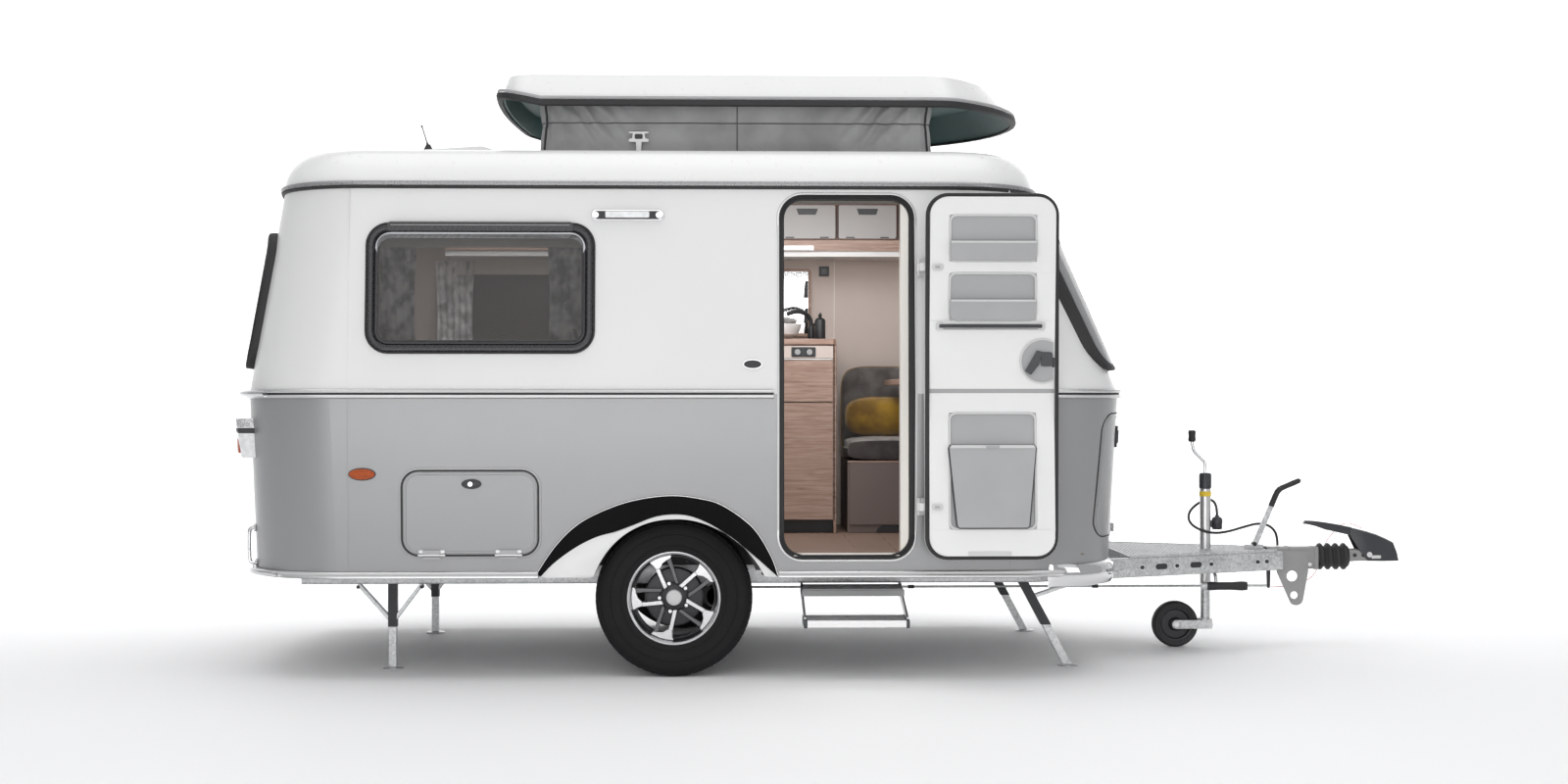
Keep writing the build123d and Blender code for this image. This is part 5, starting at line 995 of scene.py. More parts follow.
# latch housing: a round dish cut by the leaf's edge, with its lever and bolt
disc = arc(706, 1228, 84, 59, 301, 26)
leaf.plate(disc, on_door, 2, 6, GREY)
leaf.strip(disc, [(-3, 2), (-3, 9), (4, 10), (6, 2)], on_door, PALE_GREY, closed=False)
leaf.plate([(640, 1190), (662, 1176), (690, 1212), (706, 1262), (684, 1268),
            (664, 1232)], on_door, 6, 22, DARK)
leaf.plate(rounded(700, 744, 1208, 1262, 10), on_door, 6, 16, DARK)
leaf.plate(rounded(743, 753.5, 1204, 1242, 4), on_door, 2, 8, BLACK_STEEL)
# hinge covers and the notch plate at the bottom
for z in (1585, 672):
    leaf.plate(rounded(282, 326, z - 13, z + 13, 12), on_door, 2, 11, PALE_GREY)
    leaf.plate(rounded(292, 312, z - 5, z + 5, 4), on_door, 11, 13, GREY)
leaf.plate(rounded(420, 586, 485, 503, 5), on_door, 2, 6, PALE_GREY)
# rubber strip round the leaf
leaf.strip(rounded(258.6, 769.4, 468.6, 1867.4, 84.5, 9),
           [(0, -37), (0, -24), (3, -22.3), (13, -22.3), (15, -24), (15, -25.5)], on_door, RUBBER)
# the leaf's outer face: silver below the belt, with the belt's bright line
low_half = arc(685, 553, 84, -90, 0, 8) + [(769, BELT_Z), (259, BELT_Z)]
low_half += arc(343, 553, 84, 180, 270, 8)
leaf.plate(low_half, on_door, -38.6, -37.4, SILVER)
leaf.plate(box_of(262, 766, BELT_Z - 7, BELT_Z + 7), on_door, -43, -37.4, ALU)
leaf.done(body="entry_door", replaces=["door_inner_panel"], slot="body_white", bevel=1.6, angle=40)


# Service hatch: edge seal on the wall, and the lid's own lip, lock and hinges
HATCH = (-1740, -1226, 486, 804)
HATCH_HINGE_XS = (-1630, -1336)
seal = Build("hatch_seal")
path = rounded(HATCH[0] - 6, HATCH[1] + 6, HATCH[2] - 6, HATCH[3] + 6, 66, 7)
seal.strip(path, [(-10, 0.4), (-9, 2.4), (-2, 2.6), (0, 0.4)], NEAR, SILVER)
seal.strip(path, [(-2.5, 0.4), (-2, 3), (5.4, 3), (5.4, -28), (0.3, -28)], NEAR, RUBBER)
for x in HATCH_HINGE_XS:
    seal.pipe([NEAR(x - 52, 483, 9), NEAR(x + 52, 483, 9)], 5, ALU)
seal.done(slot="rubber", angle=40)
hatch = Build("hatch_trim")
hatch.strip(rounded(HATCH[0] + 3, HATCH[1] - 3, HATCH[2] + 3, HATCH[3] - 3, 56, 7),
            [(0, 0.3), (1, 2.6), (8, 2.6), (10, 0.3)], NEAR, SILVER)
lock_x, lock_z = -1477, 757
hatch.plate(ellipse(lock_x, lock_z, 38, 19, 28), NEAR, 0.4, 7, BLACK_STEEL)
hatch.lathe(NEAR(lock_x - 4, lock_z, 0), "y", [(0, -13), (9, -13), (11, -10), (11, -3)], CHROME, 20)
hatch.plate([(lock_x + 10, lock_z - 6), (lock_x + 30, lock_z - 4), (lock_x + 30, lock_z + 4),
             (lock_x + 10, lock_z + 6)], NEAR, 6, 10, DARK)
for x in HATCH_HINGE_XS:
    hatch.plate(rounded(x - 50, x + 50, 490, 503, 4), NEAR, 3, 8, ALU)
hatch.done(body="hatch", slot="body_silver", bevel=1, angle=40)

# Gas locker lid: raised edge, oval lock, small catch
locker = Build("locker_trim")
path = edge_path(852, 548, 1014, 64)[::-1]
locker.strip(path, [(0, 0.3), (-1, 2.8), (-10, 2.8), (-12, 0.3)], NOSE, SILVER)
for y in (-640, 640):
    locker.plate(ellipse(y, 930, 24, 44, 26), NOSE, 0.4, 10, BLACK_STEEL)
    locker.plate(ellipse(y, 930, 12, 26, 20), NOSE, 9, 14, DARK)
locker.plate(rounded(-70, 70, 968, 990, 9), NOSE, 1, 12, ALU)
locker.done(body="gas_locker", slot="body_silver", bevel=1, angle=40)
nose = Build("locker_seal")
path = edge_path(866, 534, 1028, 76)[::-1]
nose.strip(path, [(0, 0.4), (0, 2.2), (-5, 2.2), (-5.5, -26), (-0.5, -26)], NOSE, RUBBER)
nose.done(slot="rubber", angle=40)

# Wheel arches: a black band on the wall, which is painted shadow for the shaded recess above the
# guard, and the white guard with its rolled lip below it
HUB_X = -704
HUB_Z = 307
ARCH_LOW_Z = 396
# Inner edge of the guard. columns: degrees round the hub, radius
LIP = ((10, 366), (14, 364), (30, 345), (60, 321), (90, 313), (150, 317), (170, 322))
# Smooth edge of the arch on the wall, and upper edge of the white guard below it
WALL_EDGE = ((-1243, 397), (-1160, 520), (-1065, 610), (-935, 673), (-820, 704), (-704, 715),
    (-600, 703), (-512, 676), (-395, 590), (-325, 480), (-294, 397))
GUARD_EDGE = ((-1216, 397), (-1162, 452), (-1079, 512), (-999, 552), (-925, 573), (-850, 601),
    (-777, 629), (-704, 639), (-631, 630), (-540, 589), (-444, 520), (-374, 462), (-301, 397))


def polar(points):
    """Radius round the hub as a function of the angle in degrees."""
    pairs = sorted((math.degrees(math.atan2(z - HUB_Z, x - HUB_X)),
        math.hypot(x - HUB_X, z - HUB_Z)) for x, z in points)
    return lambda angle: float(np.interp(angle, *zip(*pairs)))


wall_edge, guard_edge = (polar([p[:2] for p in smooth_line([(x, z, 0) for x, z in edge], 5)])
                         for edge in (WALL_EDGE, GUARD_EDGE))


def inner_edge(angle):
    """Radius of the guard's inner edge, cut off level at its lower end."""
    radius = float(np.interp(angle, *zip(*LIP)))
    return max(radius, (ARCH_LOW_Z - HUB_Z) / math.sin(math.radians(angle)))


arches = Build("arch_panels")
for side in (-1, 1):
    place = on_side(side)

    def at(radius, angle, out, place=place):
        x = HUB_X + radius * math.cos(math.radians(angle))
        z = HUB_Z + radius * math.sin(math.radians(angle))
        return place(x, max(z, 421), out)[:2] + (z,)
    arch_angles = np.linspace(169.6, 12.4, 72)
    # the first pass lays the painted shadow: a near-black band just proud of the wall, between its
    # arch edge and the guard, where the recess's shade falls
    for outer, inner, profile, finish in (
            # columns of each profile: share from the outer edge to the inner edge, outwards
            (wall_edge, lambda a: guard_edge(a) - 9,
             ((0, 0.3), (0, 1.4), (0.2, 1.4), (0.4, 1.4), (0.6, 1.4), (0.8, 1.4), (1, 1.4), (1, -6),
              (0.5, -6)), SHADOW),
            (guard_edge, inner_edge,
             ((0, -7.9), (0, 6), (0.12, 11), (0.6, 15), (0.94, 18), (1, 16), (1, -30), (0.94, -30),
              (0.9, 8), (0.2, 3), (0.1, -7.9)), WHITE)):
        arches.loft([[at(outer(a) + (inner(a) - outer(a)) * share, a, out)
            for share, out in profile] for a in arch_angles], finish)
    # columns: how far beyond the wall's edge the line starts and ends, outwards, finish
    for start, end, out, finish in ((0.5, 5.5, 3, SILVER), (-5, -2, 2.4, ALU)):
        arches.loft([[at(wall_edge(a) + start, a, 0.2), at(wall_edge(a) + start, a, out),
                      at(wall_edge(a) + end, a, out), at(wall_edge(a) + end, a, 0.2)]
                     for a in arch_angles], finish)
arches.done(replaces=["wheel_arch_panels"], slot="body_white", angle=40)

# Lamps, badge, handles
lamps = Build("tail_lamp_units")


def lamp_ring(y0, y1, z, low, high, count):
    """Section of a lamp that follows the rear wall's bow between two y."""
    ys = np.linspace(y0, y1, count)
    return [REAR(y, z, low) for y in ys] + [REAR(y, z, high) for y in ys[::-1]]


for side in (-1, 1):
    y0, y1 = sorted((side * 676, side * 786))
    # columns: low z, high z, how far out at each, finish
    for z0, z1, out0, out1, finish in ((968, 1008, 58, 60, CHROME),
                                       (948, 968, 54, 56, BLACK_STEEL),
                                       (852, 948, 46, 54, CLEAR_LENS)):
        lamps.loft([lamp_ring(y0, y1, z, 1, out, 7) for z, out in
                    ((z0, out0), (z0 + 5, out0 + 4), (z1 - 5, out1 + 4), (z1, out1))], finish)
    for y_mid, finish in ((side * 710, RED_LENS), (side * 752, AMBER)):
        lamps.loft([lamp_ring(y_mid - 16, y_mid + 16, z, 44, 57, 4) for z in (870, 930)], finish)
lamps.done(replaces=["tail_lamps"], slot="lamp", bevel=3, angle=40, segments=3)

markers = Build("marker_lenses")
for side in (-1, 1):
    place = on_side(side)
    for grow, out, finish in ((4, 4, DARK), (0, 9, AMBER), (-9, 12.5, AMBER)):
        markers.plate(ellipse(-1894, 795, 49 + grow, 20.5 + grow, 30), place, 0.4, out, finish)
markers.done(replaces=["side_markers"], slot="amber", bevel=1.5)

porch = Build("porch_lamp_bar")
porch.plate(rounded(-1021, -741, 1772, 1814, 20.5, 7), NEAR, 0.5, 9, CHROME)
porch.plate(rounded(-1013, -749, 1778, 1808, 14.5, 7), NEAR, 8, 22, BLACK_STEEL)
porch.plate(rounded(-966, -796, 1781, 1806, 5, 4), NEAR, 12, 27, CLEAR_LENS)
for x in (-1003, -759):
    porch.plate(ellipse(x, 1792, 14, 13, 20), NEAR, 16, 27, CHROME)
porch.done(replaces=["porch_lamp"], slot="lamp", bevel=2.5, segments=3)

badge = Build("badge")
badge.plate(ellipse(-399, 1217, 38, 19, 30), NEAR, 0.4, 4, CHROME)
badge.plate(ellipse(-399, 1217, 34, 15.5, 30), NEAR, 3, 5.5, BLACK_STEEL)
badge.done(slot="dark_plastic", bevel=0.8)

handles = Build("grab_bars")
for side in (-1, 1):
    y = side * 700
    foot_x = REAR(y, 440, 0)[0]
    bend = [(foot_x + 4, y, 436), (foot_x - 22, y, 436), (foot_x - 31, y, 446),
            (foot_x - 33, y, 470), (foot_x - 33, y, 545), (foot_x - 30, y, 566),
            (foot_x - 18, y, 574), (foot_x - 2, y, 574)]
    handles.pipe(smooth_line(bend, 4), 8, CHROME)
    for z in (436, 574):
        handles.lathe((REAR(y, z, 0)[0], y, z), "x", [(0, -7), (14, -7), (17, -4), (17, 1), (0, 1)],
                      CHROME, 20)
handles.done(replaces=["grab_handles"], slot="chrome", angle=50)

# Body seams: upright joints between side panels and the moulded ends
body_seams = Build("panel_joints")
for x in (-1950, 600):
    for side in (-1, 1):
        for z0, z1, finish in ((421, 1084, SILVER), (1122, 1893, WHITE)):
            body_seams.loft([[(x + dx, side * (wall_y(z) + dy), z) for dx, dy in
                              ((-2, -1), (-1.2, 0.9), (1.2, 0.9), (2, -1))] for z in (z0, z1)],
                            finish)
body_seams.done(slot="body_white")

# Polished corner pieces where the sill meets the nose
corners = Build("nose_corners")
for side in (-1, 1):
    corners.loft([[NOSE(side * (955 - 17 * k), z, out * min(1, 0.25 + k, 15.25 - k))
        for z, out in ((350, 1), (354, 18), (370, 28), (396, 31), (424, 26), (438, 14), (442, 1))]
        for k in range(16)], CHROME)
corners.done(slot="chrome", angle=40)


# Road wheels: tyre with tread blocks, and a rim with five broad swirled spokes and slim twins
WHEEL_Y = 812
WHEEL_STEPS = 96


def wheel_point(side, radius, angle, y):
    """Point on a wheel. y is from the tyre's middle, outwards."""
    return (HUB_X + radius * math.cos(angle), side * (WHEEL_Y + y), HUB_Z
        + radius * math.sin(angle))


def turned(build, side, profile, finish):
    """Profile of radius and distance from the tyre's middle, turned round the wheel's axle."""
    build.loft([[wheel_point(side, r, a, y) for r, y in profile] for a in angles(WHEEL_STEPS)],
        finish, wrap=True)


TYRE_CUT = ((180, -78), (184, -86), (196, -91), (226, -92.5), (262, -91), (284, -86), (296, -79),
            (301, -72), (303.5, -52), (304, 0), (303.5, 52), (301, 72), (296, 79), (284, 86),
            (262, 91), (226, 92.5), (196, 91), (184, 86), (180, 78), (186, 70), (186, -70))


# Tread blocks in five rows. columns: y of the row, width, shift by a block, shoulder side
TREAD = ((-66, 24, 0, -1), (-33, 24, 0.5, 0), (0, 22, 0, 0), (33, 24, 0.5, 0), (66, 24, 0, 1))
TREAD_COUNT = 60


def tyre(side):
    build = Build("tyre_tread_" + hand(side))
    turned(build, side, TYRE_CUT, TYRE)
    half = math.pi / TREAD_COUNT * 0.74
    for row_y, width, shift, shoulder in TREAD:
        slant = 0.012 * (1 if row_y > 0 else -1)
        for k in range(TREAD_COUNT):
            a = 2 * math.pi * (k + shift) / TREAD_COUNT
            rings = []
            for radius in (300.5, 306.9 if not shoulder else 305.4):
                ring = []
                for da, dy in box_of(-half, half, -width / 2, width / 2):
                    # shoulder blocks run down the side
                    drop = 5 if shoulder and dy * shoulder > 0 else 0
                    ring.append(wheel_point(side, radius - drop, a + da + slant * dy / 12,
                        row_y + dy))
                rings.append(ring)
            build.loft(rings, TYRE)
    # raised rings on the outer and inner side walls
    for edge in (-1, 1):
        for radius, out in ((286, 87), (247, 93.6), (204, 93)):
            turned(build, side, [(radius + dr, edge * (out + dy)) for dr, dy in
                                 ((-2.2, -2.5), (-1.2, 0.6), (1.2, 0.6), (2.2, -2.5))], TYRE)
    build.done(body="wheel_" + hand(side), replaces=["tyre_" + hand(side)], slot="tyre", angle=32)


# Spokes. columns: radius, degrees from the spoke's middle. Each pair of legs shares a broad
# flare at the rim and parts towards the hub, with a wheel bolt between.
SPOKE_FLARE = ((173, -17), (173, -6), (173, 6), (173, 18), (150, 15.5), (127, 14.5), (125, 6.5),
               (140, 0), (149, -8), (154, -14))
SPOKE_BRIGHT = ((134, 14.8), (134, 7), (110, 8.5), (48, 13), (48, 32), (110, 16.8))
SPOKE_TWIN = ((156, -6), (156, -13.5), (110, -19), (54, -38), (54, -23), (110, -11.5))
SPOKE_START = 108.5
RIM_FACE = 48.5
# The rim's turned pieces: rim, dark edge, the barrel's dark inside, the brake drum
RIM_TURNED = (
    ([(177, 72), (183, 78), (183, 83), (178, 84.5), (172, 80), (168, 66), (165, 20), (160, -40),
      (164, -72), (178, -84), (180, -78), (172, -60), (171, 40), (175, 66)], RIM),
    ([(166, 62), (167.5, 66), (160, 20), (160, 16)], RIM_DARK),
    ([(164, 30), (159, -38), (156, -38), (158, 30)], RIM_DARK),
    ([(0.5, 24), (96, 24), (112, 20), (116, 8), (116, -24), (30, -24), (30, -30), (18.2, -30),
      (18.2, 0), (0.5, 0)], BLACK_STEEL),
)


def rim(side):
    build = Build("rim_face_" + hand(side))
    for profile, finish in RIM_TURNED:
        turned(build, side, profile, finish)
    for index in range(5):
        base = math.radians(SPOKE_START + 72 * index)

        def web(points, low, high, finish):
            """Flat web of the rim. Points are radius and degrees from the spoke's middle."""
            ring = [(r, base + math.radians(turn)) for r, turn in points]
            middle_r = sum(r for r, turn in ring) / len(ring)
            middle_a = sum(turn for r, turn in ring) / len(ring)
            small = [(r + (middle_r - r) * 0.06, a + (middle_a - a) * 0.06) for r, a in ring]
            build.loft([[wheel_point(side, r, a, low) for r, a in ring],
                        [wheel_point(side, r, a, high - 3) for r, a in ring],
                        [wheel_point(side, r, a, high) for r, a in small]], finish)
        web(SPOKE_FLARE, 24, RIM_FACE + 7, RIM)
        web(SPOKE_BRIGHT, 22, RIM_FACE + 5, RIM)
        web(SPOKE_TWIN, 18, RIM_FACE - 6, RIM_MID)
        centre = wheel_point(side, 57, base + math.radians(2), 0)
        for radius, y0, y1, finish in ((11.5, 26, 34, RIM_DARK), (8.2, 33, 44, CHROME)):
            ring = ellipse(centre[0], centre[2], radius, radius, 6)
            build.loft([[(x, side * (WHEEL_Y + y), z) for x, z in ring] for y in (y0, y1)], finish)
    turned(build, side, [(0.5, 40), (44, 38), (58, 30), (60, 14), (0.5, 14)], RIM_DARK)
    turned(build, side, [(0.5, 60), (24, 60), (29, 57), (31, 52), (31, 36), (0.5, 36)], PALE_GREY)
    # valve
    valve = wheel_point(side, 150, math.radians(70), 0)
    build.lathe((valve[0], side * (WHEEL_Y + 34), valve[2]), "y",
                [(0, 0), (4, 0), (4, side * 22), (3, side * 26), (0, side * 26)], RUBBER, 12)
    build.done(body="wheel_" + hand(side), replaces=["rim_" + hand(side)], slot="rim", bevel=1.4,
               angle=35)


for side in (-1, 1):
    tyre(side)
    rim(side)


# Cabin, as it shows through the door and the windows
FACE_Y = 340
KITCHEN = (-760, -10)


def on_face(x, z, out):
    """place() for furniture fronts that look towards the door side."""
    return (x, FACE_Y - out, z)


kitchen = Build("kitchen_front")
kitchen.block(KITCHEN[0], KITCHEN[1], 342, 925, 534, 1321, WOOD)
kitchen.block(KITCHEN[0] + 12, KITCHEN[1] - 4, 386, 925, 475, 534, BLACK_STEEL)
for x0, x1 in ((-752, -500), (-494, -254), (-247, -20)):
    kitchen.plate(rounded(x0, x1, 536, 1060, 3, 2), on_face, -1, 15, WOOD)
    kitchen.plate(rounded(x0, x1, 1067, 1252, 3, 2), on_face, -1, 15, WOOD)
    kitchen.plate(box_of(x0, x1, 1254.5, 1259), on_face, -1, 11, ALU)
kitchen.plate(rounded(-752, -18, 1262, 1318, 2, 2), on_face, -1, 6, LINING)
kitchen.plate(rounded(-206, -96, 1268, 1312, 5), on_face, 5, 9, DARK)
for x in (-178, -124):
    kitchen.plate(rounded(x - 21, x + 21, 1271, 1309, 4), on_face, 8, 11, BLACK_STEEL)
    kitchen.plate(ellipse(x, 1290, 13, 13, 20), on_face, 10.5, 12, GREY)
# end upright with its dark edge and shelf pockets, towards the seat
kitchen.block(-16, -3, 342, 925, 475, 1350, WOOD)
kitchen.block(-3.5, -1, 356, 700, 1150, 1330, BLACK_STEEL)
kitchen.block(-3.5, -1, 356, 700, 560, 1050, BLACK_STEEL)
kitchen.done(replaces=["kitchen_cabinet"], slot="wood", bevel=1.2)
worktop = Build("worktop_slab")
top = [(KITCHEN[0], 925), (KITCHEN[0], 330), (KITCHEN[1] - 6, 330), (KITCHEN[1] + 8, 344),
       (KITCHEN[1] + 8, 925)]
worktop.prism(top, "z", 1322.5, 1349.5, WOOD)
worktop.done(replaces=["kitchen_worktop"], slot="wood", bevel=3, segments=3)

wares = Build("kitchen_wares")
# round white bowl, mixer tap, draining tray and a black dispenser
wares.lathe((-290, 640, 1350), "z", [(0.5, 12), (70, 12), (118, 34), (136, 74), (142, 76),
    (143, 72), (124, 26), (74, 0.4), (0.5, 0.4)], INNER_WHITE, 40, wrap=True)
wares.lathe((-100, 720, 1350), "z", [(0.5, 0.4), (26, 0.4), (27, 8), (17, 14), (16, 64),
                                     (14, 70), (0.5, 70)], BLACK_STEEL, 24)
wares.pipe(smooth_line([(-100, 720, 1408), (-104, 718, 1450), (-128, 706, 1476), (-168, 690, 1486),
                        (-214, 672, 1474)], 5), 10, BLACK_STEEL)
wares.pipe([(-100, 720, 1412), (-72, 706, 1440)], 6, BLACK_STEEL)
wares.lathe((-62, 640, 1350), "z", [(0.5, 0.4), (24, 0.4), (25, 6), (25, 92), (18, 102),
                                    (8, 106), (8, 122), (0.5, 124)], BLACK_STEEL, 24)
wares.pipe([(-62, 640, 1470), (-62, 606, 1474)], 4.5, BLACK_STEEL)
wares.block(-640, -420, 470, 800, 1350.4, 1358, BLACK_STEEL)
for x, y in ((-585, 560), (-475, 560), (-530, 700)):
    wares.lathe((x, y, 1358), "z", box_of(26, 34, 0, 10), DARK, 28, wrap=True)
wares.done(slot="dark_plastic", bevel=1, angle=40)


def on_back(x, z, out):
    """place() for the far side wall's inner face."""
    return (x, wall_y(z) - 30.6 - out, z)


back = Build("back_wall_fittings")
back.plate(rounded(-330, -92, 1376, 1700, 14), on_back, 0, 20, WOOD)
back.plate(rounded(-316, -106, 1390, 1686, 8), on_back, 18, 23, MIRROR)
for z0, z1 in ((1560, 1640), (1440, 1510)):
    back.plate([(-128, z0), (-108, z0), (-108, z1), (-120, z1), (-124, z1 - 30)], on_back,
               22, 40, BLACK_STEEL)
back.plate(rounded(-54, -6, 1664, 1712, 4), on_back, 0, 8, BLACK_STEEL)
back.plate(rounded(-44, -16, 1674, 1702, 3), on_back, 7, 11, DARK)
for x in (18, 620, -900):
    back.plate(box_of(x, x + 4, 1120, 1738), on_back, 0, 2.5, CREAM)
back.plate(box_of(-620, 20, 1352, 1366), on_back, 0, 7, ALU)
back.done(slot="grey_plastic", bevel=1)

# Overhead lockers: pale flaps in dark rosewood frames, over a wooden valance with a lamp
lockers = Build("overhead_lockers")
ends = [(640, 1740), (640, 1985), (850, 1985), (853, 1925), (905, 1892), (915, 1740)]
lockers.prism(ends, "x", -1800, 480, INNER_WHITE)


def on_locker(x, z, out):
    """place() for the lockers' fronts."""
    return (x, 640 - out, z)


edges = (-1795, -1320, -780, -262, 16, 300, 476)
for x0, x1 in zip(edges, edges[1:]):
    path = rounded(x0 + 6, x1 - 6, 1822, 1980, 8, 3)
    lockers.plate(path, on_locker, -1, 15, BOARD)
    lockers.strip(path, [(-5, -1), (-5, 17), (1, 17), (2, 14)], on_locker, WOOD_UP)
    mid = (x0 + x1) / 2
    lockers.plate([(mid - 40, 1934), (mid + 40, 1934), (mid + 50, 1962), (mid - 50, 1962)],
        on_locker, 14, 17, BLACK_STEEL)
    for dx in (-80, 80):
        lockers.plate(box_of(mid + dx - 20, mid + dx + 20, 1826, 1831), on_locker, 14, 19, DARK)
for x in edges:
    lockers.plate(box_of(x - 7, x + 7, 1816, 1984), on_locker, 0, 17, WOOD_UP)
lockers.plate(box_of(-1800, 480, 1766, 1816), on_locker, 0, 13, WOOD)
lockers.plate(box_of(-420, -92, 1768, 1790), on_locker, 12, 22, CLEAR_LENS)
lockers.done(replaces=["wall_lockers"], slot="body_white", bevel=1)

# Seat boxes and bed base with doors, cut-out and edges
boxes = Build("seat_box_fronts")
boxes.block(48, 900, 342, 880, 475, 799.5, TAUPE)
for x0, x1 in ((56, 470), (478, 892)):
    boxes.plate(rounded(x0, x1, 512, 792, 6, 3), on_face, -1, 9, TAUPE)
    # painted shade: the cut-out at each door's foot is a black sheet laid on the face, standing for
    # the dark opening
    cut = [(x0 + 120, 476), (x1 - 20, 476), (x1 - 20, 500), (x1 - 60, 508), (x0 + 150, 508),
           (x0 + 128, 496)]
    boxes.plate(cut, on_face, -1, 1.5, BLACK_STEEL)
boxes.plate(box_of(48, 900, 793, 799.5), on_face, -1, 10, WOOD)
bed_line = [(-2380, -560), (-2330, -720), (-2230, -840), (-2100, -905), (-1180, -905), (-1180, 905),
    (-2100, 905), (-2230, 840), (-2330, 720), (-2380, 560), (-2400, 0)]
boxes.prism(bed_line, "z", 475, 879.5, LINING)
for y0, y1 in ((-890, -310), (-300, 300), (310, 890)):
    boxes.prism(box_of(y0, y1, 500, 868), "x", -1181, -1172, WOOD)
boxes.done(replaces=["seat_boxes"], slot="floor_wood", bevel=2)


# Cushions: superellipse slabs with a crowned face, a welt along their edges
def cushion(name, x0, x1, y0, y1, z0, z1, finish, crown, welt, power, dent, seed):
    """Soft block. Its long faces crown outwards and carry small wrinkles."""
    build = Build(name)
    cx, cy, cz = (x0 + x1) / 2, (y0 + y1) / 2, (z0 + z1) / 2
    hx, hy, hz = (x1 - x0) / 2, (y1 - y0) / 2, (z1 - z0) / 2
    rings = []
    lats, longs = 22, 56
    thin = min((hx, "x"), (hy, "y"), (hz, "z"))[1]

    def squarish(value):
        return math.copysign(abs(value) ** (2 / power), value)

    for i in range(1, lats):
        phi = -math.pi / 2 + math.pi * i / lats
        ring = []
        for theta in angles(longs):
            u = squarish(math.cos(phi)) * squarish(math.cos(theta))
            v = squarish(math.cos(phi)) * squarish(math.sin(theta))
            w = squarish(math.sin(phi))
            place = {"z": Vector((u, v, w)), "y": Vector((u, w, v)), "x": Vector((w, u, v))}[thin]
            flat = Vector((u, v, 0)).length
            lift = 1 - crown * min(flat, 1.4) ** 2
            wobble = 1 + dent * noise.noise(place * 2.3 + Vector((seed, 0, 0)))
            scale = [1, 1, 1]
            scale["xyz".index(thin)] = lift * wobble
            ring.append((cx + hx * place.x * scale[0], cy + hy * place.y * scale[1],
                         cz + hz * place.z * scale[2]))
        rings.append(ring)
    build.loft(rings, finish)
    if welt:
        middle = rings[lats // 2 - 1]
        build.pipe([*middle, middle[0], middle[1]], 4, welt, 8)
    return build


# columns: name, x, x, y, y, z, z, finish, crown, welt, power, dent, seed, nodes, slot, fill
CUSHIONS = (
    ("seat_cushion", 49, 899, 338, 768, 800.6, 909.6, PALE_CLOTH, 0.12, MUSTARD, 7, 0.03, 1,
     ["bench_cushions"], "fabric_grey", 0.9),
    # the cushion's front face is a darker copy of its cloth: painted shade, as the top is lit and
    # the front is not
    ("seat_cushion_shaded_front", 50, 898, 334, 352, 804, 892, SEAT_FRONT_SHADE_CLOTH, 0.1, None, 6, 0, 1,
     [], "fabric_grey", 0.9),
    ("backrest", 49, 679, 771, 879, 801, 1229, GREY_CLOTH, 0.14, MUSTARD, 7, 0.03, 1,
     [], "fabric_grey", 0.85),
    ("scatter_pillow", 52, 434, 482, 620, 911, 1084, MUSTARD, 0.42, MUSTARD, 3.4, 0.16, 4,
     ["throw_pillow"], "fabric_mustard", 0.55),
)
for *shape, nodes, slot, fill in CUSHIONS:
    made = cushion(*shape).done(replaces=nodes, slot=slot, angle=70)

mattress = Build("mattress")
rings = [[(-1785 + (x + 1785) * (1 - inset / 600), y * (1 - inset / 900), z) for x, y in bed_line]
         for z, inset in ((880.6, 10), (884, 3), (900, 0), (988, 0), (1004, 4), (1009, 14))]
mattress.loft(rings, PALE_CLOTH)
mattress.pipe([(*p[:2], 1000) for p in rings[3]] + [(*rings[3][0][:2], 1000)], 4, MUSTARD, 8)
mattress_object = mattress.done(replaces=["bed_mattress"], slot="fabric_grey", bevel=12, segments=3,
                                angle=50)

table = Build("table_top")
table.prism(rounded(235, 860, -280, 700, 70, 7), "z", 1141, 1165, WOOD)
table.lathe((547.5, 0, 0), "z", [(0.5, 474.6), (130, 474.6), (132, 480), (60, 488), (30, 500),
    (28, 540), (28, 1110), (70, 1136), (90, 1141), (0.5, 1141)], ALU, 36)
table.done(replaces=["dinette_table"], slot="wood", bevel=2.5, segments=3, angle=40)

# Floor planks inside the door
planks = Build("floor_planks")
for k, y in enumerate(range(-900, 300, 150)):
    joints = [-1170, -750 + 190 * (k % 3), 20 + 160 * (k % 2), 900]
    # the wheel housing stands on the first planks
    if y < -690:
        joints = [-338, *joints[2:]]
    for x0, x1 in zip(joints, joints[1:]):
        planks.prism(box_of(x0 + 1, x1 - 1, y + 1, y + 149), "z", 474.2, 477, FLOOR_WOOD)
planks.done(slot="floor_wood", bevel=0.6)


# Chassis: rails under the floor and the drawbar's beams, with rounded edges and bolts
POST_X = 1590
BEAM_LOW = 340
BEAM_HIGH = 419.5
BEAM_HALF = 22.5
KINK = (750, 600)
NOSE_TIP = (1900, 62)
NOSE_TURN = math.atan2(KINK[1] - NOSE_TIP[1], NOSE_TIP[0] - KINK[0])


def beam_ring(x, y, turn, side):
    """Section of one beam, square to its run, with rounded corners."""
    return [(x + math.sin(turn) * v, side * (y + math.cos(turn) * v), z)
            for v, z in rounded(-BEAM_HALF, BEAM_HALF, BEAM_LOW, BEAM_HIGH, 6, 3)]


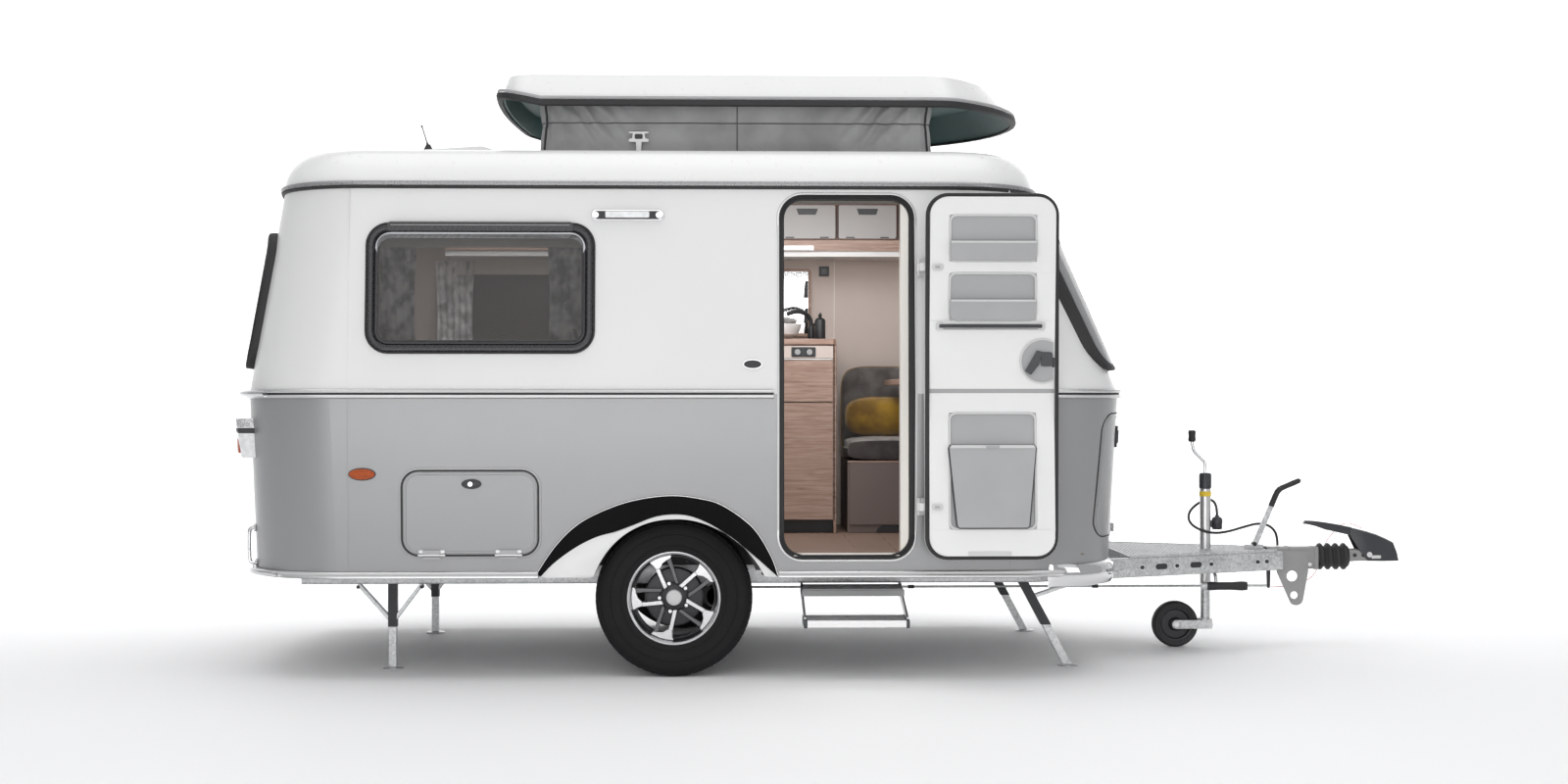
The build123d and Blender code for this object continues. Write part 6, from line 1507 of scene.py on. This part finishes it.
chassis = Build("chassis_rails")
for side in (-1, 1):
    chassis.loft([beam_ring(-2200, 600, 0, side), beam_ring(742, 600, 0, side),
        beam_ring(750, 600, NOSE_TURN / 2, side), beam_ring(757, 597, NOSE_TURN, side),
        beam_ring(*NOSE_TIP, NOSE_TURN, side)], GALVANISED)
    # bolts along the outer web
    for x in range(-2100, 700, 350):
        chassis.lathe((x, side * 622.4, 380), "y", pin(9, 0, side * 5), BLACK_STEEL, 6)
for x in (-2150, -1200, -60, 700):
    chassis.prism([(x - 20, 346), (x - 12, 340), (x + 12, 340), (x + 20, 346), (x + 20, 419.5),
                   (x - 20, 419.5)], "y", -578, 578, GALVANISED)
bridge_half = NOSE_TIP[1] + (NOSE_TIP[0] - POST_X) * math.tan(NOSE_TURN)
chassis.prism([(1540, -bridge_half), (1640, -bridge_half + 20), (1640, bridge_half - 20),
               (1540, bridge_half)], "z", 340, 369.5, GALVANISED)


def on_drawbar(t, z, out):
    """place() for the near beam's outer web. t runs along the beam from its kink, in mm."""
    x = KINK[0] + t * math.cos(NOSE_TURN) + (BEAM_HALF + out) * math.sin(NOSE_TURN)
    y = KINK[1] - t * math.sin(NOSE_TURN) + (BEAM_HALF + out) * math.cos(NOSE_TURN)
    return (x, -y, z)


def on_far_drawbar(t, z, out):
    """The same for the far beam."""
    x, y, z = on_drawbar(t, z, out)
    return (x, -y, z)


for place in (on_drawbar, on_far_drawbar):
    for t in (520, 700, 880, 1130, 1180):
        chassis.plate(ellipse(t, 380, 9, 9, 6), place, -1, 5, BLACK_STEEL)
        chassis.plate(ellipse(t, 380, 13, 13, 20), place, -1, 1.6, CHROME)
    for t in (590, 770):
        chassis.plate(rounded(t, t + 60, 368, 392, 11.8, 5), place, -1, 0.6, BLACK_STEEL)
chassis.done(replaces=["chassis_frame"], slot="galvanised", bevel=0)

# Deck: pressed plate with raised studs
DECK = (1175, 1880)
DECK_Z = 427.5


def deck_half(x):
    """Half width of the deck, out to the beams' outer webs."""
    return NOSE_TIP[1] + (NOSE_TIP[0] - x) * math.tan(NOSE_TURN) + BEAM_HALF


deck = Build("deck_plate")
for side in (-1, 1):
    deck.prism([(DECK[0], 0), (1845, 0), (1845, side * 50.5), (1880, side * 50.5),
                (DECK[1], side * deck_half(DECK[1])), (DECK[0], side * deck_half(DECK[0]))], "z",
               BEAM_HIGH, DECK_Z, GALVANISED)
    deck.pipe([(DECK[0], side * (deck_half(DECK[0]) - 3), DECK_Z),
               (DECK[1], side * (deck_half(DECK[1]) - 3), DECK_Z)], 3, GALVANISED, 8)
for i, x in enumerate(range(1190, 1870, 17)):
    half = deck_half(x) - 16
    for j in range(-22, 23):
        y = j * 17
        near_tube = math.hypot(x - POST_X, y) < 40
        near_lever = 1752 < x < 1850 and -42 < y < 2
        near_housing = x > 1835 and abs(y) < 58
        if abs(y) > half or near_tube or near_lever or near_housing:
            continue
        turn = math.radians(45 if (i + j) % 2 else -45)
        c, s = math.cos(turn), math.sin(turn)
        # columns: how far the stud's foot and crest reach along it and across it, and their heights
        deck.loft([[(x + u * c * along - v * s * across, y + u * s * along + v * c * across,
            DECK_Z + dz) for u, v in ((-7, 0), (0, -2.2), (7, 0), (0, 2.2))]
            for along, across, dz in ((1, 1, -0.3), (0.55, 0.4, 1.5))], GALVANISED)
deck.done(replaces=["drawbar_deck"], slot="galvanised", bevel=0)

# Corner steadies: folded legs, dark above and bright below, on round feet, with flat braces
STEADY_Y = 600
BRACE_TOP_Z = 339
steady = Build("steady_legs")
for side in (-1, 1):
    for top_x, foot_x, knee_z, brace_xs in ((-1838, -1838, 186, (-1975, -1722)),
                                            (703, 886, 279, (913,))):
        lean = (foot_x - top_x) / 339.7

        for low, high, half, finish in ((4, 222, 15.5, GALVANISED), (168, 339.6, 18, BLACK_STEEL)):
            half_x = half * math.hypot(1, lean)
            steady.loft([[(foot_x - lean * z + dx, side * STEADY_Y + dy, z)
                for dx, dy in box_of(-half_x, half_x, -half, half)] for z in (low, high)], finish)
        steady.lathe((foot_x, side * STEADY_Y, 0), "z", [(0.5, 0.2), (41, 0.2), (42.5, 2),
            (42.5, 5), (30, 8), (18, 10), (0.5, 10)], GALVANISED, 28)
        knee_x = foot_x - lean * knee_z
        for brace_x in brace_xs:
            run = Vector((brace_x - knee_x, 0, BRACE_TOP_Z - knee_z))
            across = Vector((run.z, 0, -run.x)).normalized() * 7
            for y0 in (-17.5, 13.5):
                rings = []
                for point in (Vector((knee_x, 0, knee_z)), Vector((brace_x, 0, BRACE_TOP_Z))):
                    p, q = point - across, point + across
                    y = side * STEADY_Y + y0
                    rings.append([(p.x, y, p.z), (q.x, y, q.z), (q.x, y + 4, q.z),
                        (p.x, y + 4, p.z)])
                steady.loft(rings, GALVANISED)
            for point in ((knee_x, knee_z), (brace_x, 328)):
                steady.lathe((point[0], side * STEADY_Y - 19, point[1]), "y",
                             pin(8, 0, 38), BLACK_STEEL, 6)
steady.done(replaces=["corner_steadies"], slot="galvanised", bevel=1.4)

# Axle: tube, with trailing arms, stubs and a galvanised band round the tube on each side
TUBE_X = -540
TUBE_Z = 291
axle = Build("axle_tube")
axle.lathe((TUBE_X, 0, TUBE_Z), "y", [(0.5, -653), (40, -653), (44, -649), (44, 649), (40, 653),
                                      (0.5, 653)], BLACK_STEEL, 28)
for side in (-1, 1):
    angle = math.degrees(math.atan2(HUB_Z - TUBE_Z, HUB_X - TUBE_X))
    outline = arc(TUBE_X, TUBE_Z, 34, angle - 270, angle - 90, 10)
    outline += arc(HUB_X, HUB_Z, 30, angle - 90, angle + 90, 10)
    low, high = sorted((side * 627, side * 653))
    axle.prism(outline, "y", low, high, BLACK_STEEL)
    axle.lathe((HUB_X, 0, HUB_Z), "y", pin(17.4, side * 653, side * 815), CHROME, 24)
    axle.lathe((TUBE_X, side * 560, TUBE_Z), "y", [(44.2, -20), (54, -18), (54, 18), (44.2, 20)],
               GALVANISED, 28, wrap=True)
axle.done(replaces=["axle_beam"], bevel=1.5)

ROD_Y = -36
ROD_Z = 268
rod = Build("brake_pull_rod")
rod.lathe((0, ROD_Y, ROD_Z), "x", pin(5, -503, 1849.6), GALVANISED, 14)
for x in (300, 1100):
    rod.lathe((x, ROD_Y, ROD_Z), "x", [(5, -14), (8, -12), (8, 12), (5, 14)], BLACK_STEEL, 14,
        wrap=True)
rod.done(replaces=["brake_rod"], slot="galvanised")

# Entry step: speckled upper tread, grooved lower tread with dark end caps, cheeks and hangers
step = Build("step_frame")
for k in range(6):
    y0 = -780 + k * 200 / 6
    step.block(-196, 201, y0 + 0.4, y0 + 200 / 6 - 0.4, 304, 331.4, GREY)
step.block(-200, 205, -784, -577, 302, 326, GREY)
for k in range(7):
    y0 = -1010 + k * 200 / 7
    step.block(-190, 195, y0 + 1, y0 + 200 / 7 - 1, 204, 231.6, ALU)
step.block(-192, 197, -1008, -811, 203, 227, ALU)
for x0, x1 in ((-201, -188), (193, 206)):
    step.plate(rounded(-1012, -808, 201, 233, 8, 4), lambda y, z, out: (out, y, z), x0, x1, DARK)
for x0, x1 in ((-200, -192), (197, 205)):
    step.prism([(-970, 230), (-900, 230), (-580, 300), (-580, 332), (-640, 332), (-970, 240)], "x",
               x0, x1, ALU)
    step.prism(box_of(-660, -580, 302, 340), "x", x0, x1, BLACK_STEEL)
step.done(replaces=["entry_step"], slot="trim_alu", bevel=1.2)

# Overrun housing: cast box with ribs, lugs, flange bolts, cast side web and the eye plate
housing = Build("overrun_casting")
for (x0, x1, half, z0, z1) in ((1850, 2075, 46, 340, 434), (1850, 1868, 48, 338, 436),
                               (2057, 2075, 48, 338, 436), (1946, 1960, 48, 338, 436)):
    housing.prism(rounded(-half, half, z0, z1, 12, 4), "x", x0, x1, CAST)
housing.lathe((2075, 0, BALL_Z), "x", pin(25, 0, 165), CHROME, 24)
for y in (-54, 47):
    housing.prism([(1868, 352), (2052, 352), (2040, 372), (1884, 372)], "y", y, y + 7, CAST)
for x in (1886, 2034):
    for y in (-50, 50):
        housing.lathe((x, y, 362), "y", pin(10, 0, math.copysign(9, y)), CHROME, 6)


def pierced(build, edge, holes, y0, y1, finish):
    """Plate with real holes: faces filled by bmesh between the edge and the holes."""
    shape = bmesh.new()
    loops = []
    for ring in [edge] + [ellipse(cx, cz, r, r, 24) for cx, cz, r in holes]:
        verts = [shape.verts.new((x, z, 0)) for x, z in ring]
        loops += [shape.edges.new((a, b)) for a, b in zip(verts, verts[1:] + verts[:1])]
    bmesh.ops.triangle_fill(shape, use_beauty=True, edges=loops)
    verts = list(shape.verts)
    for i, v in enumerate(verts):
        v.index = i
    flat = [(v.co.x, v.co.y) for v in verts]
    faces = [tuple(v.index for v in f.verts) for f in shape.faces]
    border = [tuple(v.index for v in e.verts) for e in shape.edges if len(e.link_faces) == 1]
    shape.free()
    n = len(flat)
    points = [(x, y0, z) for x, z in flat] + [(x, y1, z) for x, z in flat]
    walls = [(a, b, b + n, a + n) for a, b in border]
    build.add(points, faces + [tuple(i + n for i in f) for f in faces] + walls, finish)


EYE_PLATE = [(1889, 337), (2027, 337), (2027, 330), (2004, 206), (1998, 194),
             (1986, 186), (1972, 184), (1958, 187), (1950, 194), (1889, 330)]
pierced(housing, EYE_PLATE, [(1956, 311, 23.6), (1965, 228, 16.6)], -58, -51, CAST)
housing.block(1889, 2027, -58, -47.8, 336, 420, CAST)
housing.prism([(1850, 338), (1866, 338), (1864, 262), (1858, 256), (1852, 262)], "y", -44, -28,
              BLACK_STEEL)
housing.done(replaces=["overrun_housing"], slot="casting", bevel=1.6)

BOOT = (2075, 0, BALL_Z)
boot = Build("boot_bellows")
profile = [(25.4, 0.3)]
for k in range(4):
    x = k * 34.75
    profile += [(44, x + 1), (47, x + 5), (57, x + 13), (58.3, x + 17.4), (57, x + 22),
        (47, x + 30), (44, x + 34)]
profile[-1] = (44, 138.4)
profile += [(25.4, 138.4)]
boot.lathe(BOOT, "x", profile, RUBBER, 48, wrap=True)
for x in (3, 135):
    boot.lathe(BOOT, "x", box_of(44, 46.5, x - 3, x + 3), BLACK_STEEL, 36, wrap=True)
boot.done(replaces=["overrun_boot"], slot="rubber", angle=60)

# Coupling head: pressed shell with a domed socket and its bolts, and the lever's hood
head = Build("coupling_shell")
head.prism(rounded(-33.6, 33.6, 372.4, 425.6, 12, 5), "x", 2214.2, 2352, CAST)
head.lathe((BALL_X, 0, BALL_Z), "z", [(25.4, -19.6), (33.6, -19.6), (34, 30), (31, 38), (24, 40),
    (0.5, 40), (0.5, 30), (20, 28), (25.4, 10)], CAST, 40, wrap=True)
for x in (2238, 2276):
    head.lathe((x, 0, 399), "y", pin(9, -38.5, 38.5), BLACK_STEEL, 6)
head.done(replaces=["coupling_head"], slot="casting", bevel=1.6)

lever = Build("lever_hood")
# columns: x, high z, low z, half width. The hood swells from the handle over the ball.
HOOD = ((2222, 520, 486, 22), (2252, 513, 430, 36), (2292, 503, 376, 43), (2334, 490, 374, 43.8),
        (2380, 470, 374, 43), (2409, 455, 374, 38), (2428, 410, 374, 30), (2435, 378, 374, 22))
rings = []
for x, high, low, half in HOOD:
    middle = (low + high) / 2
    rings.append([(x, half, low), (x, half, middle), (x, half * 0.82, high - 5),
                  (x, half * 0.5, high), (x, -half * 0.5, high), (x, -half * 0.82, high - 5),
                  (x, -half, middle), (x, -half, low), (x, -half + 4, low),
                  (x, -half * 0.5, high - 6), (x, half * 0.5, high - 6), (x, half - 4, low)])
lever.loft(rings, DARK)
handle = []
for x, high, low, half in ((2023, 541, 533, 14), (2030, 549, 534, 18), (2075, 546, 524, 20),
                           (2120, 540, 508, 20), (2175, 531, 496, 20), (2228, 520, 484, 21)):
    handle.append([(x, v, z) for v, z in rounded(-half, half, low, high,
        min(6, (high - low) / 2 - 1), 3)])
lever.loft(handle, DARK)
lever.plate(rounded(2308, 2350, 385, 399, 4, 2), lambda x, z, out: (x, -43 - out, z), 0, 1.8,
            PALE_GREY)
lever.plate(ellipse(2300, 402, 12, 12, 24), lambda x, z, out: (x, -41 - out, z), 0, 4.5, CHROME)
for x in (2050, 2068, 2086, 2104):
    lever.block(x, x + 8, -17, 17, 540, 549.5 - (x - 2030) * 0.11, DARK)
lever.done(replaces=["coupling_lever"], slot="dark_plastic", bevel=1.6, angle=45)

# Handbrake: flat lever on its quadrant, with a round grip and button
brake = Build("handbrake")
# columns: x, z, half width of the blade
BLADE = ((1799, 438, 13), (1876, 617, 10.5), (1905, 685, 10))
brake.loft([[(x + way * half * 0.92, y, z - way * half * 0.4)
    for way, y in ((-1, -25), (1, -25), (1, -15), (-1, -15))] for x, z, half in BLADE], GALVANISED)
brake.block(1760, 1838, -34, -6, 427.6, 446, GALVANISED)
brake.pipe([(1905, -20, 685), (1918, -20, 691)], 9, GALVANISED)
way = Vector((102, 0, 43)).normalized()
up = Vector((-way.z, 0, way.x))
grip_start = Vector((1905, -20, 685))
brake.loft([[tuple(grip_start + way * t + up * (r * math.cos(a)) + Vector((0, r * math.sin(a), 0)))
             for a in angles(20)]
            for t, r in ((10, 8), (12, 12), (40, 11.4), (70, 12), (98, 11.2), (104, 9))], RUBBER)
brake.pipe([(1874, -20, 612), (1888, -20, 646), (1902, -20, 676), (1916, -20, 690)], 12.5, RUBBER,
    18)
end = grip_start + way * 104
brake.pipe([tuple(end), tuple(end + way * 6)], 5, CHROME)
brake.lathe((1799, -20, 448), "y", pin(10, -14, 14), BLACK_STEEL, 16)
brake.done(replaces=["handbrake_lever"], slot="galvanised", bevel=1.2)

# Jockey wheel: clamped outer tube, collar, crank with its grip, inner leg with fork and wheel
POST = (POST_X, 0, 0)
ROLLER = (1456, 0, 100)
tube = Build("jockey_post")
tube.lathe(POST, "z", [(21, 262), (23.7, 264), (23.7, 688), (21, 690)], ALU, 36, wrap=True)
tube.lathe(POST, "z", [(23.7, 690), (26.8, 692), (26.8, 750), (22, 757), (0.5, 757),
                       (0.5, 690)], DARK, 36, wrap=True)
tube.lathe(POST, "z", [(23.7, 655), (25.6, 656), (25.6, 676), (23.7, 677)], YELLOW, 36, wrap=True)
tube.lathe(POST, "z", [(23.7, 370), (38, 372), (38, 412), (23.7, 414)], CAST, 28, wrap=True)
tube.pipe([(1590, 0, 750), (1590, 0, 794), (1586, 0, 806), (1544, 0, 848), (1537, 0, 862),
           (1532, 0, 893)], 7, CHROME, 14)
tube.lathe((1532, 0, 0), "z", [(0.5, 892), (13, 893), (16.6, 900), (15, 918), (16.6, 936),
    (13, 943), (0.5, 944)], RUBBER, 24)
tube.prism(rounded(-12, 12, 520, 550, 4, 3), "x", 1612, 1618.8, DARK)
tube.done(replaces=["jockey_tube"], slot="trim_alu", angle=40)

fork = Build("jockey_fork_arms")
fork.lathe(POST, "z", pin(20.2, 112, 519.6), GALVANISED, 28)
fork.block(1568.5, 1611.5, -38.6, 38.6, 82, 123.6, GALVANISED)
for side in (-1, 1):
    outline = arc(1456, 100, 19, 90, 270, 10) + arc(1596, 100, 19, -90, 90, 10)
    low, high = sorted((side * 33.2, side * 38.8))
    fork.prism(outline, "y", low, high, GALVANISED)
    fork.lathe(ROLLER, "y", pin(13, side * 38, side * 40.6), CHROME, 6)
fork.lathe(ROLLER, "y", pin(7.9, -33, 33), CHROME, 20)
fork.done(body="jockey_fork", replaces=["jockey_leg"], slot="galvanised", bevel=1)

roller = Build("jockey_roller_tyre")
roller.lathe(ROLLER, "y", [(72, -22), (80, -27), (90, -27.6), (97, -22), (99.6, -12), (99.8, 0),
    (99.6, 12), (97, 22), (90, 27.6), (80, 27), (72, 22)], RUBBER, 56, wrap=True)
roller.lathe(ROLLER, "y", [(8.2, -27), (22, -27), (26, -20), (30, -10), (60, -10), (66, -20),
    (72.4, -22), (72.4, 22), (66, 20), (60, 10), (30, 10), (26, 20), (22, 27), (8.2, 27)],
    BLACK_STEEL, 48, wrap=True)
for x, z in ellipse(1456, 100, 45, 45, 6):
    roller.lathe((x, 0, z), "y", pin(7, -11, 11), BLACK_STEEL, 12)
roller.done(body="jockey_roller", replaces=["jockey_wheel"], slot="rubber", angle=40)

# Connecting lead with its parked plug, and the red breakaway cable
LEAD = ((1917, 34, 436.3), (1917, 34, 484), (1886, 34, 524), (1832, 33, 536), (1762, 20, 519),
    (1690, -14, 502), (1622, -44, 496), (1560, -50, 508), (1514, -22, 540), (1522, 28, 584),
    (1572, 56, 624), (1624, 44, 644), (1643, 4, 616), (1643, 4, 572))
LEAD_R = 5.5
SAFETY = ((1866.3, -36, 262), (1910, -36, 262), (1966, -26, 270), (2026, 2, 280),
          (2078, 42, 302), (2110, 70, 346), (2124, 76, 402), (2140, 62, 452),
          (2166, 42, 494), (2196, 34, 530), (2240, 18, 538), (2284, 6, 512))
SAFETY_R = 1.5


def cord_of(name, points, radius, finish, node):
    """Cord on one spline through the CAD route's points."""
    curve = bpy.data.curves.new(name, "CURVE")
    curve.dimensions = "3D"
    curve.bevel_depth = radius / 1000
    curve.bevel_resolution = 6
    curve.resolution_u = 12
    curve.use_fill_caps = True
    spline = curve.splines.new("NURBS")
    spline.points.add(len(points) - 1)
    for point, place in zip(spline.points, points):
        point.co = (*row(*place), 1)
    spline.order_u = 3
    spline.use_endpoint_u = True
    curve.materials.append(finish)
    made = put(name, curve)
    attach(made, "trailer")
    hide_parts(node)
    return made


lead = cord_of("lead_spline", LEAD, LEAD_R, RUBBER, "connecting_lead")
safety = cord_of("breakaway_spline", SAFETY, SAFETY_R, SAFETY_RED, "breakaway_cable")

plug = Build("plug_shell")
plug.lathe((1643, 4, 0), "z", [(0.5, 510.3), (19, 510.3), (20.5, 513), (20.5, 532), (23.6, 535),
    (23.8, 552), (19, 562), (10, 566), (8, 572), (0.5, 572)], DARK, 32)
for x, y in ellipse(1643, 4, 21, 21, 10):
    plug.lathe((x, y, 0), "z", pin(1.6, 514, 531), DARK, 8)
plug_object = plug.done(replaces=["lead_plug"], slot="dark_plastic", angle=40)

# Clamp for the jockey tube under the near beam, with its black tee handle
clamp = Build("clamp_handle")
clamp.pipe([(1590, -40, 352), (1590, -150, 345), (1590, -190, 320), (1590, -196, 284)], 7,
           GALVANISED, 12)
HANDLE = (0, -196, 282)
clamp.lathe(HANDLE, "x", [(0.5, 1546), (15, 1548), (19, 1566), (17, 1600), (17, 1660),
                          (20, 1700), (18, 1722), (0.5, 1726)], RUBBER, 24)
clamp.lathe(HANDLE, "x", [(0.5, 1524), (16, 1526), (19, 1536), (17, 1549), (0.5, 1550)],
            GALVANISED, 24)
clamp.done(slot="dark_plastic", angle=45)


# Light, camera and floor
scene = bpy.context.scene
camera_data = bpy.data.cameras.new("camera")
camera_data.lens = 46.6
camera_data.sensor_width = 36
camera_data.clip_end = 200
camera = put("camera", camera_data)
camera.location = (-2.868, -8.8, 0.718)
camera.rotation_euler = (math.radians(90), 0, math.radians(-1.687))
scene.camera = camera

stage_shape = Build("studio_floor")
stage_line = [(-16000, 0), (6000, 0)]
stage_line += arc(6000, 5000, 5000, -90, 0, 14)[1:]
stage_line += [(11000, 16000)]
STAGE = finish_of("pale_floor", (0.93, 0.93, 0.93), 0.7, spread=0.006, bump=0.01, scale=0.5)
stage_shape.loft([[(x, y, z) for y, z in stage_line] for x in (-22000, 26000)], STAGE, closed=False)
stage_shape.done(body=None, angle=60)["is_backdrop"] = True

world = bpy.data.worlds.new("studio")
scene.world = world
world.use_nodes = True
# The sky light is mild. The camera sees the same sky as a plain pale backdrop.
SKY_LIGHT = 0.45
SKY_SEEN = 0.93
sky = world.node_tree.nodes["Background"]
sky.inputs["Color"].default_value = (0.97, 0.985, 1, 1)
sky_path = world.node_tree.nodes.new("ShaderNodeLightPath")
sky_range = world.node_tree.nodes.new("ShaderNodeMapRange")
sky_range.inputs["To Min"].default_value = SKY_LIGHT
sky_range.inputs["To Max"].default_value = SKY_SEEN
world.node_tree.links.new(sky_path.outputs["Is Camera Ray"], sky_range.inputs["Value"])
world.node_tree.links.new(sky_range.outputs["Result"], sky.inputs["Strength"])

soft_sun = bpy.data.lights.new("soft_sun", "SUN")
soft_sun.energy = 0.6
soft_sun.angle = math.radians(100)
put("soft_sun", soft_sun).rotation_euler = (math.radians(22), math.radians(-6), 0)

# columns: name, place, aimed at, width, height, power
LAMPS = (
    ("overhead", (-2.9, -0.5, 6), (-2.9, 0, 1), 8, 5, 120),
    ("front_fill", (-4.5, -9.5, 3.4), (-2.9, 0, 0.8), 7, 3.5, 120),
    ("nose_side", (4.5, -5.5, 3.2), (-0.8, 0, 0.8), 3.5, 3.5, 50),
    ("low_fill", (-2.9, -6.5, 0.15), (-2.9, 0, 0), 6, 0.8, 60),
    ("backdrop", (-2.9, 4.5, 6.5), (-2.9, 10, 2), 14, 3, 900),
    ("cabin_ceiling", (-2.55, -0.1, 1.6), (-2.5, 0.1, 0), 1, 0.7, 11),
    ("cabin_doorway", (-2.38, -0.8, 1.42), (-2.4, 0.9, 0.55), 0.4, 0.3, 5),
    ("cabin_rear", (-3.85, 0.1, 1.5), (-3.85, 0.1, 0), 0.9, 0.9, 9),
)
for name, place, target, width, height, power in LAMPS:
    lamp_data = bpy.data.lights.new(name, "AREA")
    lamp_data.shape = "RECTANGLE"
    lamp_data.size = width
    lamp_data.size_y = height
    lamp_data.energy = power
    lamp = put(name, lamp_data)
    lamp.location = place
    lamp.rotation_euler = (Vector(target) - Vector(place)).to_track_quat("-Z", "Y").to_euler()
scene.view_settings.view_transform = "Standard"

low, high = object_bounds()
{"cad": [list(cad_low), list(cad_high)], "visual": [list(low), list(high)]}
